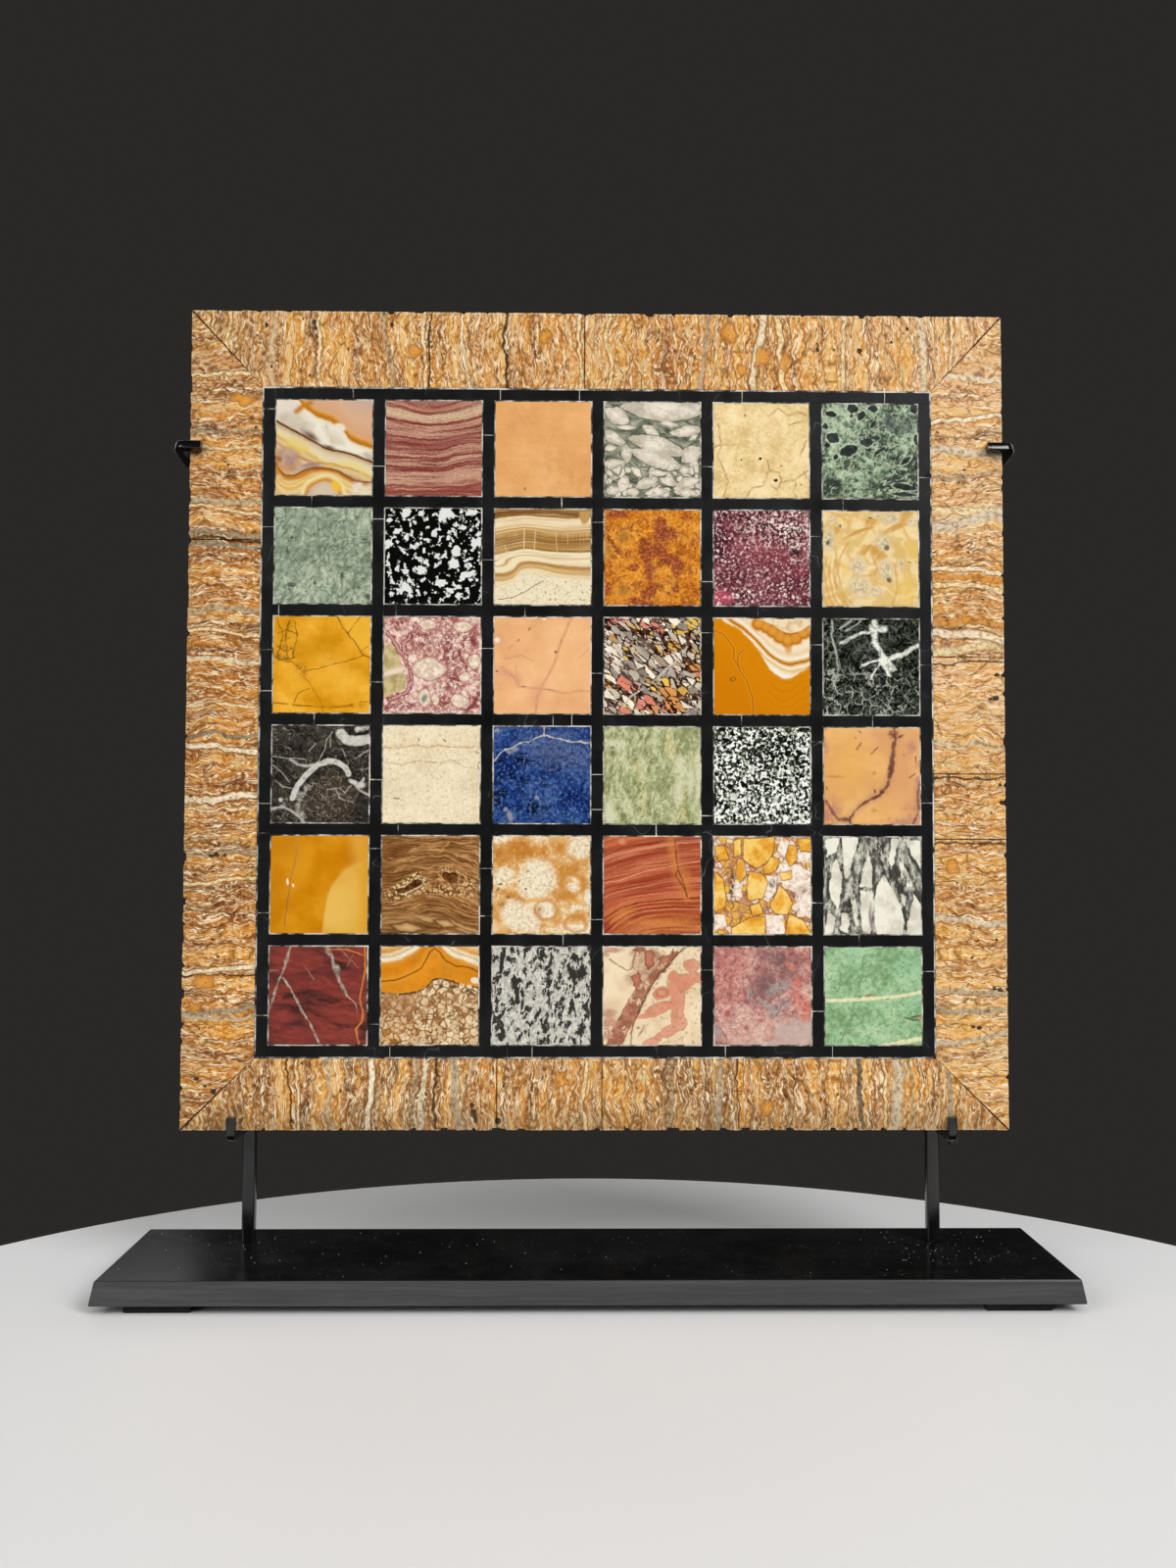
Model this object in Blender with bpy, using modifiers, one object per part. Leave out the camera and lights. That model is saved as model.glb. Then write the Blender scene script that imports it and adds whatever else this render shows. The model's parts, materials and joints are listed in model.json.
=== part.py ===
"""A marble specimen tablet on its black metal display stand.

The tablet is a square slab that carries a flush mosaic: thirty-six square stone specimens in a
lattice of black marble strips, inside a mitred frame of banded travertine. Two uprights rise
from a heavy base plate, hook under the tablet's lower edge and clip round its sides. Everything
is in metres, +Z up. The tablet faces -Y, and the base is centred on the origin at floor level.
"""

import math

import bmesh
import bpy
from mathutils import Vector

# The tablet
TABLET_SIDE = 0.300
TABLET_THICK = 0.012
FACE_THICK = 0.004  # specimens, strips and frame rails, all ground to one level
TABLET_SHIFT = 0.0025  # the tablet sits this far to the right of the base's middle
GAP = 0.0003  # bedding film, and the clearance between pieces that touch
ARRIS = 0.0003  # the worn edge of every cut stone

# The mosaic: six by six square specimens between black strips, with a plaster joint all round
ROWS = 6
COLUMNS = 6
TILE = 0.0352
JOINT = 0.00045
COLUMN_STRIP = 0.0042  # width of the upright strips
ROW_STRIP = 0.0040  # width of the level strips
MOSAIC_DROP = 0.0013  # the mosaic sits this far below the tablet's middle

# Butt joints in the frame rails: distances from the left end, or from the top end
TOP_JOINTS = (0.145,)
BOTTOM_JOINTS = (0.114, 0.152)
LEFT_JOINTS = (0.0855,)
RIGHT_JOINTS = (0.1275, 0.1705, 0.1945)

# The stand
BASE_WIDTH = 0.336
BASE_DEPTH = 0.066
BASE_THICK = 0.008
BASE_SLOPE = 0.0014  # how far the sides lean in from bottom to top
BASE_ROUND = 0.0006
PAD_THICK = 0.003
PAD_SIDE = 0.0225
PAD_INSET_X = 0.011
PAD_INSET_Y = 0.003
TABLET_LIFT = 0.0434  # from the base's top to the tablet's underside
POST_BAR = 0.0046  # square bar of the uprights
CLIP_BAR = 0.0032  # square bar of the hooks and arms
CLIP_BEND = 0.0022  # bend radius of the clip bar's middle line, tight enough to clear the arris
POST_LEFT_X = -0.1253
POST_RIGHT_X = 0.1280
POST_RISE = 0.250  # how far the uprights run up the tablet's back
WELD = 0.0008  # how deep the clip bars sink into the uprights
HOOK_HEIGHT = 0.0052  # how far a hook stands up over the face's lower edge
ARM_DROP = 0.0025  # how much lower the side arms are at the back than on the face
ARM_LEFT_HEIGHT = 0.2486  # height of the left side clip over the tablet's underside
ARM_RIGHT_HEIGHT = 0.2500
ARM_LEFT_GRIP = 0.0048  # how far a side clip reaches over the face
ARM_RIGHT_GRIP = 0.0064
ARM_LEFT_CLEAR = 0.0020  # clear space between the arm and the tablet's side
ARM_RIGHT_CLEAR = 0.0008

COLUMN_PITCH = TILE + 2 * JOINT + COLUMN_STRIP
ROW_PITCH = TILE + 2 * JOINT + ROW_STRIP
MOSAIC_WIDTH = COLUMNS * COLUMN_PITCH + COLUMN_STRIP
MOSAIC_HEIGHT = ROWS * ROW_PITCH + ROW_STRIP
BASE_TOP = PAD_THICK + BASE_THICK
TABLET_FLOOR = BASE_TOP + TABLET_LIFT
TABLET_TOP = TABLET_FLOOR + TABLET_SIDE
MOSAIC_MIDDLE = TABLET_FLOOR + TABLET_SIDE / 2 - MOSAIC_DROP
ARC_STEPS = 4

# Each specimen's stone and its mean colour, row by row from the top left
SPECIMENS = (
    (("banded_agate", "E3BD9C"), ("wine_banded_onyx", "96505A"), ("peach_limestone", "DFAA72"),
     ("grey_clast_breccia", "A9B2A8"), ("cream_cracked_limestone", "E6D3A2"),
     ("dark_green_serpentine", "45685A")),
    (("sage_green_marble", "87A596"), ("black_white_porphyry", "3C403C"),
     ("brown_striped_onyx", "C9AC80"), ("amber_mottled_jasper", "B8631E"),
     ("purple_porphyry", "6E3346"), ("cream_swirled_alabaster", "E0C48A")),
    (("yellow_marble", "E2A636"), ("rose_veined_marble", "C79C98"), ("peach_veined_marble", "EBB489"),
     ("many_coloured_breccia", "A48C82"), ("amber_banded_onyx", "D5943A"),
     ("black_green_veined_marble", "2E3B36")),
    (("black_fossil_marble", "3A3A3A"), ("ivory_limestone", "EBE0C4"), ("lapis_lazuli", "223F88"),
     ("pale_green_alabaster", "A8B88E"), ("speckled_granite", "6F766F"),
     ("peach_purple_veined_marble", "DCA264")),
    (("honey_alabaster", "DA9C33"), ("brown_cavity_onyx", "8C6136"),
     ("white_orange_alabaster", "E3C08C"), ("red_striped_jasper", "B5573A"),
     ("yellow_breccia", "E3B565"), ("white_grey_veined_marble", "BFC0BA")),
    (("dark_red_jasper", "7B2A28"), ("orange_pebbled_onyx", "BE8E5A"),
     ("white_flecked_granite", "A9AAA8"), ("cream_rose_breccia", "DDB79A"),
     ("rose_violet_marble", "B98489"), ("mint_green_marble", "86C29C")),
)


def colour(code):
    """A display colour written as RRGGBB, as the linear values a shader takes."""
    shares = [int(code[i:i + 2], 16) / 255 for i in (0, 2, 4)]
    return [s / 12.92 if s <= 0.04045 else ((s + 0.055) / 1.055) ** 2.4 for s in shares] + [1.0]


def finish(name, code, roughness, metallic=0.0):
    material = bpy.data.materials.new(name)
    material.use_nodes = True
    shader = material.node_tree.nodes["Principled BSDF"]
    shader.inputs["Base Color"].default_value = colour(code)
    shader.inputs["Roughness"].default_value = roughness
    shader.inputs["Metallic"].default_value = metallic
    material.diffuse_color = colour(code)
    return material


def clear_scene():
    for thing in list(bpy.data.objects):
        bpy.data.objects.remove(thing, do_unlink=True)


def new_collection(name):
    collection = bpy.data.collections.new(name)
    bpy.context.scene.collection.children.link(collection)
    return collection


def place(name, data, collection, material=None):
    thing = bpy.data.objects.new(name, data)
    collection.objects.link(thing)
    if material:
        data.materials.append(material)
    return thing


def box_mesh(name, size, centre=(0.0, 0.0, 0.0)):
    bm = bmesh.new()
    bmesh.ops.create_cube(bm, size=1.0)
    bmesh.ops.scale(bm, vec=Vector(size), verts=bm.verts)
    bmesh.ops.translate(bm, vec=Vector(centre), verts=bm.verts)
    mesh = bpy.data.meshes.new(name)
    bm.to_mesh(mesh)
    bm.free()
    return mesh


def soften(thing, width, segments=1):
    bevel = thing.modifiers.new("worn edges", "BEVEL")
    bevel.width = width
    bevel.segments = segments
    bevel.limit_method = "ANGLE"


def evaluated_mesh(thing, name):
    """The shape of an object with its modifiers done and its curve caps welded, in world space."""
    graph = bpy.context.evaluated_depsgraph_get()
    mesh = bpy.data.meshes.new_from_object(thing.evaluated_get(graph))
    mesh.name = name
    mesh.transform(thing.matrix_world)
    bm = bmesh.new()
    bm.from_mesh(mesh)
    bmesh.ops.remove_doubles(bm, verts=bm.verts, dist=0.00001)
    bmesh.ops.recalc_face_normals(bm, faces=bm.faces)
    bm.to_mesh(mesh)
    bm.free()
    return mesh


def combine(target, cutter, operation):
    boolean = target.modifiers.new(cutter.name, "BOOLEAN")
    boolean.operation = operation
    boolean.solver = "EXACT"
    boolean.object = cutter
    cutter.hide_render = True
    cutter.display_type = "WIRE"


def face_piece(name, outline, material, collection):
    """A flat stone of the face's thickness, from its outline as (x, z) on the tablet's face."""
    curve = bpy.data.curves.new(name, "CURVE")
    curve.dimensions = "2D"
    curve.fill_mode = "BOTH"
    curve.extrude = FACE_THICK / 2
    spline = curve.splines.new("POLY")
    spline.points.add(len(outline) - 1)
    for point, (x, z) in zip(spline.points, outline):
        point.co = (x, z, 0.0, 1.0)
    spline.use_cyclic_u = True
    piece = place(name, curve, collection, material)
    piece.location = (TABLET_SHIFT, FACE_THICK / 2, 0.0)
    piece.rotation_euler = (math.pi / 2, 0.0, 0.0)
    weld = piece.modifiers.new("caps to sides", "WELD")
    weld.merge_threshold = 0.00001
    soften(piece, ARRIS)
    return piece


def make_rail(name, corner, along, inwards, width, ends, joints, material, collection):
    """One side of the mitred frame, sawn into pieces at its butt joints.

    corner is the outer corner it starts from, along and inwards are its directions on the face,
    and ends are how far in from either outer corner its inner edge starts.
    """
    corner, along, inwards = Vector(corner), Vector(along), Vector(inwards)
    mitre_gaps = [GAP / 2 * math.hypot(end, width) / width for end in ends]
    cuts = [(mitre_gaps[0], ends[0] + mitre_gaps[0])]
    for joint in joints:
        cuts += [(joint - GAP / 2,) * 2, (joint + GAP / 2,) * 2]
    cuts.append((TABLET_SIDE - mitre_gaps[1], TABLET_SIDE - ends[1] - mitre_gaps[1]))
    for number in range(len(joints) + 1):
        start, stop = cuts[2 * number:2 * number + 2]
        outline = (
            corner + along * start[0],
            corner + along * stop[0],
            corner + along * stop[1] + inwards * width,
            corner + along * start[1] + inwards * width,
        )
        face_piece(f"{name}_rail_{number + 1}", outline, material, collection)


def make_frame(material, collection):
    """The four rails of banded travertine, mitred at the corners."""
    half = TABLET_SIDE / 2
    side = half - MOSAIC_WIDTH / 2 - JOINT
    top = TABLET_TOP - (MOSAIC_MIDDLE + MOSAIC_HEIGHT / 2 + JOINT)
    bottom = MOSAIC_MIDDLE - MOSAIC_HEIGHT / 2 - JOINT - TABLET_FLOOR
    make_rail("top", (-half, TABLET_TOP), (1, 0), (0, -1), top, (side, side), TOP_JOINTS,
              material, collection)
    make_rail("bottom", (-half, TABLET_FLOOR), (1, 0), (0, 1), bottom, (side, side),
              BOTTOM_JOINTS, material, collection)
    make_rail("left", (-half, TABLET_TOP), (0, -1), (1, 0), side, (top, bottom), LEFT_JOINTS,
              material, collection)
    make_rail("right", (half, TABLET_TOP), (0, -1), (-1, 0), side, (top, bottom), RIGHT_JOINTS,
              material, collection)


def tile_centre(row, column):
    x = TABLET_SHIFT + (column - (COLUMNS - 1) / 2) * COLUMN_PITCH
    z = MOSAIC_MIDDLE - (row - (ROWS - 1) / 2) * ROW_PITCH
    return Vector((x, FACE_THICK / 2, z))


def make_specimens(collection):
    mesh = box_mesh("specimen", (TILE, FACE_THICK, TILE))
    for row, stones in enumerate(SPECIMENS):
        for column, (stone, code) in enumerate(stones):
            name = f"specimen_r{row + 1}c{column + 1}_{stone}"
            tile = place(name, mesh.copy(), collection, finish(stone, code, 0.35))
            tile.location = tile_centre(row, column)
            soften(tile, ARRIS)


def make_strips(material, collection, cutters):
    """The black strips as one lattice: a thin plate with an opening for every specimen."""
    centre = (TABLET_SHIFT, FACE_THICK / 2, MOSAIC_MIDDLE)
    plate = box_mesh("strips", (MOSAIC_WIDTH, FACE_THICK, MOSAIC_HEIGHT), centre)
    lattice = place("black_marble_strips", plate, collection, material)
    opening = TILE + 2 * JOINT
    bm = bmesh.new()
    for row in range(ROWS):
        for column in range(COLUMNS):
            made = bmesh.ops.create_cube(bm, size=1.0)["verts"]
            bmesh.ops.scale(bm, vec=(opening, 3 * FACE_THICK, opening), verts=made)
            bmesh.ops.translate(bm, vec=tile_centre(row, column), verts=made)
    openings = bpy.data.meshes.new("specimen openings")
    bm.to_mesh(openings)
    bm.free()
    combine(lattice, place("specimen_openings", openings, cutters), "DIFFERENCE")


def make_backing(material, collection):
    """The plain slab that everything on the face is bedded on."""
    depth = TABLET_THICK - FACE_THICK - GAP
    slab = place("backing_slab", box_mesh("slab", (TABLET_SIDE, depth, TABLET_SIDE)),
                 collection, material)
    slab.location = (TABLET_SHIFT, TABLET_THICK - depth / 2, TABLET_FLOOR + TABLET_SIDE / 2)
    soften(slab, 2 * ARRIS)


def make_base(material, collection):
    """The base plate, a flat bar whose sides lean in towards the top."""
    bm = bmesh.new()
    bmesh.ops.create_cube(bm, size=1.0)
    bmesh.ops.scale(bm, vec=(BASE_WIDTH, BASE_DEPTH, BASE_THICK), verts=bm.verts)
    for vert in bm.verts:
        if vert.co.z > 0:
            vert.co.x -= math.copysign(BASE_SLOPE, vert.co.x)
            vert.co.y -= math.copysign(BASE_SLOPE, vert.co.y)
    mesh = bpy.data.meshes.new("base")
    bm.to_mesh(mesh)
    bm.free()
    base = place("base_plate", mesh, collection, material)
    base.location = (0.0, 0.0, PAD_THICK + BASE_THICK / 2)
    soften(base, BASE_ROUND, segments=2)


def make_pads(material, collection):
    mesh = box_mesh("pad", (PAD_SIDE, PAD_SIDE, PAD_THICK - GAP))
    x = BASE_WIDTH / 2 - PAD_INSET_X - PAD_SIDE / 2
    y = BASE_DEPTH / 2 - PAD_INSET_Y - PAD_SIDE / 2
    for name, across, deep in (("front_left", -x, -y), ("front_right", x, -y),
                               ("back_left", -x, y), ("back_right", x, y)):
        pad = place(f"{name}_pad", mesh.copy(), collection, material)
        pad.location = (across, deep, (PAD_THICK - GAP) / 2)
        soften(pad, ARRIS)


def bent_path(corners, radius):
    """The corner points of a bar's middle line, with every bend turned to an arc."""
    points = [Vector(corners[0])]
    for before, corner, after in zip(corners, corners[1:], corners[2:]):
        before, corner, after = Vector(before), Vector(corner), Vector(after)
        back = (before - corner).normalized()
        on = (after - corner).normalized()
        half_angle = back.angle(on) / 2
        middle = corner + (back + on).normalized() * radius / math.sin(half_angle)
        start = corner + back * radius / math.tan(half_angle) - middle
        stop = corner + on * radius / math.tan(half_angle) - middle
        turn = start.angle(stop)
        for step in range(ARC_STEPS + 1):
            share = step / ARC_STEPS
            arm = start * math.sin((1 - share) * turn) + stop * math.sin(share * turn)
            points.append(middle + arm / math.sin(turn))
    points.append(Vector(corners[-1]))
    return points


def square_bar(name, corners, twist_mode, collection):
    """A square bar bent along a path, as a closed mesh object."""
    curve = bpy.data.curves.new(name, "CURVE")
    curve.dimensions = "3D"
    curve.twist_mode = twist_mode
    curve.bevel_depth = CLIP_BAR / math.sqrt(2)
    curve.bevel_resolution = 0
    curve.use_fill_caps = True
    path = bent_path(corners, CLIP_BEND)
    spline = curve.splines.new("POLY")
    spline.points.add(len(path) - 1)
    for point, place_on_path in zip(spline.points, path):
        point.co = (*place_on_path, 1.0)
        point.tilt = math.pi / 4
    wire = place(name + "_line", curve, collection)
    mesh = evaluated_mesh(wire, name)
    bpy.data.objects.remove(wire, do_unlink=True)
    return place(name, mesh, collection)


def make_upright(side, post_x, outwards, height, grip, clear, material, collection, cutters):
    """A post with a hook under the tablet's lower edge and a side arm that clips its edge."""
    bar = CLIP_BAR / 2
    post_y = TABLET_THICK + GAP + POST_BAR / 2
    front_y = -GAP - bar
    post_size = (POST_BAR, POST_BAR, TABLET_LIFT + POST_RISE - GAP)
    post_z = BASE_TOP + GAP + post_size[2] / 2
    post = place(f"{side}_upright", box_mesh("post", post_size, (post_x, post_y, post_z)),
                 collection, material)
    soften(post, 2 * ARRIS)

    beside = post_x + outwards * (POST_BAR / 2 + bar - WELD)
    under = TABLET_FLOOR - GAP - bar
    hook = square_bar(f"{side}_hook", (
        (beside, post_y, under),
        (beside, front_y, under),
        (beside, front_y, TABLET_FLOOR + HOOK_HEIGHT),
    ), "MINIMUM", cutters)

    edge = TABLET_SHIFT + outwards * TABLET_SIDE / 2
    elbow = edge + outwards * (clear + bar)
    clip_z = TABLET_FLOOR + height
    arm = square_bar(f"{side}_arm", (
        (post_x, post_y, clip_z - ARM_DROP),
        (elbow, post_y, clip_z - ARM_DROP),
        (elbow, front_y, clip_z),
        (edge - outwards * grip, front_y, clip_z),
    ), "Z_UP", cutters)
    combine(post, hook, "UNION")
    combine(post, arm, "UNION")


def main():
    clear_scene()
    tablet = new_collection("marble specimen tablet")
    cutters = new_collection("cutters and joined bars")
    travertine = finish("banded travertine", "C6914F", 0.5)
    black_marble = finish("black marble", "17181A", 0.4)
    slab_stone = finish("grey slab stone", "A7A39A", 0.8)
    black_paint = finish("black painted steel", "101012", 0.4)
    rubber = finish("black rubber", "141414", 0.9)

    make_backing(slab_stone, tablet)
    make_frame(travertine, tablet)
    make_strips(black_marble, tablet, cutters)
    make_specimens(tablet)
    make_base(black_paint, tablet)
    make_pads(rubber, tablet)
    make_upright("left", POST_LEFT_X, -1, ARM_LEFT_HEIGHT, ARM_LEFT_GRIP, ARM_LEFT_CLEAR,
                 black_paint, tablet, cutters)
    make_upright("right", POST_RIGHT_X, 1, ARM_RIGHT_HEIGHT, ARM_RIGHT_GRIP, ARM_RIGHT_CLEAR,
                 black_paint, tablet, cutters)


main()
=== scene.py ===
# %% [markdown]
# # A marble specimen tablet on its display stand
# The object is a flat square slab with thirty-six little squares of decorative stone let into
# its face, a collector's table of marbles. Black marble strips part the stones, banded
# travertine frames them, and a black metal stand holds the slab upright in four clips.
# We load the finished construction first, because it fixes the place and size of every piece.

# %% Load the frame
import json
import math
import bmesh
import bpy
import numpy as np
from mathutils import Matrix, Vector

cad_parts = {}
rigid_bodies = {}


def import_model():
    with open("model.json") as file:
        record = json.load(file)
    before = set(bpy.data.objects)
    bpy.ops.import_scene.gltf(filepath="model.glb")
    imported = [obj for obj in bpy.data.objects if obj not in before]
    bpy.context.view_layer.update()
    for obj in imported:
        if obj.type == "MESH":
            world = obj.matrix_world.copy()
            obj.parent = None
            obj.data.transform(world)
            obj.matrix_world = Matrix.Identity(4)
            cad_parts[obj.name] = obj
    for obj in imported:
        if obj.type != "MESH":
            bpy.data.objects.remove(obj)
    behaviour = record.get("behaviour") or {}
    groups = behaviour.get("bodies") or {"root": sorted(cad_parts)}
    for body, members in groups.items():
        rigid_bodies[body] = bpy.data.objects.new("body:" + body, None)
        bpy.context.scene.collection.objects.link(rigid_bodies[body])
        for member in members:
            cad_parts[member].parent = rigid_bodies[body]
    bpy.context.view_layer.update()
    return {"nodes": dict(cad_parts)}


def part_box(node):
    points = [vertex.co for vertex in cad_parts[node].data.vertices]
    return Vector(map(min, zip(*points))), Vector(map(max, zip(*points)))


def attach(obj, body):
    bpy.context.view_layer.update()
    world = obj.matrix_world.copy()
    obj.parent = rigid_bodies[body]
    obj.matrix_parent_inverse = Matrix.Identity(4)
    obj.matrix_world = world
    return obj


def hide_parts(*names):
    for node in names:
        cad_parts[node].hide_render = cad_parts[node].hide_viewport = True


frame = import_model()

# %% [markdown]
# ## Camera, floor and light
# The tablet is seen almost square on, from a little above the middle of the stand's gap, by a
# lens of ordinary width. A pale floor and a few big soft lamps are enough: one strong lamp in
# front and to the right models the clips, a weaker one on the left opens the shadows, and two
# behind keep the back readable. The surroundings stay dark so that the black metal looks black.

# %% Camera
camera_data = bpy.data.cameras.new("camera")
camera_data.sensor_width = 36.0
camera_data.lens = 31.5
camera_data.clip_start = 0.01
camera = bpy.data.objects.new("camera", camera_data)
bpy.context.scene.collection.objects.link(camera)
camera.location = (-0.0087, -0.5003, 0.1580)
camera.rotation_euler = (math.radians(90 + 2.49), math.radians(-0.16), math.radians(-0.91))
bpy.context.scene.camera = camera
print("lens:", round(camera_data.lens, 1), "mm")

# %% Floor, lamps and surroundings
def plain_material(name, tone, roughness):
    """A single even finish, for the floor only: it is not part of the object."""
    material = bpy.data.materials.new(name)
    material.use_nodes = True
    shader = material.node_tree.nodes["Principled BSDF"]
    shader.inputs["Base Color"].default_value = (tone, tone, tone, 1.0)
    shader.inputs["Roughness"].default_value = roughness
    return material


def soft_lamp(name, place, target, size, power):
    """A square soft box at a place, facing a target."""
    light = bpy.data.lights.new(name, "AREA")
    light.shape = "SQUARE"
    light.size = size
    light.energy = power
    lamp = bpy.data.objects.new(name, light)
    lamp.location = place
    lamp.rotation_euler = (Vector(target) - Vector(place)).to_track_quat("-Z", "Y").to_euler()
    bpy.context.scene.collection.objects.link(lamp)
    return lamp


bpy.ops.mesh.primitive_circle_add(vertices=128, radius=0.30, fill_type="NGON",
                                  location=(0, -0.145, 0))
floor = bpy.context.object
floor.name = "floor"
floor.data.materials.append(plain_material("pale floor", 0.86, 0.6))

TABLET_MIDDLE = (0.0, 0.0, 0.2)
soft_lamp("key", (1.05, -1.25, 1.15), TABLET_MIDDLE, 0.9, 27.0)
soft_lamp("fill", (-1.30, -1.15, 0.75), TABLET_MIDDLE, 1.1, 17.0)
soft_lamp("top", (0.0, -0.35, 1.7), (0.0, -0.1, 0.1), 0.9, 5.4)
soft_lamp("back left", (-0.9, 1.3, 1.0), TABLET_MIDDLE, 1.0, 3.0)
soft_lamp("back right", (1.1, 1.1, 0.7), TABLET_MIDDLE, 1.0, 3.0)

world = bpy.data.worlds.new("surroundings")
world.use_nodes = True
world.node_tree.nodes["Background"].inputs["Color"].default_value = (0.024, 0.022, 0.020, 1.0)
bpy.context.scene.world = world
bpy.context.scene.view_settings.view_transform = "Standard"

# %% [markdown]
# ## A small language for painting stone
# Every stone here is a drawing of its own: bands, veins, crystals, broken fragments. Writing
# thirty-six shader trees node by node would hide what each one says, so we first make two
# helpers. A Field is anything that varies over the surface, and it takes plain arithmetic, so
# that `a * 2 + b` builds the Math nodes for us. A Paint holds one material, the colour laid on
# it so far, and the brushes. We build it up in short steps, each class adding to the one
# before: nodes, places, textures, drawn shapes, and at last the paint itself.
#
# Drawings are written as they would be pricked out on squared paper. The face is 100 wide and
# 100 high, counted from its upper left corner, to the right and then down. "10,20 35,24" is a
# line through two places and a semicolon starts the next line. An oval is its middle, its half
# sizes and its turn, "50,40 8,5 30". A ramp is a row of values and colours, "20 E8D8B0", the
# values in hundredths too.

# %% Drawings in words
def place_in(word):
    """The place "u,v" as two shares of the face."""
    return tuple(float(number) / 100 for number in word.split(","))


def drawn(lines):
    """The lines "u,v u,v; u,v u,v" as lists of places."""
    return [[place_in(word) for word in line.split()] for line in lines.split(";")]


def drawn_ovals(ovals):
    """The ovals "u,v wide,tall turn; ..." as (u, v, half width, half height, turn)."""
    if not isinstance(ovals, str):
        return ovals
    words = [oval.split() + ["0"] for oval in ovals.split(";")]
    return [(*place_in(word[0]), *place_in(word[1]), float(word[2])) for word in words]


def resized(ovals, wide, tall):
    """Drawn ovals with their half sizes multiplied."""
    return [(u, v, a * wide, b * tall, turn) for u, v, a, b, turn in drawn_ovals(ovals)]


def drawn_stops(stops):
    """The ramp "value code, value code" as (value, code) pairs."""
    if not isinstance(stops, str):
        return stops
    pairs = [stop.split() for stop in stops.split(",")]
    return [(float(value) / 100, code) for value, code in pairs]


def linear(code):
    """A display colour written as RRGGBB, as the linear values a shader takes."""
    shares = [int(code[i:i + 2], 16) / 255 for i in (0, 2, 4)]
    return [s / 12.92 if s <= 0.04045 else ((s + 0.055) / 1.055) ** 2.4 for s in shares] + [1.0]


print("a line:", drawn("10,20 35,24"), "an oval:", drawn_ovals("50,40 8,5 30"))

# %% Fields: values that vary over a surface
class Field:
    """A socket of a material's node tree that takes plain arithmetic."""

    def __init__(self, paint, socket):
        self.paint = paint
        self.socket = socket

    def other(self, label):
        """Another output of the node that this field comes from."""
        return Field(self.paint, self.socket.node.outputs[label])

    def math(self, operation, *others):
        return self.paint.node("ShaderNodeMath", (self, *others), operation=operation)

    def __add__(self, other):
        return self.math("ADD", other)

    def __sub__(self, other):
        return self.math("SUBTRACT", other)

    def __mul__(self, other):
        return self.math("MULTIPLY", other)

    def __truediv__(self, other):
        return self.math("DIVIDE", other)

    def __rsub__(self, other):
        return self.paint.node("ShaderNodeMath", (other, self), operation="SUBTRACT")

    __radd__ = __add__
    __rmul__ = __mul__

    def abs(self):
        return self.math("ABSOLUTE")

    def sine(self):
        return self.math("SINE")

    def least(self, other):
        return self.math("MINIMUM", other)

    def most(self, other):
        return self.math("MAXIMUM", other)

    def step(self, start, stop):
        """0 at start, 1 at stop and past it, with a smooth rise between. start may be larger."""
        return self.paint.node("ShaderNodeMapRange", (self, start, stop, 0, 1),
                               interpolation_type="SMOOTHSTEP")


def offered(kind):
    """The names of what a class offers."""
    return ", ".join(name for name in vars(kind) if not name.startswith("_"))


def nearest_of(distances):
    """The least of several distances."""
    nearest = None
    for distance in distances:
        nearest = nearest.least(distance) if nearest else distance
    return nearest


print("fields:", offered(Field))

# %% Nodes and their sockets
class Nodes:
    """A material's tree: how nodes are made and fed."""

    def node(self, kind, inputs=(), output=0, **settings):
        """Adds a node, feeds its sockets with Fields or constants, and gives an output."""
        made = self.tree.nodes.new(kind)
        for key, value in settings.items():
            setattr(made, key, value)
        named = inputs.items() if isinstance(inputs, dict) else enumerate(inputs)
        for socket, value in named:
            self.feed(made.inputs[socket], value)
        return Field(self, made.outputs[output])

    def feed(self, socket, value):
        if isinstance(value, Field):
            self.tree.links.new(value.socket, socket)
        elif value is not None:
            socket.default_value = linear(value) if isinstance(value, str) else value

    def vector(self, operation, *inputs, output=0):
        return self.node("ShaderNodeVectorMath", inputs, output, operation=operation)


print("nodes:", offered(Nodes))

# %% Places on the stone
class Places(Nodes):
    """Moving, stretching and bending the place that a pattern is read at."""

    def parts(self, place):
        """The three coordinates of a place."""
        first = self.node("ShaderNodeSeparateXYZ", (place,))
        return first, first.other("Y"), first.other("Z")

    def shift(self, place, offset):
        return self.vector("ADD", place, offset)

    def join(self, u, v):
        """A place from its two coordinates."""
        return self.node("ShaderNodeCombineXYZ", (u, 0, v))

    def stretch(self, place, along_u, along_v, turn=0, back=False):
        """A place whose patterns come out finer along u and v by these factors, then turned.
        back undoes it."""
        return self.node("ShaderNodeMapping", (place, None, (0, -math.radians(turn), 0), (
            1 / along_u, 1 / along_u, 1 / along_v)), vector_type="POINT" if back else "TEXTURE")

    def warp(self, place, scale, amount, detail=2, shifted=0):
        """A place pushed about by noise, so that straight patterns run crooked."""
        at = self.shift(self.grain, (shifted, shifted, shifted)) if shifted else None
        push = self.noise(scale, detail, at=at).other("Color")
        push = self.vector("SUBTRACT", push, (0.5, 0.5, 0.5))
        return self.vector("MULTIPLY_ADD", push, (amount,) * 3, place)

    def crooked(self, scale, amount, fine_scale, fine_amount, shifted, detail=2):
        """The stone's own place pushed about twice, broadly and then finely."""
        broad = self.warp(self.place, scale, amount)
        return self.warp(broad, fine_scale, fine_amount, detail, shifted)


print("places:", offered(Places))

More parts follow.
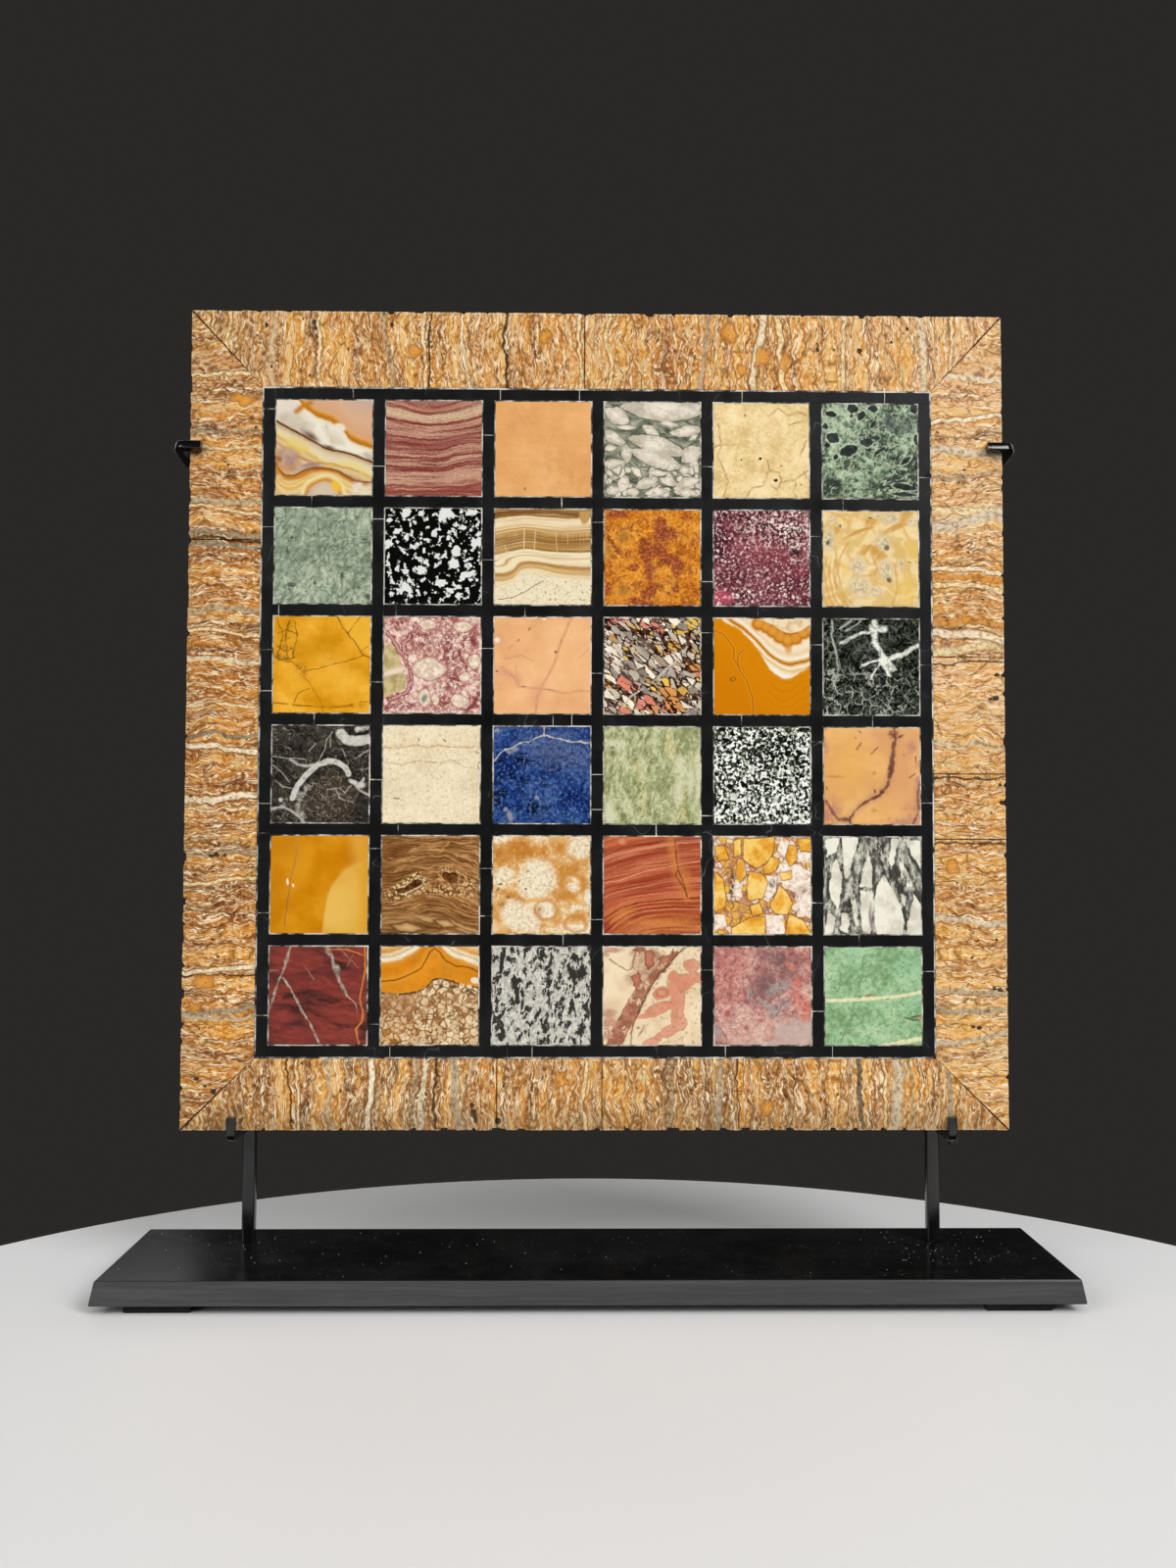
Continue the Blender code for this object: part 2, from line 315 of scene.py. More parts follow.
# %% Textures
class Textures(Places):
    """Noise and cells, the two sources of everything that isn't drawn."""

    def noise(self, scale, detail=3, rough=0.5, at=None, kind="FBM"):
        return self.node("ShaderNodeTexNoise", {
            "Vector": at or self.grain, "Scale": scale, "Detail": detail, "Roughness": rough},
            noise_type=kind)

    def strata(self, height, fine=40, along=1.2, detail=3, rough=0.6):
        """Noise in long thin streaks that follow a height, for the finest bands."""
        return self.noise(1, detail, rough, at=self.join(self.u * along, height * fine))

    def cells(self, scale, at=None, feature="F1"):
        """Voronoi cells: (distance to the centre, a random value, another), or the distance to
        the edge alone."""
        distance = self.node("ShaderNodeTexVoronoi", {"Vector": at or self.grain, "Scale": scale},
                             "Distance", feature=feature)
        if feature == "DISTANCE_TO_EDGE":
            return distance
        chance = self.node("ShaderNodeSeparateColor", (distance.other("Color"),))
        return distance, chance, chance.other(1)

    def specks(self, scale, radius, share, at=None):
        """A mask of round specks: radius in cell widths, share of the cells that have one."""
        distance, chance, size = self.cells(scale, at)
        inside = (distance - radius * (0.6 + 0.5 * size)).step(0.05, -0.05)
        return inside * chance.step(share + 0.01, share - 0.01)

    def snap(self, scale, at):
        """Each place moved to the middle of its cell, so that a patch gets the cells' outline."""
        return self.node("ShaderNodeTexVoronoi", {"Vector": at, "Scale": scale}, "Position")


print("textures:", offered(Textures))

# %% Drawn shapes
ROUNDING = 0.02  # of the corners of a straight-edged piece, in face widths


class Drawing(Textures):
    """Lines, ovals and straight-edged pieces, as distances and as masks."""

    def line(self, lines, at=None):
        """Distance to the nearest of several bent lines, in face widths."""
        return nearest_of(
            nearest_of(self.segment(start, stop, at or self.place)
                       for start, stop in zip(line, line[1:])) for line in drawn(lines))

    def segment(self, start, stop, at):
        ends = (start[0], 0, start[1]), (stop[0], 0, stop[1])
        return self.node("ShaderNodeGroup", (at, *ends), node_tree=segment_group())

    def stroke(self, lines, width, at=None, soft=0.3):
        """A mask of bent lines: 1 inside their width, with a soft edge."""
        return self.line(lines, at).step(width * (0.5 + soft), width * (0.5 - soft))

    def vein(self, lines, width, at=None, fray=1, soft=0.5):
        """A mask of bent lines whose width comes and goes."""
        near = self.line(lines, at)
        ragged = near + (self.noise(15, 4, 0.7) - 0.5) * (width * 2.5 * fray)
        return ragged.step(width * (0.5 + soft), width * (0.5 - soft))

    def oval(self, centre, radii, turn=0, at=None, pointed=0):
        """Distance from an oval's centre: 1 on its edge. pointed draws it out to a lozenge."""
        made = self.node("ShaderNodeMapping", (
            at or self.place, (centre[0], 0, centre[1]), (0, -math.radians(turn), 0),
            (radii[0], 10, radii[1])), vector_type="TEXTURE")
        rounded = self.vector("LENGTH", made, output=1)
        if not pointed:
            return rounded
        folded = self.vector("ABSOLUTE", made)
        lozenge = self.vector("DOT_PRODUCT", folded, (pointed, 0, pointed), output=1)
        return rounded * (1 - pointed) + lozenge

    def ovals(self, ovals, at=None, pointed=0):
        """Distance to the nearest of several ovals, 1 on its edge."""
        return nearest_of(self.oval((u, v), (wide, tall), turn, at, pointed)
                          for u, v, wide, tall, turn in drawn_ovals(ovals))

    def patch(self, ovals, at=None, soft=0.15):
        """A mask of ovals laid together."""
        return self.ovals(ovals, at).step(1 + soft, 1 - soft)

    def shards(self, outlines, at=None):
        """Distance to the nearest of several straight-edged pieces, under 0 inside. An outline
        is its corners, clockwise as seen, and bulges everywhere."""
        return nearest_of(self.shard(corners, at or self.place) for corners in drawn(outlines))

    def shard(self, corners, at):
        inside = None
        for (u, v), (next_u, next_v) in zip(corners, [*corners[1:], corners[0]]):
            length = math.hypot(next_u - u, next_v - v)
            out = ((next_v - v) / length, (u - next_u) / length)
            edge = self.vector("DOT_PRODUCT", at, (out[0], 0, out[1]), output=1)
            edge = edge - (u * out[0] + v * out[1])
            inside = inside.math("SMOOTH_MAX", edge, ROUNDING) if inside else edge
        return inside

    def contour(self, line, at=None):
        """How far below a wavy line, drawn from left to right, a place lies."""
        u, _, v = self.parts(at) if at else (self.u, None, self.v)
        return v - self.curve(u, line)

    def curve(self, field, line):
        """A smooth curve through "value,result" places, read at a field."""
        made = self.node("ShaderNodeFloatCurve", {"Value": field})
        mapping = made.socket.node.mapping
        mapping.clip_min_x = mapping.clip_min_y = -1
        mapping.clip_max_x = mapping.clip_max_y = 2
        curve = mapping.curves[0]
        for number, (across, up) in enumerate(drawn(line)[0]):
            if number < 2:
                curve.points[number].location = (across, up)
            else:
                curve.points.new(across, up)
        mapping.update()
        return made


print("shapes:", offered(Drawing))

# %% Paint: one material and the colour laid on it
HONED_GLOSS = 0.22  # old stone is honed, not wet: it mirrors little of the room


class Paint(Drawing):
    """A material on a piece. place runs from 0 to 1 over the face from its upper left corner,
    u to the right and v down, as one reads. Lengths are in face widths, and turns in degrees
    clockwise."""

    def __init__(self, name, corner=(0, 0, 0), size=1.0, seed=0):
        self.material = bpy.data.materials.new(name)
        self.material.use_nodes = True
        self.tree = self.material.node_tree
        self.shader = self.tree.nodes["Principled BSDF"]
        left, front, top = corner
        coordinates = self.tree.nodes.new("ShaderNodeTexCoord").outputs["Object"]
        self.place = self.node("ShaderNodeMapping", (Field(self, coordinates), (
            -left / size, -front / size, top / size), None, (1 / size, 1 / size, -1 / size)))
        self.u, _, self.v = self.parts(self.place)
        self.grain = self.shift(self.place, (seed * 7.31, seed * 3.17, seed * 5.23))
        self.colour = None

    def lay(self, above, share):
        """Lays a colour over the one so far, where share is 1."""
        self.colour = self.blend(self.colour, above, share)

    def tint(self, light):
        """Makes the colour so far darker, where light is under 1, or brighter."""
        self.colour = self.shade(self.colour, light)

    def blend(self, below, above, share):
        """Colour above laid over colour below where share is 1."""
        return self.node("ShaderNodeMix", {0: share, 6: below, 7: above}, 2, data_type="RGBA")

    def shade(self, colour, light):
        """A colour made darker (light under 1) or brighter by a field."""
        return self.vector("MULTIPLY", colour, light)

    def ramp(self, field, stops, stepped=False):
        """Colours along a field."""
        stops = drawn_stops(stops)
        low, high = stops[0][0], stops[-1][0]
        if low < 0 or high > 1:
            field = self.node("ShaderNodeMapRange", (field, low, high))
            stops = [((value - low) / (high - low), code) for value, code in stops]
        made = self.node("ShaderNodeValToRGB", (field,))
        ramp = made.socket.node.color_ramp
        ramp.interpolation = "CONSTANT" if stepped else "LINEAR"
        ramp.elements.remove(ramp.elements[1])
        ramp.elements[0].position = stops[0][0]
        ramp.elements[0].color = linear(stops[0][1])
        for position, code in stops[1:]:
            ramp.elements.new(position).color = linear(code)
        return made

    def finish(self, roughness=0.3, bump=None, depth=0.0, **values):
        """Wires the colour, roughness and relief to the shader. depth is in metres."""
        self.feed(self.shader.inputs["Base Color"], self.colour)
        self.feed(self.shader.inputs["Roughness"], roughness)
        self.shader.inputs["Specular IOR Level"].default_value = HONED_GLOSS
        for label, value in values.items():
            self.shader.inputs[label.replace("_", " ")].default_value = value
        if bump is not None:
            relief = self.node("ShaderNodeBump", {"Distance": depth, "Height": bump})
            self.feed(self.shader.inputs["Normal"], relief)
        return self.material


print("paint:", offered(Paint))

# %% The distance to a straight segment, as a node group
def segment_group():
    """Distance from Place to the segment between Start and Stop. Made once, then shared."""
    name = "distance to segment"
    if name in bpy.data.node_groups:
        return bpy.data.node_groups[name]
    tree = bpy.data.node_groups.new(name, "ShaderNodeTree")
    for label in ("Place", "Start", "Stop"):
        tree.interface.new_socket(label, in_out="INPUT", socket_type="NodeSocketVector")
    tree.interface.new_socket("Distance", in_out="OUTPUT", socket_type="NodeSocketFloat")
    ends = tree.nodes.new("NodeGroupInput").outputs

    def add(kind, operation, inputs, output=0):
        made = tree.nodes.new(kind)
        made.operation = operation
        for socket, value in inputs.items():
            if isinstance(value, tuple):
                made.inputs[socket].default_value = value
            else:
                tree.links.new(value, made.inputs[socket])
        return made.outputs[output]

    def vector(operation, a, b, output=0):
        return add("ShaderNodeVectorMath", operation, {0: a, 1: b}, output)

    reach = vector("MULTIPLY", vector("SUBTRACT", ends["Place"], ends["Start"]), (1.0, 0.0, 1.0))
    span = vector("SUBTRACT", ends["Stop"], ends["Start"])
    share = add("ShaderNodeMath", "DIVIDE", {0: vector("DOT_PRODUCT", reach, span, 1),
                                             1: vector("DOT_PRODUCT", span, span, 1)})
    share.node.use_clamp = True
    scaled = add("ShaderNodeVectorMath", "SCALE", {0: span, "Scale": share})
    nearest = add("ShaderNodeVectorMath", "LENGTH", {0: vector("SUBTRACT", reach, scaled)}, 1)
    tree.links.new(nearest, tree.nodes.new("NodeGroupOutput").inputs[0])
    return tree


print("node group:", segment_group().name)

# %% [markdown]
# ## Shaping cut stone
# Hand-cut stone has no perfect edge: the arris is rubbed down, nibbled by the saw and chipped
# here and there. One builder serves every flat stone of the object. It lays a fine grid over
# the four corners of the face, eats into the outline with seeded noise, drops the outermost
# ring back to make the arris, and closes the sides and the bottom.

# %% Seeded unevenness
TABLE = 64  # the noise repeats after this many bumps
AWAY = 500  # bumps from the origin, so that every place counts up from zero


def unevenness(x, z, size, seed):
    """Smooth noise between -1 and 1 at places given in metres, with bumps of the given size."""
    table = np.random.default_rng(seed).uniform(-1, 1, (TABLE, TABLE))
    a, b = np.asarray(x) / size + AWAY, np.asarray(z) / size + AWAY
    column, row = np.floor(a).astype(int), np.floor(b).astype(int)
    p, q = a - column, b - row
    p, q = p * p * (3 - 2 * p), q * q * (3 - 2 * q)
    left, right = column % TABLE, (column + 1) % TABLE
    low, high = row % TABLE, (row + 1) % TABLE
    near = table[left, low] * (1 - p) + table[right, low] * p
    far = table[left, high] * (1 - p) + table[right, high] * p
    return near * (1 - q) + far * q


print("unevenness at two places:", np.round(unevenness([0.0, 0.002], [0.0, 0.0], 0.01, 1), 2))

# %% Nibbled outlines
TOOTH, GRIT, CHIP = 0.0011, 0.0004, 0.0035  # the sizes of what is eaten out of an edge
CHIPS_FROM, CHIPS_OVER = 0.55, 0.45  # only the highest bumps become chips


def nibble(x, z, depth, chips, seed):
    """How far an edge is eaten in at a place on it: a fine saw-tooth and a few deeper chips."""
    fine = 0.5 + 0.3 * unevenness(x, z, TOOTH, seed) + 0.2 * unevenness(x, z, GRIT, seed + 1)
    coarse = unevenness(x, z, CHIP, seed + 2)
    chip = np.clip(coarse - CHIPS_FROM, 0, None) * chips / CHIPS_OVER
    return np.clip(fine, 0, 1) * depth + chip


print("a nibble:", round(float(nibble(0.0, 0.0, 1.0, 1.0, 3)), 2), "of its depth")

# %% The outline of a stone, eaten in
def face_grid(c, across, up):
    """A grid over four corners: the shares s and t of its points, and their x and z."""
    s = np.linspace(0, 1, across + 1)
    t = np.linspace(0, 1, up + 1)
    s, t = np.meshgrid(s, t, indexing="ij")
    face = (np.multiply.outer((1 - s) * (1 - t), c[0]) + np.multiply.outer(s * (1 - t), c[1])
            + np.multiply.outer(s * t, c[2]) + np.multiply.outer((1 - s) * t, c[3]))
    return s, t, face[..., 0], face[..., 1]


def eat_edges(c, s, t, x, z, bite, outer):
    """Moves each edge of the face inwards by its bite."""
    inward = (c[0] + c[1] + c[2] + c[3]) / 4
    sides = ((t == 0, c[0], c[1], outer[0]), (s == 1, c[1], c[2], outer[1]),
             (t == 1, c[2], c[3], outer[2]), (s == 0, c[3], c[0], outer[3]))
    for on_edge, start, stop, share in sides:
        way = (stop - start) / np.linalg.norm(stop - start)
        normal = np.array([-way[1], way[0]])
        normal = normal * np.sign(np.dot(inward - start, normal))
        x[on_edge] += (bite[on_edge] * normal[0]) * share
        z[on_edge] += (bite[on_edge] * normal[1]) * share


def narrow_arris(x, z, across, up, pull):
    """Moves the first ring inside the rim close to it, so that the arris stays narrow."""
    for axis, count in ((0, across), (1, up)):
        for ring, border in ((1, 0), (count - 1, count)):
            inner = np.take([x, z], ring, axis=axis + 1)
            edge_line = np.take([x, z], border, axis=axis + 1)
            gap = inner - edge_line
            length = np.maximum(np.hypot(gap[0], gap[1]), 1e-9)
            moved = edge_line + gap / length * np.minimum(pull, length * 0.9)
            where = [slice(None), slice(None)]
            where[axis] = ring
            x[tuple(where)], z[tuple(where)] = moved


print("a grid of", face_grid(np.eye(4, 2), 3, 2)[0].size, "points")

# %% The faces of a stone
def block_faces(across, up):
    """The rim of the face as a loop of points, and the faces: the grid, the sides, the back."""
    loop = ([i * (up + 1) for i in range(across + 1)]
            + [across * (up + 1) + j for j in range(1, up + 1)]
            + [i * (up + 1) + up for i in range(across - 1, -1, -1)]
            + [j for j in range(up - 1, 0, -1)])
    faces = []
    for i in range(across):
        for j in range(up):
            a = i * (up + 1) + j
            faces.append((a, a + up + 1, a + up + 2, a + 1))
    first, count = (across + 1) * (up + 1), len(loop)
    for k in range(count):
        nxt = (k + 1) % count
        faces.append((loop[k], first + k, first + nxt, loop[nxt]))
    faces.append(tuple(first + k for k in reversed(range(count))))
    return loop, faces


print("a block of 3 by 2 has", len(block_faces(3, 2)[1]), "faces")

# %% The stone block
ARRIS = 0.00022
SHARP_ANGLE = 24  # degrees, past which an edge catches the light as an edge


def stone_block(name, corners, front, back, step, edge=0.00012, chips=0.0003, seed=0,
                relief=None, arris=ARRIS, outer=(1, 1, 1, 1), notches=()):
    """A flat stone from four face corners (x, z), anticlockwise from the lower left as seen
    from the front. The face lies at y = front and the body runs to y = back. outer scales how
    much the lower, right, upper and left edges are eaten, and each notch (x, z, radius) is a
    bigger bite out of the edge near it."""
    c = [np.array(corner) for corner in corners]
    wide = max(np.linalg.norm(c[1] - c[0]), np.linalg.norm(c[2] - c[3]))
    tall = max(np.linalg.norm(c[3] - c[0]), np.linalg.norm(c[2] - c[1]))
    across, up = max(3, round(wide / step)), max(3, round(tall / step))
    s, t, x, z = face_grid(c, across, up)
    bite = nibble(x, z, edge, chips, seed)
    for notch_x, notch_z, radius in notches:
        reach = np.hypot(x - notch_x, z - notch_z) / radius
        bite += radius * np.clip(1.0 - reach ** 2, 0, None) * 0.9
    eat_edges(c, s, t, x, z, bite, outer)
    rim = (s == 0) | (s == 1) | (t == 0) | (t == 1)
    sign = 1.0 if back > front else -1.0
    y = np.full_like(x, front)
    if relief is not None:
        y += sign * relief(x, z)
    y[rim] += sign * arris * (1 + 0.5 * unevenness(x[rim], z[rim], 0.002, seed + 5))
    narrow_arris(x, z, across, up, arris * 1.2)
    front_points = np.stack([x, y, z], axis=-1).reshape(-1, 3)
    loop, faces = block_faces(across, up)
    back_points = front_points[loop].copy()
    back_points[:, 1] = back
    points = np.concatenate([front_points, back_points])
    if sign < 0:
        faces = [tuple(reversed(face)) for face in faces]
    mesh = bpy.data.meshes.new(name)
    mesh.from_pydata(points.tolist(), [], faces)
    mesh.shade_smooth()
    mesh.set_sharp_from_angle(angle=math.radians(SHARP_ANGLE))
    flat_map(mesh, across * up, c)
    return mesh


print("arris of a block:", ARRIS * 1000, "mm")

# %% The baking map of a stone
BAKE_MARGIN = 0.06


def flat_map(mesh, face_count, corners):
    """Lays the finely gridded face over nearly the whole baking map, and the sides in its rim."""
    low, high = np.min(corners, axis=0), np.max(corners, axis=0)
    layer = mesh.uv_layers.new(name="OFBake")
    span = 1 - 2 * BAKE_MARGIN
    points = np.empty(len(mesh.vertices) * 3)
    mesh.vertices.foreach_get("co", points)
    points = points.reshape(-1, 3)[:, (0, 2)]
    flat = BAKE_MARGIN + span * (points - low) / (high - low)
    maps = np.empty((len(mesh.loops), 2))
    starts = np.empty(len(mesh.polygons), dtype=int)
    mesh.polygons.foreach_get("loop_start", starts)
    corner_points = np.empty(len(mesh.loops), dtype=int)
    mesh.loops.foreach_get("vertex_index", corner_points)
    maps[:] = flat[corner_points]
    side = starts[face_count]
    # sides and back: a narrow strip along the map's lower edge
    maps[side:, 0] = flat[corner_points[side:], 0]
    maps[side:, 1] = flat[corner_points[side:], 1] * BAKE_MARGIN * 0.8
    layer.data.foreach_set("uv", maps.ravel())


print("map margin:", BAKE_MARGIN)

# %% Putting a piece in the scene
def show(name, mesh, material, replaced):
    """Makes a finished mesh an object of the scene that stands for CAD nodes."""
    piece = bpy.data.objects.new(name.replace(" ", "_"), mesh)
    bpy.context.scene.collection.objects.link(piece)
    if material:
        mesh.materials.clear()
        mesh.materials.append(material)
    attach(piece, "root")
    if replaced:
        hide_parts(*replaced)
    return piece


def square(left, low, right, high):
    """The four corners of an upright rectangle, anticlockwise from the lower left."""
    return (left, low), (right, low), (right, high), (left, high)


def join_meshes(name, meshes):
    """Several meshes as one, without merging their points."""
    bm = bmesh.new()
    for mesh in meshes:
        bm.from_mesh(mesh)
        bpy.data.meshes.remove(mesh)
    joined = bpy.data.meshes.new(name)
    bm.to_mesh(joined)
    bm.free()
    return joined


print("a square:", square(0, 0, 1, 1))

# %% [markdown]
# ## Growing what repeats
# Bars and beads of weld, plaster lines and crumbs all follow a line or repeat over a surface,
# and that is work for Geometry Nodes. One helper keeps their trees short. It opens a tree with
# named inputs, adds nodes, closes it with real geometry in a finish, and grows a plain mesh
# from a few points. An input is set by its identifier, because a name isn't always unique.

# %% Geometry Nodes trees
class Growth:
    """A tree with named inputs that is grown into plain meshes."""

    def __init__(self, name, finish, **inputs):
        self.finish = finish
        self.tree = bpy.data.node_groups.new(name, "GeometryNodeTree")
        self.tree.is_modifier = True
        self.labels = {label: self.socket(label.replace("_", " "), "INPUT", kind).identifier
                       for label, kind in (("Geometry", "Geometry"), *inputs.items())}
        self.socket("Geometry", "OUTPUT", "Geometry")
        self.given = self.tree.nodes.new("NodeGroupInput").outputs

    def socket(self, label, in_out, kind):
        return self.tree.interface.new_socket(label, in_out=in_out, socket_type="NodeSocket" + kind)

    def add(self, kind, inputs, output=0, **settings):
        """Adds a node and gives an output; inputs are {socket: a link or a value}."""
        node = self.tree.nodes.new(kind)
        for key, value in settings.items():
            setattr(node, key, value)
        for socket, value in inputs.items():
            if isinstance(value, bpy.types.NodeSocket):
                self.tree.links.new(value, node.inputs[socket])
            else:
                node.inputs[socket].default_value = value
        return node.outputs[output] if len(node.outputs) else None

    def close(self, geometry):
        """Ends the tree with real geometry in its finish."""
        real = self.add("GeometryNodeRealizeInstances", {0: geometry})
        painted = self.add("GeometryNodeSetMaterial", {"Geometry": real, "Material": self.finish})
        self.add("NodeGroupOutput", {0: painted})
        return self

    def grow(self, points=(), edges=(), faces=(), **values):
        """What the tree makes of a few points, as a plain mesh."""
        seedling = bpy.data.meshes.new("seedling")
        seedling.from_pydata([tuple(point) for point in points], edges, faces)
        host = bpy.data.objects.new("seedling", seedling)
        bpy.context.scene.collection.objects.link(host)
        modifier = host.modifiers.new("tree", "NODES")
        modifier.node_group = self.tree
        for label, value in values.items():
            modifier[self.labels[label]] = value
        graph = bpy.context.evaluated_depsgraph_get()
        mesh = bpy.data.meshes.new_from_object(host.evaluated_get(graph))
        host.modifiers.remove(modifier)
        bpy.data.objects.remove(host)
        return mesh


print("a tree's ways:", "add, close, grow")

# %% [markdown]
# ## Where everything is
# The specimens' boxes in the construction give the whole layout: their edges fix the plaster
# joints, and what is left between two joints is a strip of black marble.

# %% The layout of the mosaic
ROWS = COLUMNS = 6
JOINT = 0.00045
tiles = {(int(name[10]) - 1, int(name[12]) - 1): name for name in frame["nodes"]
        if name.startswith("specimen_r")}
tile_box = {spot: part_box(name) for spot, name in tiles.items()}
strips_low, strips_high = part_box("black_marble_strips")
FACE = strips_low[1]
BED = strips_high[1]
left_of = [tile_box[0, column][0][0] - JOINT for column in range(COLUMNS)]
right_of = [tile_box[0, column][1][0] + JOINT for column in range(COLUMNS)]
top_of = [tile_box[row, 0][1][2] + JOINT for row in range(ROWS)]
bottom_of = [tile_box[row, 0][0][2] - JOINT for row in range(ROWS)]
TILE = tile_box[0, 0][1][0] - tile_box[0, 0][0][0]
print("specimens:", len(tiles), "of", round(TILE * 1000, 1), "mm")

# %% [markdown]
# ## The black marble strips
# The lattice is laid from long uprights and short bars, each a little shorter than the stock it
# came from, so most strips are made up of two or more lengths. White plaster shows in every
# butt joint. We list where each strip is broken, as shares of its length, and cut the lengths
# apart by a hair.

# %% Breaks in the strips
BUTT = 0.00010
PRESSED = 0.00008  # the strips spread a little over their plaster
LEFT_BREAKS = (0.032, 0.211, 0.396, 0.458, 0.626, 0.670, 0.788, 0.939)
RIGHT_BREAKS = (0.115, 0.405, 0.616, 0.871)
TOP_BREAKS = (0.118, 0.342, 0.463, 0.616, 0.712, 0.931)
BOTTOM_BREAKS = (0.186, 0.364, 0.402, 0.697, 0.861)
UPRIGHT_BREAKS = ((0.105, 0.188, 0.442, 0.593, 0.699, 0.967), (0.055, 0.251, 0.389, 0.729, 0.802),
        (0.191, 0.427, 0.584, 0.638, 0.807), (0.102, 0.283, 0.363, 0.647, 0.884),
        (0.211, 0.381, 0.532, 0.781, 0.947))
# (row over the bar, column): shares from the bar's left end
BAR_BREAKS = {(0, 0): (0.38,), (0, 2): (0.69,), (0, 5): (0.22,), (1, 0): (0.06,), (1, 1): (0.13,),
        (1, 2): (0.32,), (1, 4): (0.46,), (2, 0): (0.43,), (2, 2): (0.61, 0.80), (2, 4): (0.29,),
        (2, 5): (0.51,), (3, 1): (0.17,), (3, 3): (0.54,), (4, 2): (0.72,), (4, 5): (0.36,)}
print("breaks in uprights:", sum(len(breaks) for breaks in UPRIGHT_BREAKS))

# %% Lay the strips
STRIP_STEP = 0.0009
END_GAP = 0.00005  # where a strip ends against its neighbour
UNLEVEL = 0.00003  # how far below the face a length may lie
strip_meshes = []
butt_joints = []


def lay_strip(low, high, breaks, upright):
    """One strip between two corners (x, z), in lengths parted at its breaks."""
    axis = 1 if upright else 0
    span = high[axis] - low[axis]
    shares = [1 - b for b in reversed(breaks)] if upright else list(breaks)
    stops = [low[axis], *(low[axis] + share * span for share in shares), high[axis]]
    for number, (start, stop) in enumerate(zip(stops, stops[1:])):
        a, b = [v - PRESSED for v in low], [v + PRESSED for v in high]
        a[axis] = start + (BUTT / 2 if number else END_GAP)
        b[axis] = stop - (BUTT / 2 if number < len(stops) - 2 else END_GAP)
        if number:
            butt_joints.append((low, high, start, upright))
        seed = 100 + len(strip_meshes)
        level = FACE + UNLEVEL * (1 + unevenness(seed * 0.01, 0, 0.003, 7))
        strip_meshes.append(stone_block("strip", square(*a, *b), level, BED, STRIP_STEP,
                                        edge=0.00005, chips=0.0002, seed=seed, arris=0.00008))


low_x, low_z = strips_low[0], strips_low[2]
high_x, high_z = strips_high[0], strips_high[2]
inner_left, inner_right = left_of[0], right_of[-1]
inner_top, inner_bottom = top_of[0], bottom_of[-1]
lay_strip((low_x, low_z), (inner_left, high_z), LEFT_BREAKS, True)
lay_strip((inner_left, inner_top), (high_x, high_z), TOP_BREAKS, False)
lay_strip((inner_right, low_z), (high_x, inner_top), RIGHT_BREAKS, True)
lay_strip((inner_left, low_z), (inner_right, inner_bottom), BOTTOM_BREAKS, False)
for column in range(COLUMNS - 1):
    lay_strip((right_of[column], inner_bottom), (left_of[column + 1], inner_top),
            UPRIGHT_BREAKS[column], True)
for row in range(ROWS - 1):
    for column in range(COLUMNS):
        lay_strip((left_of[column], top_of[row + 1]), (right_of[column], bottom_of[row]),
                BAR_BREAKS.get((row, column), ()), False)
print("lengths of strip:", len(strip_meshes))

# %% [markdown]
# The stone of the strips is a fine black marble, honed and no longer quite even: a soft grey
# bloom, a few thin scratches and pale fossil hairlines, and dull patches where it is worn.

# %% Black marble
def black_marble():
    p = Paint("black marble", size=0.05, seed=2)
    cloud = p.noise(3, 4, 0.6)
    fine = p.noise(60, 3, 0.6)
    p.colour = p.ramp(cloud + fine * 0.25, "45 070808, 62 0E0F0F, 80 1A1B1B")
    hair = p.noise(2.3, 2, 0.4, at=p.warp(p.grain, 4, 0.25)) - 0.5
    p.lay("55585A", hair.abs().step(0.0035, 0) * cloud.step(0.5, 0.62))
    p.lay("77787A", p.specks(30, 0.10, 0.10) * 0.7)
    return p.finish(p.noise(5, 3) * 0.3 + 0.22, fine + cloud, 0.00003)


lattice = show("black marble lattice", join_meshes("black marble lattice", strip_meshes),
               black_marble(), ["black_marble_strips"])
print("lattice:", len(lattice.data.polygons), "faces")

# %% [markdown]
# ## White plaster in the joints
# Each specimen sits in a thin square line of white plaster, and one more line runs round the
# whole mosaic. A ring that repeats over a grid is a natural job for Geometry Nodes: a square
# curve gets a rectangular section, and the ring is instanced on the points of a grid. A curve's
# section isn't widened where it turns a corner, so the section is wider by the root of two.

# %% White plaster
def white_plaster():
    """Old plaster: white where it is whole, grey with dirt, and dark as painted shade where it has
    dropped out.
    """
    p = Paint("white plaster", size=0.01, seed=5)
    p.colour = p.ramp(p.noise(1.6, 5, 0.7), "40 2A2926, 47 6E6B64, 53 B8B3A8, 60 DDD8CC")
    return p.finish(0.85, p.noise(9, 4, 0.6), 0.00012)


plaster_finish = white_plaster()
print("finish:", plaster_finish.name)

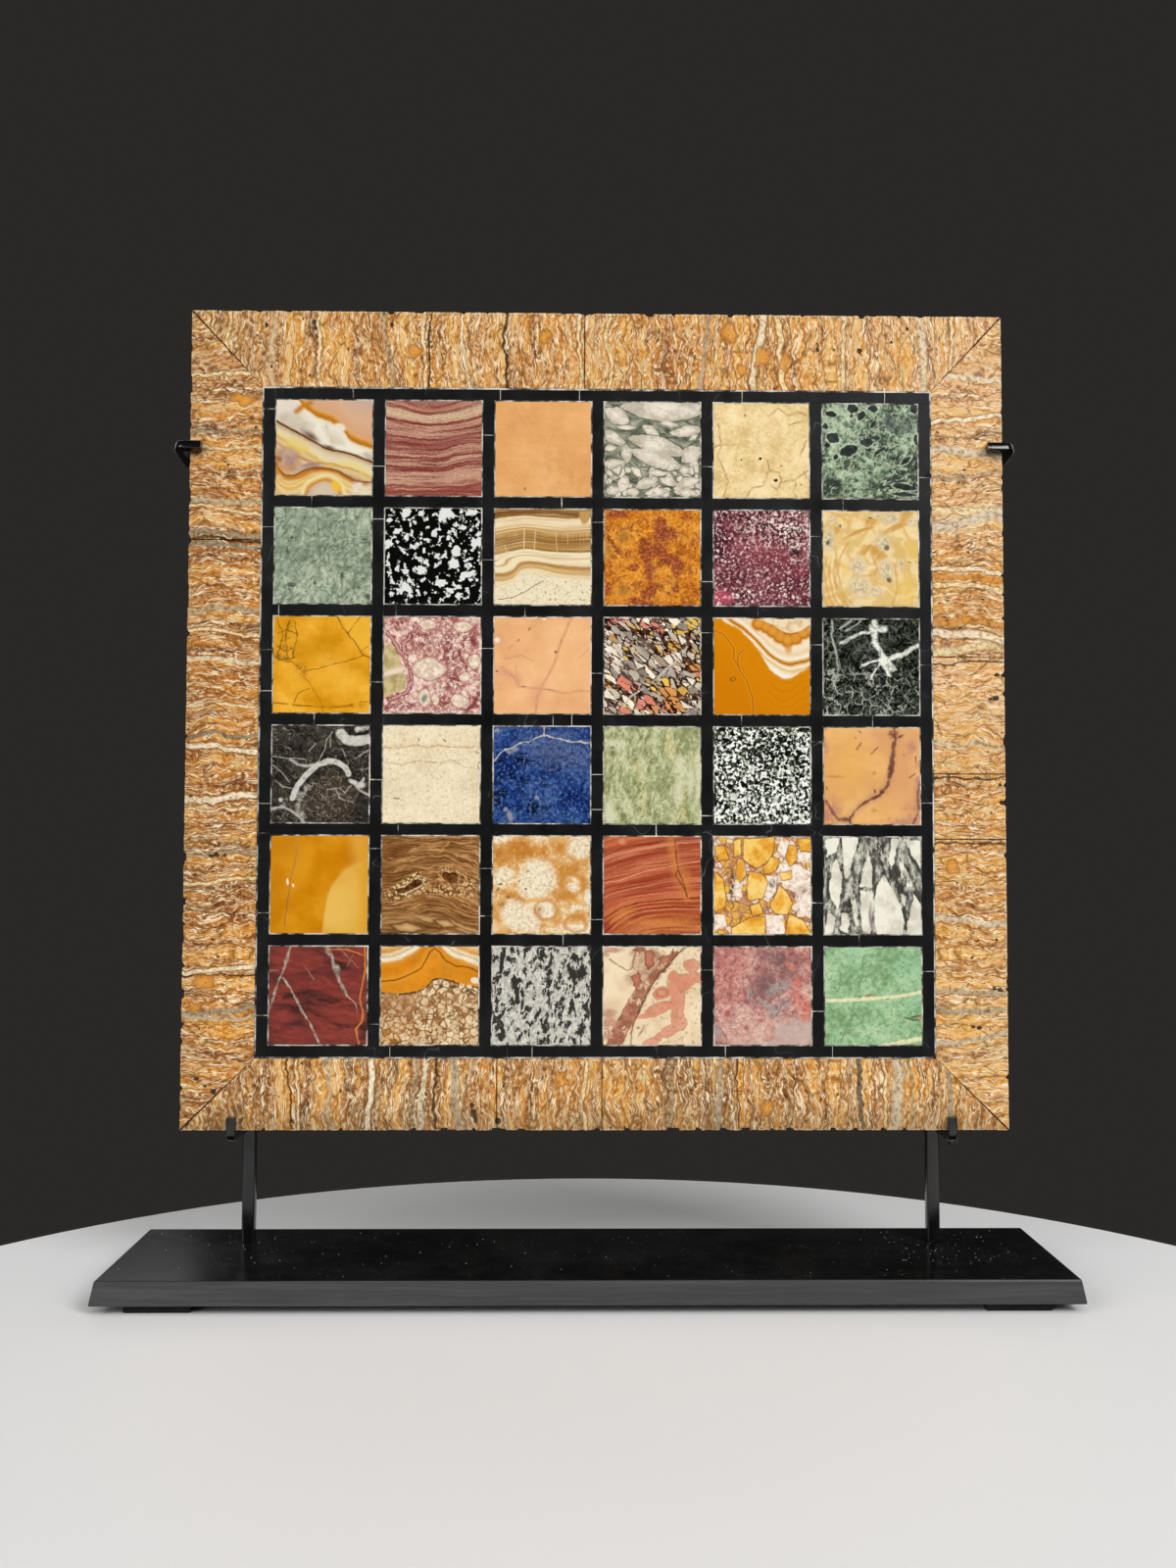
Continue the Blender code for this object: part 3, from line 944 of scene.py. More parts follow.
# %% A ring of plaster, repeated by Geometry Nodes
def plaster_rings(finish):
    g = Growth("plaster rings", finish, Columns="Int", Rows="Int", Column_pitch="Float",
               Row_pitch="Float", Ring_width="Float", Ring_height="Float", Thickness="Float",
               Depth="Float")

    def length(count, pitch):
        """How long a row of points is: one pitch less than it has points."""
        gaps = g.add("ShaderNodeMath", {0: g.given[count], 1: 1.0}, operation="SUBTRACT")
        return g.add("ShaderNodeMath", {0: gaps, 1: g.given[pitch]}, operation="MULTIPLY")

    grid = g.add("GeometryNodeMeshGrid", {
        "Size X": length("Columns", "Column pitch"), "Size Y": length("Rows", "Row pitch"),
        "Vertices X": g.given["Columns"], "Vertices Y": g.given["Rows"]})
    points = g.add("GeometryNodeMeshToPoints", {"Mesh": grid})
    outline = g.add("GeometryNodeCurvePrimitiveQuadrilateral", {
        "Width": g.given["Ring width"], "Height": g.given["Ring height"]})
    mitred = g.add("ShaderNodeMath", {0: g.given["Thickness"], 1: math.sqrt(2)},
                   operation="MULTIPLY")
    section = g.add("GeometryNodeCurvePrimitiveQuadrilateral", {
        "Width": mitred, "Height": g.given["Depth"]})
    ring = g.add("GeometryNodeCurveToMesh", {"Curve": outline, "Profile Curve": section})
    placed = g.add("GeometryNodeInstanceOnPoints", {"Points": points, "Instance": ring})
    return g.close(g.add("GeometryNodeTransform", {
        "Geometry": placed, "Rotation": (math.pi / 2, 0.0, 0.0)}))


def place_rings(growth, middle, **values):
    """The tree's rings as a plain mesh round a middle."""
    mesh = growth.grow(**values)
    for vertex in mesh.vertices:
        vertex.co += Vector(middle)
    return mesh


rings = plaster_rings(plaster_finish)
print("tree:", rings.tree.name, "takes", ", ".join(rings.labels))

# %% Lay the plaster
PLASTER_DROP = 0.00007  # the plaster lies a hair below the stones
DEPTH = BED - FACE - PLASTER_DROP
LAP = 0.0002  # how far the plaster reaches under its neighbours
middle_y = FACE + PLASTER_DROP + DEPTH / 2
pitch_x = (left_of[-1] - left_of[0]) / (COLUMNS - 1)
pitch_z = (top_of[0] - top_of[-1]) / (ROWS - 1)
centre = ((left_of[0] + right_of[-1]) / 2, middle_y, (top_of[0] + bottom_of[-1]) / 2)
plaster = [
    place_rings(rings, centre, Columns=COLUMNS, Rows=ROWS, Column_pitch=pitch_x,
                Row_pitch=pitch_z, Ring_width=TILE + JOINT, Ring_height=TILE + JOINT,
                Thickness=JOINT + LAP, Depth=DEPTH),
    place_rings(rings, centre, Columns=1, Rows=1, Column_pitch=0.0, Row_pitch=0.0,
                Ring_width=high_x - low_x + JOINT, Ring_height=high_z - low_z + JOINT,
                Thickness=JOINT + LAP, Depth=DEPTH),
]
SLIP = 0.0004  # the thin slip of plaster in each butt joint of the lattice
for low, high, at, upright in butt_joints:
    wide, tall = high[0] - low[0] - LAP, high[1] - low[1] - LAP
    size = (wide, DEPTH, SLIP) if upright else (SLIP, DEPTH, tall)
    place = ((low[0] + high[0]) / 2, middle_y, at) if upright else (
        at, middle_y, (low[1] + high[1]) / 2)
    bm = bmesh.new()
    bmesh.ops.create_cube(bm, size=1.0)
    bmesh.ops.scale(bm, vec=size, verts=bm.verts)
    bmesh.ops.translate(bm, vec=place, verts=bm.verts)
    slip = bpy.data.meshes.new("slip")
    bm.to_mesh(slip)
    bm.free()
    plaster.append(slip)
plaster_piece = show("white plaster joints", join_meshes("white plaster joints", plaster),
                     plaster_finish, [])
print("plaster faces:", len(plaster_piece.data.polygons))

# %% [markdown]
# ## The travertine frame
# Travertine is laid down by springs in thin wavy sheets of lime, stained golden by iron. The
# mason cut the frame so that the sheets run across each rail. We paint a rail in the same
# order: a run of ground colours along its length, streaks that follow the sheets, curdled
# crystals between them, and then the few veins, cracks and amber knots that give each rail its
# own face. Distances in these lists are millimetres from the rail's upper or left end.

# %% The marks of each rail
MILLIMETRE, CENTIMETRE = 0.001, 0.01
MM = MILLIMETRE / CENTIMETRE  # a millimetre in the unit that a rail is painted in
RAIL_WIDTH = 24.6  # millimetres
RAIL_OUTER_DARKENING = {"bottom": 0.35, "left": 0.15}  # how much darker the bottom and left rails are towards their outer edge
# painted light: the rails' tones are raised or lowered for the light from the upper right
RAIL_PAINTED_LIGHT = {"top": 0.010, "bottom": -0.002, "left": -0.010, "right": 0.024}
PALE, WHITE, GREY, DARK, AMBER = "FAE0AE", "FCEED2", "B29E7C", "4A2E14", "D88C2C"
HONEY, GOLD, TAWNY, SAND = "DCA25E", "E8AC58", "C88E50", "E4B884"
BUFF, UMBER, BLUSH = "CEA270", "AA8862", "F0C498"
RAIL_GROUNDS = {
    "top": ((0, UMBER), (25, BUFF), (52, HONEY), (75, TAWNY), (84, GOLD), (100, SAND), (130, HONEY),
        (150, SAND), (172, TAWNY), (198, GOLD), (224, GOLD), (250, SAND), (280, BLUSH),
        (300, BLUSH)),
    "bottom": ((0, UMBER), (40, BUFF), (78, UMBER), (100, BUFF), (125, BUFF), (160, BUFF),
        (190, UMBER), (216, BUFF), (240, BUFF), (262, SAND), (280, BUFF), (300, SAND)),
    "left": ((0, BUFF), (16, SAND), (35, BUFF), (62, HONEY), (85, TAWNY), (104, HONEY),
        (130, TAWNY), (160, TAWNY), (185, HONEY), (202, UMBER), (225, TAWNY), (250, HONEY),
        (275, TAWNY), (300, UMBER)),
    "right": ((0, SAND), (30, BLUSH), (60, SAND), (76, BLUSH), (96, GOLD), (112, TAWNY),
        (120, BLUSH), (150, BLUSH), (180, HONEY), (210, HONEY), (240, TAWNY), (255, SAND),
        (280, SAND), (300, BUFF)),
}
# (place, width, lean, colour): lean is how far the vein has drifted at the rail's other edge
RAIL_VEINS = {
    "top": ((13, 1.0, 1, PALE), (30, 3.0, 0, "DCBC90"), (47, 1.1, 0, PALE), (73, 2.2, -1, GREY),
        (86, 1.0, 1, PALE), (87.3, 0.7, 2, DARK), (101, 0.8, -1, WHITE), (115.5, 0.9, 0, DARK),
        (143.5, 1.0, 0, PALE), (155, 1.1, -1, PALE), (188, 1.8, 3, "C4A888"), (208, 2.2, 3, WHITE),
        (219, 1.8, -3, PALE), (240.6, 1.2, 0, PALE), (270, 2.6, 0, "EBDCBC"), (280, 1.2, 2, PALE)),
    "bottom": ((38.5, 0.7, 2, DARK), (42, 0.8, 1, PALE), (53, 1.2, 1, "C8B494"),
        (68, 1.9, 1, WHITE), (85, 1.6, 0, GREY), (87.8, 1.6, 0, "E4D8BC"), (91.5, 0.8, 1, DARK),
        (98, 3.0, 3, "B8AA92"), (103.5, 1.2, -1, GREY), (146, 1.0, 0, PALE), (177, 2.2, 0, GREY),
        (195, 2.2, -1, "B4A690"), (201, 0.6, 1, DARK), (245, 1.8, 1, "6E6250"), (254, 0.9, 0, PALE),
        (259, 4.2, -1, "D8CCB2"), (263, 1.6, 2, GREY), (277, 2.0, 2, "B0A08A")),
    "left": ((24, 1.2, 0, PALE), (45, 1.3, 1, GREY), (51, 1.0, 1, PALE), (70.6, 1.8, 2, "C8B694"),
        (75, 0.9, -1, PALE), (84, 2.2, 0, "A09276"), (86, 1.0, 0, DARK), (88, 1.6, 0, "A09276"),
        (111, 2.0, 1, "BCA884"), (120, 1.0, -2, PALE), (130, 1.6, -1, "EBDCBC"),
        (146.5, 1.0, 0, PALE), (158, 1.6, 0, "948870"), (164, 1.6, -3, WHITE), (179, 2.0, 2, WHITE),
        (184, 0.8, 0, PALE), (200, 2.0, 1, GREY), (210, 1.1, 1, PALE), (241, 1.4, 2, WHITE),
        (244, 0.7, 0, DARK), (255, 2.4, 3, "A89A80"), (259, 1.5, 0, "C0B094")),
    "right": ((23, 1.8, 1, "EBDCC0"), (40, 1.3, -3, WHITE), (50, 3.0, 2, "DCD0BA"),
        (60, 1.5, -1, GREY), (72, 1.6, 2, "F0E2B4"), (78.5, 4.6, -3, "DDD2BC"), (97, 2.4, 3, AMBER),
        (100, 1.2, 3, PALE), (94, 1.4, 3, WHITE), (113.5, 3.0, 2, "CE8A30"), (117.5, 2.4, 3, WHITE),
        (124.5, 2.6, -1, "F0DFB0"), (129, 0.6, 0, DARK), (160, 2.2, 1, "DCC8A4"),
        (172.5, 0.8, 0, "5E482C"), (196, 0.8, 0, "5E482C"), (224, 2.0, 1, "DCCCB0"),
        (249, 1.8, 1, "C0AC8C"), (256, 2.2, 0, "B4A68C"), (268, 1.8, -3, "C8B69A")),
}
# amber knots: (place along, place across from the outer edge, half width, half height)
RAIL_KNOTS = {
    "top": ((82, 15, 2.6, 3.0), (130, 9, 2.0, 3.0), (199, 7, 2.6, 4.5), (203.5, 21, 2.4, 2.2),
        (211, 16, 2.6, 4.0), (219, 18, 2.2, 4.0)),
    "bottom": ((212, 8, 2.6, 3.0), (137, 18, 1.8, 3.0)),
    "left": ((33.5, 19, 2.0, 5.0), (247, 8, 2.6, 4.0), (255.5, 5, 2.0, 2.4)),
    "right": ((205, 20, 3.0, 2.6), (113.5, 14, 1.8, 2.0), (98, 6, 1.6, 3.0)),
}
# open pits: (place along, place across, radius)
RAIL_PITS = {
    "top": ((45, 4.5, 0.9), (45.6, 6.6, 0.6), (27.5, 5.6, 0.7), (73.8, 5, 0.7), (29.5, 21, 0.5),
        (247, 13.5, 0.9), (231.5, 13, 0.7), (265, 5, 0.5), (259, 10, 0.5)),
    "bottom": ((105.6, 6, 1.3), (106.4, 4, 0.9), (105, 9, 0.7), (114.6, 3.5, 1.1), (40.5, 3.5, 0.6),
        (2.6, 3, 0.9), (5, 10, 0.7)),
    "left": ((200.8, 12, 0.8), (201.4, 10, 0.7), (201, 15, 0.6), (179.5, 2.4, 0.6), (286, 12, 0.9),
        (284, 9, 0.6), (281.5, 6, 0.7), (297, 4, 1.0)),
    "right": ((142.6, 3.4, 1.0), (143, 5.4, 0.7), (249.3, 2.8, 0.8), (248.8, 5, 0.6),
        (263, 10.5, 0.8), (262.7, 13, 0.6), (134, 3, 0.7), (174.6, 2, 0.6), (181, 1.6, 0.8),
        (106, 8, 0.4), (231, 4, 0.5)),
}
# bites out of the outer edge: (place along, radius)
RAIL_NOTCHES = {
    "top": ((73.3, 1.1), (36, 0.5), (100, 0.6), (116, 0.5), (145.3, 0.7), (169, 1.5), (178, 0.6),
        (199, 0.9), (206, 0.5), (226, 0.5), (248, 1.2), (262, 0.5)),
    "bottom": ((95, 0.8), (106, 0.6), (114, 1.2), (150, 0.6), (161, 0.8), (178, 2.2), (187, 0.9),
        (196, 1.2), (204, 1.4), (214, 0.6), (220, 1.3), (236, 0.9), (244, 0.7), (254, 0.9),
        (262, 0.6), (30, 0.6), (58, 0.5), (84, 0.7)),
    "left": ((202, 1.2), (218, 1.3), (226, 0.7), (241, 0.8), (251, 1.6), (262, 0.9), (268, 0.6),
        (30, 0.6), (85.7, 0.7), (120, 0.6), (158, 0.6), (285, 0.8)),
    "right": ((60, 0.5), (97, 0.8), (104, 0.6), (113, 0.7), (134, 0.7), (141, 0.6), (174.5, 0.7),
        (181, 1.0), (200, 0.6), (249, 0.6), (281, 0.9)),
}
print("rails:", ", ".join(RAIL_GROUNDS))

# %% The veins, knots and pits of a rail
def rail_veins(p, side, bent, t, curd, fine):
    """Lays each vein across the rail, drifting a little, with a dark line beside a pale one."""
    ragged = (curd - 0.5) * 0.5 + (fine - 0.5) * 0.3
    veined = None
    for place, width, lean, code in RAIL_VEINS[side]:
        half = width / 2 * MM
        middle = (place + lean / 2) * MM
        off = (bent + t * (lean / RAIL_WIDTH) - middle - lean / 2 * MM).abs()
        off = off + ragged * half * 2.2
        mask = off.step(half * 1.2, half * 0.7)
        veined = veined.most(mask) if veined else mask
        p.lay(code, mask * (0.6 if code == GREY else 0.78 if width > 2 else 0.92))
        if code in (WHITE, PALE):
            p.lay("6E4820", (off - half * 1.5).abs().step(half * 0.5, 0.0) * 0.75)
    cloudy = p.ramp(curd * 0.6 + fine * 0.4, "40 A08C6C, 47 E0D2B8, 53 FFFFFF")
    p.tint(p.blend("FFFFFF", cloudy, veined * 0.8))


def rail_knots(p, side, at, fine):
    """Lays the amber knots."""
    for place, across, half_s, half_t in RAIL_KNOTS[side]:
        knot = p.oval((place * MM, across * MM), (half_s * MM, half_t * MM), 0, at)
        knot = knot + (fine - 0.5) * 0.8
        p.lay(p.ramp(knot, "30 E39C34, 75 CE8226, 95 8E5A20, 110 C08A40"),
                knot.step(1.3, 0.9) * 0.8)


def rail_pits(p, side, pits, lay, curd):
    """Adds the open pits to the small ones, darkens them all with painted shade and gives their
    mask.
    """
    for place, across, radius in RAIL_PITS[side]:
        size = radius * MM
        pit = p.oval((place * MM, across * MM), (size, size * 1.3), 0, lay)
        pits = pits.most((pit + (curd - 0.5) * 1.5).step(1.1, 0.8))
    # painted shade inside the pits
    p.lay("1E160C", pits * 0.9)
    return pits


print("marks:", {side: len(RAIL_VEINS[side]) + len(RAIL_PITS[side]) for side in RAIL_VEINS})

# %% Banded travertine
def banded_travertine(side, seed):
    """The finish of one rail. s runs along it and t inwards from its outer edge, both in
    centimetres, so that every rail is painted as if it lay level."""
    p = Paint("banded travertine " + side, (tablet_left, FACE, tablet_top), CENTIMETRE, seed)
    inwards = {"top": p.v, "bottom": 30.0 - p.v, "left": p.u, "right": 30.0 - p.u}
    s, t = (p.u if side in ("top", "bottom") else p.v), inwards[side]
    lay = p.join(s, t)
    swing = p.noise(0.35, 3, 0.5, at=p.stretch(lay, 0.6, 1.6)) - 0.5
    quiver = p.noise(2.2, 3, 0.55, at=p.stretch(lay, 0.6, 1.0)) - 0.5
    bent = s + swing * 0.8 + quiver * 0.28
    sheets = p.join(bent, t)
    broad = p.noise(0.9, 4, 0.6, at=p.stretch(sheets, 2.6, 0.30))
    fine = p.noise(1.0, 4, 0.75, at=p.stretch(sheets, 5.5, 1.5))
    curd = p.noise(6.0, 3, 0.6, at=p.stretch(sheets, 1.2, 1.0))
    drift = (p.noise(0.3, 2, 0.5, at=p.shift(lay, (7.0, 0.0, 3.0))) - 0.5) * 1.2
    p.colour = p.ramp(bent + drift, [(place * MM, code) for place, code in RAIL_GROUNDS[side]])
    lenses = p.stretch(p.warp(sheets, 2.5, 0.14), 2.6, 0.75)
    _, chance, tint = p.cells(1.0, at=lenses)
    rim = p.cells(1.0, at=lenses, feature="DISTANCE_TO_EDGE")
    p.lay(p.ramp(chance, "0 8C5A24, 30 C0823A, 60 E0A654, 100 F4D29A"),
            tint.step(0.35, 0.8) * broad.step(0.40, 0.52) * 0.30)
    p.lay("E29E36", broad.step(0.49, 0.57) * 0.75)
    p.lay("C6A084", broad.step(0.45, 0.37) * 0.6)
    # painted light: each rail's tone is raised or lowered for the light falling on it
    tone = broad * 0.38 + fine * 0.24 + curd * 0.38 + RAIL_PAINTED_LIGHT[side]
    p.tint(p.ramp(tone, "40 7E5328, 46 DCBE90, 50 FCF0D8, 55 FFFFFA"))
    p.lay("F4CC86", tone.step(0.51, 0.57) * 0.6)
    rusty = p.noise(0.8, 3, 0.6, at=p.stretch(p.shift(sheets, (3.0, 0.0, 9.0)), 2.0, 0.35))
    p.lay("CC7F20", rusty.step(0.50, 0.62) * fine.step(0.60, 0.44) * 0.40)
    p.lay("97805C", rusty.step(0.45, 0.36) * 0.25)
    p.lay("5E3A18", rim.step(0.055, 0.0) * curd.step(0.36, 0.50) * 0.75)
    p.lay("F8E2B8", (rim - 0.10).abs().step(0.045, 0.0) * curd.step(0.48, 0.56) * 0.65)
    strand = p.noise(1.0, 2, 0.5, at=p.stretch(p.shift(sheets, (5.0, 0.0, 2.0)), 2.2, 0.22))
    lap = (strand * 9.0).math("PINGPONG", 0.5)
    p.lay("FAE6C0", (lap - 0.13).abs().step(0.09, 0.02) * fine.step(0.45, 0.53) * 0.95)
    p.lay("5A3716", lap.step(0.07, 0.01) * curd.step(0.40, 0.52) * 0.85)
    p.lay("8A5A22", (lap - 0.40).abs().step(0.06, 0.01) * fine.step(0.55, 0.46) * 0.45)
    rail_veins(p, side, bent, t, curd, fine)
    rail_knots(p, side, p.join(s + quiver * 0.9, t + (curd - 0.5) * 0.4), fine)
    pits = p.noise(5, 3, 0.6, at=p.stretch(p.shift(sheets, (1, 0, 7)), 1.5, 0.8))
    pits = rail_pits(p, side, pits.step(0.66, 0.71), lay, curd)
    if side in RAIL_OUTER_DARKENING:
        p.lay("5E4A30", t.step(1.4, 0.0) * RAIL_OUTER_DARKENING[side])
    p.lay("F0DAB2", t.step(0.07, 0.03) * fine.step(0.44, 0.52) * (0.2 if side == "left" else 0.7))
    return p.finish(fine * 0.3 + 0.30, tone * 0.6 - pits, 0.0003)


print("a rail is", RAIL_WIDTH, "mm wide")

# %% Cut and lay the rails
tablet_left, tablet_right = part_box("left_rail_1")[0][0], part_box("right_rail_1")[1][0]
tablet_top, tablet_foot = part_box("top_rail_1")[1][2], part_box("bottom_rail_1")[0][2]
inner = {"left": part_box("left_rail_1")[1][0], "right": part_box("right_rail_1")[0][0],
        "top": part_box("top_rail_1")[0][2], "bottom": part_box("bottom_rail_1")[1][2]}
RAIL_STEP = 0.0008
PIT_DEPTH = 0.0009
WAVINESS = 0.00003


def rail_place(side, along, across):
    """The (x, z) on the face of a point given in millimetres along a rail and in from its edge."""
    along, across = along * MILLIMETRE, across * MILLIMETRE
    return {"top": (tablet_left + along, tablet_top - across),
            "bottom": (tablet_left + along, tablet_foot + across),
            "left": (tablet_left + across, tablet_top - along),
            "right": (tablet_right - across, tablet_top - along)}[side]


def rail_relief(side):
    """Depth below the polished face: the open pits and a very slight waviness."""
    pits = [(*rail_place(side, along, across), radius * MILLIMETRE)
            for along, across, radius in RAIL_PITS[side]]

    def depth(x, z):
        low = WAVINESS * (1 + unevenness(x, z, 0.004, 31))
        for pit_x, pit_z, radius in pits:
            reach = np.hypot(x - pit_x, z - pit_z) / radius
            low = low + PIT_DEPTH * np.clip(1.1 - reach, 0, 0.6)
        return low
    return depth


def rail_corners(side, low, high, first, last):
    """The face corners of one length of rail; its first and last lengths end in a mitre."""
    x0, x1, z0, z1 = low[0], high[0], low[2], high[2]
    if side in ("top", "bottom"):
        start = inner["left"] if first else x0
        stop = inner["right"] if last else x1
        if side == "top":
            return (start, z0), (stop, z0), (x1, z1), (x0, z1)
        return (x0, z0), (x1, z0), (stop, z1), (start, z1)
    start = inner["top"] if first else z1
    stop = inner["bottom"] if last else z0
    if side == "left":
        return (x0, z0), (x1, stop), (x1, start), (x0, z1)
    return (x0, stop), (x1, z0), (x1, z1), (x0, start)


print("inner edges:", {side: round(edge, 4) for side, edge in inner.items()})

# %% Lay the rails
# how much the lower, right, upper and left edges of each rail are eaten
EATEN = {"top": (0.4, 0.4, 2.2, 0.4), "bottom": (3.2, 0.4, 0.4, 0.4), "left": (0.4, 0.4, 0.4, 2.4),
        "right": (0.4, 2.0, 0.4, 0.4)}
for number, side in enumerate(RAIL_GROUNDS):
    finish = banded_travertine(side, 11 + number)
    lengths = sorted(name for name in frame["nodes"] if name.startswith(side + "_rail_"))
    notches = [(*rail_place(side, along, 0), radius * MILLIMETRE)
               for along, radius in RAIL_NOTCHES[side]]
    for count, name in enumerate(lengths):
        low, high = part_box(name)
        corners = rail_corners(side, low, high, count == 0, count == len(lengths) - 1)
        mesh = stone_block(name, corners, low[1], high[1], RAIL_STEP, edge=0.00012, chips=0.0005,
                seed=40 + 7 * number + count, relief=rail_relief(side), outer=EATEN[side],
                notches=notches)
        show(name + "_travertine", mesh, finish, [name])
    print(side, "rail:", len(lengths), "lengths")

# %% [markdown]
# ## The slab that carries the mosaic
# Behind the thin stones lies one plain grey slab. Nobody polishes a back, so it keeps the
# shallow curved tracks of the saw, some lime bloom and a few chips along its edge. The tracks
# are arcs of a great circle round a far centre, pressed into the mesh as well as painted.

# %% Backing slab
slab_low, slab_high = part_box("backing_slab")
SAW_CENTRE = (0.55, -0.30)
SAW_PITCH = 0.0065
DECIMETRE = 0.1
SLAB_STEP = 0.0016
TRACK_DEPTH, SLAB_WAVINESS = 0.00006, 0.00005


def saw_tracks(x, z):
    """Depth of the saw's tracks at places on the back."""
    radius = np.hypot(x - SAW_CENTRE[0], z - SAW_CENTRE[1])
    ripple = 0.5 + 0.5 * np.sin(radius / SAW_PITCH * 2 * math.pi)
    return TRACK_DEPTH * ripple + SLAB_WAVINESS * (1 + unevenness(x, z, 0.03, 71))


def sawn_grey_stone():
    p = Paint("sawn grey stone", (slab_low[0], 0, slab_high[2]), DECIMETRE, 9)
    cloud = p.noise(0.9, 5, 0.6)
    grit = p.noise(30, 4, 0.7)
    p.colour = p.ramp(cloud * 0.6 + grit * 0.4, "36 6F6A60, 47 8E897E, 54 A39E92, 64 BDB8AB")
    centre = ((SAW_CENTRE[0] - slab_low[0]) / DECIMETRE, 0,
              (slab_high[2] - SAW_CENTRE[1]) / DECIMETRE)
    away = p.vector("DISTANCE", p.warp(p.place, 1, 0.02), centre, output=1)
    turns = 2 * math.pi * DECIMETRE / SAW_PITCH
    tracks = (away * turns).sine()
    fine_tracks = (away * (turns * 4.3)).sine()
    p.lay("77726A", tracks.step(0.2, 1) * 0.35)
    p.lay("C6C1B4", fine_tracks.step(0.5, 1) * grit.step(0.45, 0.6) * 0.35)
    bloom = p.noise(1.7, 5, 0.7, at=p.shift(p.grain, (4, 1, 2)))
    p.lay("CFCBC0", bloom.step(0.55, 0.68) * 0.7)
    rust = p.patch("62,220 30,16 20; 230,70 22,40; 150,275 50,10", p.warp(p.place, 2, 0.4), 0.6)
    p.lay("8A7252", rust * cloud.step(0.42, 0.58) * 0.6)
    return p.finish(0.82, tracks * 0.3 + fine_tracks * 0.15 + grit, 0.00012)


slab_mesh = stone_block(
    "backing slab", square(slab_low[0], slab_low[2], slab_high[0], slab_high[2]), slab_high[1],
    slab_low[1], SLAB_STEP, edge=0.0003, chips=0.0016, seed=77, relief=saw_tracks, arris=0.0006)
show("backing_slab_stone", slab_mesh, sawn_grey_stone(), ["backing_slab"])
print("slab:", len(slab_mesh.polygons), "faces")

# %% [markdown]
# ## The stand
# The base is a heavy flat bar and the pads under it are rubber; their construction shapes are
# right, so they only get a finish. Each upright is a square post with a hook and an arm of
# thinner bar welded on. A bar that follows a bent line is a sweep: Geometry Nodes round the
# corners of the line and carry a square with softened corners along it. A weld is a row of
# little molten beads, so a second tree repeats beads along a short line.

# %% Black paint and rubber
def black_paint(name, dust, size=0.05, seed=21, front_sheen_before=None, **shine):
    """Satin black stove paint: a slight orange-peel, worn spots, dust and hair scratches.
    In front of the given depth it is a lighter, streaked grey: painted sheen on the front face."""
    p = Paint(name, (0, 0, 0), size, seed)
    cloud = p.noise(1.2, 4, 0.6)
    peel = p.noise(70, 2, 0.5)
    p.colour = p.ramp(cloud, "40 070708, 50 0B0B0C, 60 121213")
    scratch = p.noise(1.6, 2, 0.4, at=p.stretch(p.warp(p.grain, 2, 0.3), 1, 5, 62)) - 0.5
    marks = scratch.abs().step(0.0025, 0) * p.noise(2, 2).step(0.50, 0.60)
    p.lay("4A4A49", marks * 0.6 * dust)
    specks = p.noise(46, 2, 0.6).step(0.70, 0.75) * cloud.step(0.40, 0.60)
    p.lay("8A8880", specks * 0.8 * dust)
    film = p.noise(4, 5, 0.7).step(0.46, 0.66)
    p.lay("242321", film * 0.25 * dust)
    # painted sheen: the front face gets a lighter, streaked grey for the light it catches
    if front_sheen_before is not None:
        depth = p.parts(p.place)[1]
        front_sheen = depth.step(front_sheen_before / size, (front_sheen_before - 0.0004) / size)
        streaks = p.noise(1, 5, 0.75, at=p.stretch(p.warp(p.grain, 1, 0.1), 0.6, 24))
        p.lay(p.ramp(streaks, "40 424243, 50 474748, 60 4E4E4F"), front_sheen * 0.95)
    return p.finish(cloud * 0.10 + film * 0.06 + 0.10, peel * 0.4 + specks, 0.00004, **shine)


def black_rubber():
    p = Paint("black rubber", (0, 0, 0), 0.02, 23)
    grit = p.noise(40, 3, 0.7)
    p.colour = p.ramp(grit + p.noise(3, 3) * 0.3, "50 0D0D0D, 65 191918, 85 2A2927")
    return p.finish(0.85, grit, 0.0001)


base_low, base_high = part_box("base_plate")
shoulder = min(corner.co.y for corner in bpy.data.objects["base_plate"].data.vertices
               if corner.co.z > base_high[2] - 0.0001)
base_finish = black_paint("satin black base", 1.0, front_sheen_before=shoulder, IOR=1.32)
bar_finish = black_paint("satin black bars", 0.5, 0.03, 22, Specular_IOR_Level=0.6)
rubber_finish = black_rubber()
for name in frame["nodes"]:
    if name == "base_plate" or name.endswith("_pad"):
        for slot in bpy.data.objects[name].material_slots:
            slot.link = "OBJECT"
            slot.material = base_finish if name == "base_plate" else rubber_finish
print("base top at", round(base_high[2] * 1000, 1), "mm")

# %% Bars swept along bent lines
POST_SIDE = 0.0046
BAR_SIDE = 0.0032
BAR_BEND = 0.0022
BAR_EDGE = 0.0005  # the rounding of a bar's long edges
HAIR = 0.00002  # pieces stay this much inside the construction's box
MERGE = 0.000005  # points nearer than this become one


def square_bar(finish):
    g = Growth("bent square bar", finish, Side="Float", Bend="Float", Edge="Float")

    def filleted(curve, radius, count):
        return g.add("GeometryNodeFilletCurve", {
            "Curve": curve, "Radius": g.given[radius], "Count": count}, mode="POLY")

    line = g.add("GeometryNodeMeshToCurve", {0: g.given["Geometry"]})
    square_curve = g.add("GeometryNodeCurvePrimitiveQuadrilateral", {
        "Width": g.given["Side"], "Height": g.given["Side"]})
    upright = g.add("GeometryNodeSetCurveNormal", {0: filleted(line, "Bend", 6)},
                    mode="MINIMUM_TWIST")
    return g.close(g.add("GeometryNodeCurveToMesh", {
        "Curve": upright, "Profile Curve": filleted(square_curve, "Edge", 3), "Fill Caps": True}))


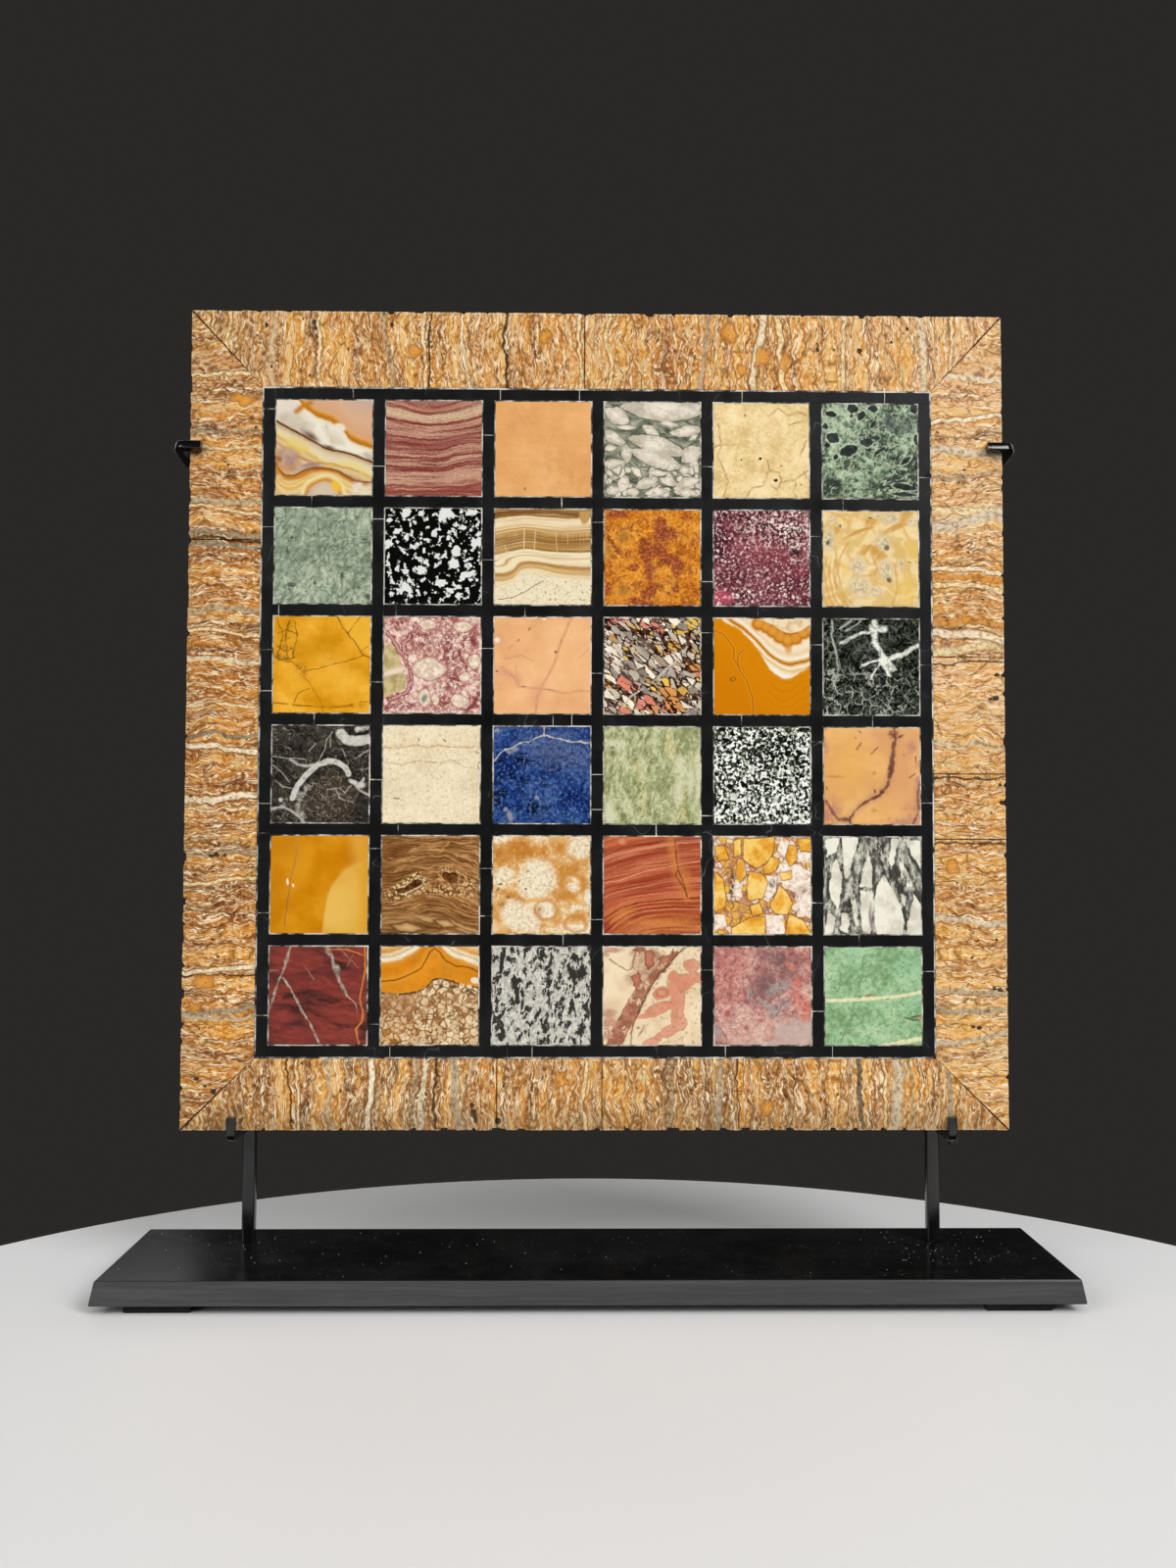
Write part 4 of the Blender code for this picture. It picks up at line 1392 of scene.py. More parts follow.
def bar(growth, points, side, bend, edge):
    """One bar along a bent line, its skin closed and facing out."""
    mesh = growth.grow(points, [(i, i + 1) for i in range(len(points) - 1)],
                       Side=side, Bend=bend, Edge=edge)
    bm = bmesh.new()
    bm.from_mesh(mesh)
    bmesh.ops.remove_doubles(bm, verts=bm.verts, dist=MERGE)
    bmesh.ops.recalc_face_normals(bm, faces=bm.faces)
    bm.to_mesh(mesh)
    bm.free()
    return mesh


square_bars = square_bar(bar_finish)
print("tree:", square_bars.tree.name, "takes", ", ".join(square_bars.labels))

# %% Beads of weld
def weld_beads(finish):
    g = Growth("weld beads", finish, Beads="Int", Bead="Float")
    line = g.add("GeometryNodeMeshToCurve", {0: g.given["Geometry"]})
    points = g.add("GeometryNodeCurveToPoints", {"Curve": line, "Count": g.given["Beads"]},
                   mode="COUNT")
    bead = g.add("GeometryNodeMeshUVSphere", {
        "Segments": 12, "Rings": 8, "Radius": g.given["Bead"]})
    size = g.add("FunctionNodeRandomValue", {2: 0.8, 3: 1.15, "Seed": 4}, 1, data_type="FLOAT")
    return g.close(g.add("GeometryNodeInstanceOnPoints", {
        "Points": points, "Instance": bead, "Scale": size}))


welds = weld_beads(bar_finish)
print("tree:", welds.tree.name, "takes", ", ".join(welds.labels))

# %% The two uprights
POST_X = {"left": -0.1253, "right": 0.1280}
CLIP_HEIGHT = {"left": 0.2486, "right": 0.2500}  # above the tablet's foot
CLIP_REACH = {"left": 0.0048, "right": 0.0064}  # over the tablet's face
CLIP_DROP = 0.0025  # how much lower the arm runs behind the tablet than its clip in front
HOOK_GAP = 0.0003  # between the hook and the tablet's foot
HOOK_LIP = 0.0052  # how far the hook rises in front of the tablet
SUNK = 0.0008  # a bar sinks this far into the post it is welded to
POST_EDGE = 0.0006


def upright_piece(side, outwards):
    """A post with its hook and its arm. Their ends come from the construction's own box."""
    node = side + "_upright"
    low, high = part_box(node)
    reach = high[0] if outwards > 0 else low[0]
    tablet_edge = tablet_right if outwards > 0 else tablet_left
    post_x = POST_X[side]
    post_y = high[1] - POST_SIDE / 2
    front_y = low[1] + BAR_SIDE / 2
    beside = post_x + outwards * (POST_SIDE / 2 + BAR_SIDE / 2 - SUNK)
    under = tablet_foot - HOOK_GAP - BAR_SIDE / 2
    hook_top = tablet_foot + HOOK_LIP
    clip_z = tablet_foot + CLIP_HEIGHT[side]
    arm_back = clip_z - CLIP_DROP
    elbow = reach - outwards * BAR_SIDE / 2
    tip = tablet_edge - outwards * CLIP_REACH[side]
    post = [(post_x, post_y, low[2] + HAIR), (post_x, post_y, high[2] - HAIR)]
    hook = [(beside, post_y, under), (beside, front_y, under), (beside, front_y, hook_top)]
    arm = [(post_x, post_y, arm_back), (elbow, post_y, arm_back), (elbow, front_y, clip_z),
           (tip, front_y, clip_z)]
    pieces = [bar(square_bars, post, POST_SIDE - 2 * HAIR, 0.0, POST_EDGE),
              bar(square_bars, hook, BAR_SIDE - HAIR, BAR_BEND, BAR_EDGE),
              bar(square_bars, arm, BAR_SIDE - HAIR, BAR_BEND, BAR_EDGE)]
    if side == "right":  # a bent pin is welded beside the right hook
        nose = front_y - BAR_SIDE / 2 + 0.0002
        pin = [(post_x + 0.0020, nose + 0.0010, under - 0.0024),
               (beside - 0.0026, nose, under - 0.0004), (beside - 0.0013, nose, under - 0.0012),
               (beside - 0.0006, nose, under - 0.0018), (beside + 0.0009, nose, under - 0.0016),
               (beside + 0.0015, nose, under + 0.0012)]
        pieces.append(bar(square_bars, pin, 0.0009, 0.0006, 0.0003))
    joint = post_x + outwards * 0.0026
    root = beside - outwards * 0.0010
    seams = [((joint, post_y - 0.0015, z), (joint, post_y + 0.0006, z))
             for z in (arm_back + 0.0017, arm_back - 0.0017)]
    seams.append(((root, post_y - 0.0022, under + 0.0012), (root, post_y - 0.0022, under - 0.0014)))
    pieces += [welds.grow(seam, [(0, 1)], Beads=5, Bead=0.0007) for seam in seams]
    mesh = join_meshes(side + " post, hook and arm", pieces)
    mesh.shade_smooth()
    mesh.set_sharp_from_angle(angle=math.radians(40))
    return show(side + "_post_hook_and_arm", mesh, bar_finish, [node])


for side, outwards in (("left", -1), ("right", 1)):
    made = upright_piece(side, outwards)
    print(made.name, len(made.data.polygons), "faces")

# %% [markdown]
# Dust and crumbs of plaster settle on a flat base, most of all round the feet of the posts.
# Hundreds of grains are a scatter: points spread over the top by a seeded Geometry Nodes tree,
# each holding a tiny stone.

# %% Crumbs on the base
def plaster_crumbs(finish):
    g = Growth("crumbs", finish, Density="Float", Smallest="Float", Largest="Float", Seed="Int")
    spots = g.add("GeometryNodeDistributePointsOnFaces", {
        "Mesh": g.given["Geometry"], "Density": g.given["Density"], "Seed": g.given["Seed"]})
    grain = g.add("GeometryNodeMeshIcoSphere", {"Radius": 0.5, "Subdivisions": 1})
    size = g.add("FunctionNodeRandomValue", {
        2: g.given["Smallest"], 3: g.given["Largest"], "Seed": g.given["Seed"]}, 1,
        data_type="FLOAT")
    turn = g.add("FunctionNodeRandomValue", {1: (6.0, 6.0, 6.0), "Seed": 3},
                 data_type="FLOAT_VECTOR")
    return g.close(g.add("GeometryNodeInstanceOnPoints", {
        "Points": spots, "Instance": grain, "Rotation": turn, "Scale": size}))


def pale_dust():
    p = Paint("pale dust", (0, 0, 0), 0.01, 27)
    p.colour = p.ramp(p.noise(20, 3), "35 7A766C, 50 A8A397, 65 CFCABD")
    return p.finish(0.9)


crumbs = plaster_crumbs(pale_dust())
EDGE_CLEAR = 0.003
# (left, front, right, back, grains per square metre, seed)
patches = (
    (base_low[0] + EDGE_CLEAR, base_low[1] + EDGE_CLEAR, base_high[0] - EDGE_CLEAR,
     base_high[1] - EDGE_CLEAR, 4500.0, 5),
    (0.110, -0.014, 0.148, 0.026, 40000.0, 6),
    (-0.142, -0.006, -0.112, 0.026, 16000.0, 7),
)
grains = []
for left, front, right, back, density, seed in patches:
    sheet = [(x, y, base_high[2] + HAIR) for x, y in square(left, front, right, back)]
    grains.append(crumbs.grow(sheet, faces=[(0, 1, 2, 3)], Density=density, Smallest=0.00012,
                              Largest=0.00042, Seed=seed))
dust = show("crumbs_on_the_base", join_meshes("crumbs", grains), crumbs.finish, [])
print("crumbs:", len(dust.data.polygons) // 20)

# %% [markdown]
# ## The thirty-six stones
# Each painter below takes a Paint already placed on its square and gives back the finished
# material. We keep the painters in a dictionary under their stones' names, so that the squares
# can be laid in one loop at the end.

# %% Where the painters are kept
painters = {}


def stone(painter):
    """Keeps a painter under its stone's name."""
    painters[painter.__name__] = painter
    print("painter", len(painters), "is", painter.__name__.replace("_", " "))
    return painter


print("painters so far:", len(painters))

# %% [markdown]
# ### First row
# A banded agate is drawn from three wavy lines: every band follows one of them at its own
# distance, so a ramp over the distance paints the whole family. The wine-red onyx is one long
# ramp over a height that sags in the middle. The broken stones are patches of ovals pushed
# about by noise, over a streaky ground.

# %% Banded agate
@stone
def banded_agate(p):
    at = p.crooked(4, 0.05, 14, 0.015, 3)
    cloud = p.noise(5, 4, 0.6)
    rosy = p.contour("0,-35 20,-6 30,8 42,16 60,23 69,30 77,40 88,46 100,50", at)
    dark = p.contour("0,22 15,31 30,39 42,46 55,52 70,55 85,59 100,65", at)
    low = p.contour("0,66 8,78 16,80 30,74 50,71 62,74 75,81 88,85.5 100,86", at)
    p.colour = p.ramp(rosy + (cloud - 0.5) * 0.06, "-60 BFA89C, -38 D4AE92, -24 DCB08C, "
            "-12 D9A683, -6 E0A868, -3 D08628, -1 B86E12, 1 CE8E34, 2.5 E8D8B8, 6 F0E6D0, "
            "12 E6DAC2, 19 D8CBB2, 26 DDD0B8")
    billow = p.noise(3.2, 2, 0.4, at=p.warp(p.grain, 3, 0.4))
    p.lay("BDB09C", billow.step(0.5, 0.62) * rosy.step(0.03, 0.1) * 0.85)
    p.lay("F4ECD8", billow.step(0.44, 0.36) * rosy.step(0.03, 0.08) * 0.8)
    p.lay("E9DDCC", p.patch("3,2 20,12 20", at, 0.4) * 0.8)
    p.lay("C67E12", p.stroke("21,12 29,6 36,3", 0.055, at, 0.5))
    p.lay("EFE3C8", p.patch("66,28 6,4 20", at, 0.4))
    glow = p.patch("36,38.5 9,3.5 36; 55,50 7,2 20", at, 0.9)
    p.lay("5E3410", glow * dark.step(0.02, -0.01) * 0.9)
    p.lay("8A5620", dark.abs().step(0.030, 0.004) * 0.75)
    below = p.ramp(dark + (cloud - 0.5) * 0.05, "0 8C5A26, 2 C8A474, 4.5 D6C2A0, 9 E4D6B4, "
            "13 EAD796, 16.5 D8AE5E, 18 E2C27E, 21 D9C09A, 23.5 C99A5A, 25.5 DCC4A2, 30 D2B494")
    below = p.blend(below, "E8CE72", p.patch("22,48 13,6 25", at, 0.6) * 0.8)
    below = p.blend(below, "EAD48C", p.patch("80,69 14,5 15", at, 0.6) * 0.7)
    lilac = p.patch("13,61 11,10; 33,70 17,3 -10", at, 0.3)
    below = p.blend(below, "D08A28", p.patch("12,63 14.5,13.5", at, 0.3) * 0.7)
    below = p.blend(below, p.ramp(cloud, "40 A07E78, 58 C6A894"), lilac * 0.9)
    below = p.blend(below, "A86A2C", p.patch("3,63 3.5,3 30", at, 0.6))
    thread = p.stroke("22,60 40,66 58,66.5 72,72 86,75", 0.016, at, 0.5)
    below = p.blend(below, "BE8448", thread * 0.7)
    p.lay(below, dark.step(-0.003, 0.003))
    foot = p.ramp(low + (cloud - 0.5) * 0.03, "0 8A4A24, 2 B87020, 4 DDA85A, 6.5 E8CE96, 9 E6B85A, "
            "11.5 EAD08E, 14 E2AE4C, 18 E8D09A, 24 E0B870")
    amber = p.patch("22,79 15,4.5 -14; 2,75 5,4 50", at, 0.5)
    foot = p.blend(foot, "C97F22", amber * 0.85)
    arc = p.oval((0.50, 1.02), (0.19, 0.19), 0, at)
    foot = p.blend(foot, p.ramp(arc, "50 D9C4AC, 80 D2B494, 90 C9873C, 100 D9A04A, 115 F0DF9E, "
            "130 F0E2B0"), arc.step(1.36, 1.16) * 0.95)
    foot = p.blend(foot, "F0C040", p.patch("63,91 4.5,6 -30", at, 0.5))
    chalk = p.u.step(0.70, 0.84) * cloud.step(0.36, 0.58)
    foot = p.blend(foot, "E6E1D4", chalk)
    p.lay(foot, low.step(-0.003, 0.004))
    p.lay("8E4E16", low.abs().step(0.018, 0.003) * 0.85)
    p.lay("4F280E", dark.abs().step(0.013, 0.003))
    return p.finish(cloud * 0.12 + 0.16)

# %% Wine-red banded onyx
@stone
def wine_banded_onyx(p):
    at = p.crooked(6, 0.030, 18, 0.020, 4)
    grit = p.noise(60, 2, 0.7)
    sag = p.curve(p.u, "0,0 22,6 46,12.5 72,7 100,-3")
    rise = p.curve(p.u, "0,0 50,1.4 62,0.4 74,-4 100,-6.5")
    height = p.contour("0,0 100,0", at)
    height = height - sag * p.v.step(0.62, -0.05)
    height = height - rise * p.v.step(0.30, 0.48) * p.v.step(0.95, 0.78)
    height = height + (grit - 0.5) * 0.03
    p.colour = p.ramp(height, "-8 A8705F, -5 86403A, -2 A8685A, 0.5 C29478, 2 8C453C, 4.5 904A40, "
            "5.8 CFAE8C, 11 D4B490, 15.5 C9A382, 17 843A34, 19.5 8A4239, 21 C6947C, 27 BD8873, "
            "28.5 95574A, 30 C2907A, 34 B98470, 36 8A463C, 40 A86C5E, 42 86423A, 47 A26256, "
            "50 85413A, 52.5 BC8872, 57.5 C4937C, 59 7F3933, 62.5 90503F, 64 C49A80, 67.5 B98672, "
            "69 853F37, 73 8F4A3F, 75.5 BE8E76, 86 C79A80, 90.5 A0594A")
    lines = p.strata(height, 46, 1.6)
    p.lay("762F2B", lines.step(0.52, 0.60) * height.step(0.14, 0.20) * 0.8)
    p.lay("D6AA8E", lines.step(0.46, 0.38) * 0.6)
    hairs = p.strata(height, 110, 3, 3, 0.7)
    p.lay("7A3A34", hairs.step(0.55, 0.62) * 0.5)
    p.lay("8C443A", p.contour("0,96.5 100,95.5", at).abs().step(0.022, 0.008))
    p.lay("843C36", p.contour("0,89 60,91 100,87.5", at).abs().step(0.014, 0.004) * 0.7)
    p.tint(p.noise(48, 3, 0.8) * 1.5 + 0.25)
    return p.finish(grit * 0.15 + 0.2)

# %% Peach limestone
@stone
def peach_limestone(p):
    cloud = p.noise(2.2, 5, 0.62)
    level = p.noise(3, 4, 0.65, at=p.stretch(p.grain, 1, 7))
    p.colour = p.ramp(cloud * 0.8 + level * 0.2, "36 E0A062, 48 E8AA69, 56 EDB272, 70 F2BC7C")
    p.lay("CF9257", p.patch("70,75 30,20 30", soft=0.9) * p.noise(9, 5, 0.7).step(0.4, 0.7) * 0.6)
    rub = p.noise(14, 2, at=p.stretch(p.grain, 9, 0.7, -31)).step(0.60, 0.74)
    p.lay("B98752", rub * 0.30)
    scratch = p.stroke("20,6 36,33 47,60", 0.003)
    scratch = scratch.most(p.stroke("27,3 40,27", 0.004))
    scratch = scratch.most(p.stroke("62,30 55,48", 0.003))
    p.lay("A2743F", scratch * 0.3)
    p.lay("8A5A32", p.patch("31,92 1.2,2 10", soft=0.4) * 0.6)
    p.tint(p.noise(80, 3, 0.8) * 0.22 + 0.89)
    return p.finish(0.42 - cloud * 0.2, scratch * -1, 0.00004)

# %% Grey breccia of rounded pieces
@stone
def grey_clast_breccia(p):
    at = p.crooked(7, 0.05, 18, 0.025, 4)
    streak = p.noise(6, 4, 0.65, at=p.stretch(p.warp(p.grain, 3, 0.3), 1, 3, 18))
    p.colour = p.ramp(streak, "40 4C5546, 47 6C7260, 53 8A8C78, 62 AEAC98")
    big = ("62,5.5 46,15 2; 13,14 15,9.5 28; 23,26.5 10,3 6; 48,29.5 11,5 30; 68,22.5 11,3 4; "
            "86,30 18,6.2 -8; 93,37 6,3 -30; 8,37 18,6.5 24; 17,42 11,4 30")
    mid = ("55,45.5 32,10.5 16; 54,60 30,9.5 18; 22.5,54 5.5,11; 5,49 7,4 -14; 90,55 12,9.5 -42; "
            "93,68 5,10 14; 9,66 13,6 -10; 14,75 10,5.5 -50; 3,80 5,7")
    small = ("44,85 13,6.5 -24; 67,83 10,5 14; 86,84 14,5.5 -12; 20,86 6,9 20; 33,74 8,3.5 40; "
            "55,95 13,5 -8; 85,95 13,5 8; 9,93 7,5; 83,72 5,5; 30,95 7,5; 56,75 11,3.5; 76,90 5,3")
    mottle = p.noise(6, 4, 0.65)
    for ovals in (big, mid, small):
        nearest = p.ovals(ovals, at, 0.45)
        body = p.ramp(nearest * 0.30 + mottle, "50 EFE6D2, 62 E4DAC6, 70 D9CFBC, 78 C4BAA6")
        p.lay("5A5E4C", nearest.step(1.20, 1.01) * 0.85)
        p.lay(body, nearest.step(1.04, 0.97))
    gravel_at = p.warp(p.grain, 9, 0.08)
    edge = p.cells(13, at=gravel_at, feature="DISTANCE_TO_EDGE")
    gravel = p.ramp(edge, "3 686C5A, 9 B8B09C, 16 DDD3BF, 40 E8DECA")
    free = nearest.step(0.98, 1.12) * p.v.step(0.62, 0.72)
    p.lay(gravel, free * p.cells(13, at=gravel_at)[1].step(0.30, 0.34))
    vein = (p.noise(2.6, 3, 0.6, at=p.stretch(p.grain, 1, 2.6, 15)) - 0.5).abs()
    p.lay("8E8672", vein.step(0.014, 0) * 0.5)
    p.tint(p.noise(30, 3, 0.7) * 0.4 + 0.81)
    return p.finish(streak * 0.15 + 0.18)

# %% Cream limestone with hair cracks
@stone
def cream_cracked_limestone(p):
    cloud = p.noise(3, 5, 0.65)
    stipple = p.noise(30, 4, 0.8)
    p.colour = p.ramp(cloud * 0.6 + stipple * 0.4, "42 DCBE80, 47 EACB90, 52 F3D8A0, 60 FCE6B4")
    p.lay("C49C5C", p.specks(28, 0.24, 0.22) * 0.6)
    at = p.crooked(9, 0.05, 30, 0.018, 2)
    hair = p.line("5,22 8,42 3,55 12,74 15,84 10,102; -2,47 8,43 22,44; "
            "35,98 40,90 52,87 56,74 63,70; 56,60 58,70 68,73 72,82 66,92 60,88; "
            "72,83 85,81 93,76 102,69; 86,84 83,93 88,100; 95,72 97,80; "
            "58,14 68,5 78,13 88,9 98,12; 97,40 90,54; 80,22 95,18", at)
    p.lay("D0A868", hair.step(0.022, 0.004) * 0.5)
    p.lay("8E6C3C", hair.step(0.0060, 0.001) * p.noise(16, 3, 0.6).step(0.40, 0.54) * 0.85)
    pits = p.patch("49,58.5 1.6,1.4; 65,81.5 2.2,1.6 10; 29,60 0.8,0.8; 33,13 0.8,0.7; "
            "92,86 0.8,1; 71,66 0.9,0.6", p.warp(p.place, 40, 0.02))
    # painted shade: the pits are laid near-black, their depth given only by the bump
    p.lay("2E2A20", pits)
    p.lay("A98B55", p.specks(45, 0.16, 0.10) * 0.6)
    return p.finish(cloud * 0.15 + 0.22, pits * -1, 0.00015)

# %% Dark green serpentine
@stone
def dark_green_serpentine(p):
    rough = p.warp(p.place, 9, 0.05)
    fine = p.noise(13, 6, 0.75)
    cloud = p.noise(4, 4, 0.6)
    p.colour = p.ramp(fine * 0.7 + cloud * 0.3, "42 2A342C, 47 52654F, 51.5 88A07F, 56 AEBFA0, "
            "61 D0DABE")
    net = p.cells(10, at=p.warp(p.grain, 9, 0.3), feature="DISTANCE_TO_EDGE")
    mint = net.step(0.16, 0) * p.noise(7, 4, 0.7).step(0.36, 0.52)
    p.lay("C2CEB0", mint * 0.75)
    crumbs = p.noise(24, 3, 0.6).step(0.53, 0.60)
    p.lay("2E362E", crumbs * 0.85 * cloud.step(0.62, 0.44))
    dusky = p.patch("72,19 8,8.5 10; 20,21 6,5; 90,22 10,10", p.warp(p.snap(16, rough), 9, 0.03))
    p.lay(p.ramp(fine, "42 3E4640, 56 6E7C70"), dusky * 0.85)
    tail = p.noise(6, 4, 0.7, at=p.stretch(p.warp(p.grain, 4, 0.2), 1, 2.4, -24))
    lower = p.patch("80,86 30,17 -8; 10,88 12,10; 95,62 8,12; 80,70 14,10 -30", rough, 0.5)
    p.lay("2A302B", tail.step(0.45, 0.50) * lower * 0.95)
    spots = ("32,5 6,5.5; 41,12.5 4,5.5 20; 53,4.5 6,4; 9,10.5 6,3.5 8; 31,13 2.2,2; 11,36 7,6 30; "
            "5,44 3,2.5; 27,50 11,6.5 -20; 46,41 7,4.5; 60,50 8.5,2.2 -35; 97,4 5,5; 99,38 3,6; "
            "3,23 3,3; 13,57 3,3; 53,22 4,2.5 -50; 88,60 7,3 -40; 86,87 13,3.5 6; 85,95 14,2.5 2")
    angular = p.crooked(14, 0.035, 5, 0.04, 1)
    near = p.ovals(spots, angular, 0.35)
    p.lay("CAD5B8", near.step(1.5, 1.15) * fine.step(0.42, 0.54) * 0.75)
    p.lay(p.ramp(fine, "42 1E241F, 60 3E4640"), near.step(1.10, 0.95))
    return p.finish(fine * 0.2 + 0.14)

# %% [markdown]
# ### Second row
# Here the character is in the grain. The sage marble is felted with pale fibres, which is
# noise seen through a stretched and bent place. The black and white porphyry needs a sharp
# threshold over several sizes of noise, so its white crystals come in crowds. The brown onyx
# repeats the ramp over a height, with upright fibres across its wide bands.

# %% Sage-green marble
@stone
def sage_green_marble(p):
    cloud = p.noise(2.4, 4, 0.6)
    bent = p.warp(p.grain, 5, 0.25)
    fibres = p.noise(15, 4, 0.7, at=p.stretch(bent, 1, 2.6, -35), kind="RIDGED_MULTIFRACTAL")
    felt = p.noise(13, 5, 0.8, at=p.stretch(bent, 1.5, 1, 25))
    p.colour = p.ramp(felt * 0.8 + cloud * 0.2, "41 5C6C5A, 46 7C8B74, 51 93A089, 56 ACB89E, "
            "61 C6CEB2")
    p.lay("C4CDB0", fibres.step(0.8, 1.5) * 0.45)
    p.lay("6F7E6C", p.patch("35,12 20,10; 20,60 14,12", p.warp(p.place, 4, 0.2), 0.9) * 0.35)
    dark = p.patch("17,81 4.5,2.5; 70,71.5 2,3; 97,93 3,3; 18,31 2,1.5; 42,79 2,1.5; 13,45 1.2,3",
            p.warp(p.place, 22, 0.05), 0.5)
    dark = dark.most(p.specks(16, 0.16, 0.10))
    p.lay("3F4B40", dark * 0.85)
    return p.finish(felt * 0.2 + 0.2)

# %% Black and white porphyry
@stone
def black_white_porphyry(p):
    at = p.warp(p.place, 13, 0.05)
    chunks = p.noise(12, 4, 0.7)
    flecks = p.noise(17, 3, 0.62, at=p.warp(p.grain, 8, 0.06))
    big = p.ovals("22,3 6,6 20; 63,7 8.5,9; 90,4 9,4; 38,4 4,5 30; 5,12 5,3.5; 80,19 8,4 -10; "
            "13,24 5,3.5 -30; 4,37 5,5; 22,31 2,5; 20,46 3.5,2 30; 66,30 5,3; 94,36 8,7 20; "
            "74,45 5,6 10; 72,58 6,6; 42,55 3.5,5 20; 38,66 7.5,6; 19,64 5.5,3 10; "
            "85,70 10,4.5 -25; 58,78 5,5; 23,84 8.5,10 -30; 68,86 5,3 20; 77,92 3,5; 60,51 2.5,2; "
            "88,60 3,3", at, 0.3)
    big = (big + (chunks - 0.5) * 3.4).step(0.96, 0.78)
    white = big.most(flecks.step(0.555, 0.59) * 0.85)
    p.colour = p.ramp(white + (p.noise(30, 3, 0.7) - 0.5) * 0.5,
            "10 0A0A09, 35 20211F, 60 8C8D88, 85 E6E7E1")
    p.lay("B3AF8C", p.patch("50,42 5,4 30", at, 0.6) * white)
    return p.finish(white * 0.1 + 0.14)

# %% Brown striped onyx
@stone
def brown_striped_onyx(p):
    at = p.crooked(3, 0.03, 16, 0.008, 2)
    sway = p.curve(p.u, "0,3 16,-0.5 34,-3 60,0 85,0.5 100,-0.5")
    dip = p.curve(p.u, "0,6 17,7 27,0 42,-2 70,0 100,2")
    height = p.contour("0,0 100,0", at)
    height = height - sway * p.v.step(-0.1, 0.22) - dip * p.v.step(0.48, 0.62)
    fibres = p.noise(1, 3, 0.6, at=p.join(p.u * 60, p.v * 2.5))
    height = height + (fibres - 0.5) * 0.012
    p.colour = p.ramp(height, "0 C79A58, 1.2 8A5A26, 3 774C22, 7.5 8C6030, 9 D9B67C, 10 F3E0B8, "
            "17 F0DCB4, 19 D8AC6C, 20.5 F0DBAE, 22 B5874A, 23.5 E2C088, 25 C49858, 27.5 C89C5A, "
            "30 94692F, 31.5 B48848, 33.5 8A6230, 36 A0743A, 42 BD9250, 44.5 7C5626, 45.5 F2E0B6, "
            "50 F4E4BE, 51.2 D8B27A, 52.5 F5E6C2, 57.5 F2DEB2, 59 B88A4C, 61 B0803F, 63.5 DDB478, "
            "66 C69C5E, 67.5 F0DDB0, 70 EED8AA, 71.5 F4E6C4")
    band = height.step(0.24, 0.26) * height.step(0.46, 0.44)
    p.lay("E3C48C", fibres.step(0.58, 0.72) * band * 0.75)
    p.lay("7E5828", fibres.step(0.45, 0.36) * band * 0.6)
    thin = p.strata(height, 75, 1.2, 3, 0.6)
    p.lay("A87C40", thin.step(0.53, 0.62) * height.step(0.76, 0.66) * 0.6)
    p.lay("F6E2B8", thin.step(0.46, 0.38) * height.step(0.76, 0.66) * 0.45)
    shafts = p.stroke("30.5,20 30,46", 0.014).most(p.stroke("42,22 41,46", 0.010))
    shafts = shafts.most(p.stroke("63,22 65,46", 0.008))
    shafts = shafts.most(p.stroke("10,38 14,48", 0.010))
    p.lay("E8CD9C", shafts * height.step(0.2, 0.25) * 0.7)
    glow = p.patch("86,68 30,4; 2,42 10,6", soft=0.8)
    p.lay("D8B478", glow * 0.3)
    grain = p.noise(48, 3, 0.6, at=p.stretch(p.grain, 1, 2))
    p.lay("B59C6C", grain.step(0.54, 0.64) * height.step(0.68, 0.74) * 0.8)
    rows = p.noise(1, 1, 0.4, at=p.join(p.u * 42, p.v * 14))
    dots = rows.step(0.60, 0.68) * p.u.step(0.40, 0.60) * height.step(0.74, 0.78)
    p.lay("9A835C", dots * (p.v * 88).sine().step(0, 0.6) * 0.95)
    crack = p.line("4,95 18,93 30,88 40,81 51,75", p.warp(p.place, 14, 0.02))
    p.lay("4A3A22", crack.step(0.006, 0.001) * 0.9)
    wedge = p.contour("0,2 88,10 93,16 100,3", at)
    p.lay("C4985A", p.u.step(0.86, 0.90) * wedge.step(0.01, -0.02) * p.v.step(0, 0.03))
    return p.finish(grain * 0.1 + 0.18)

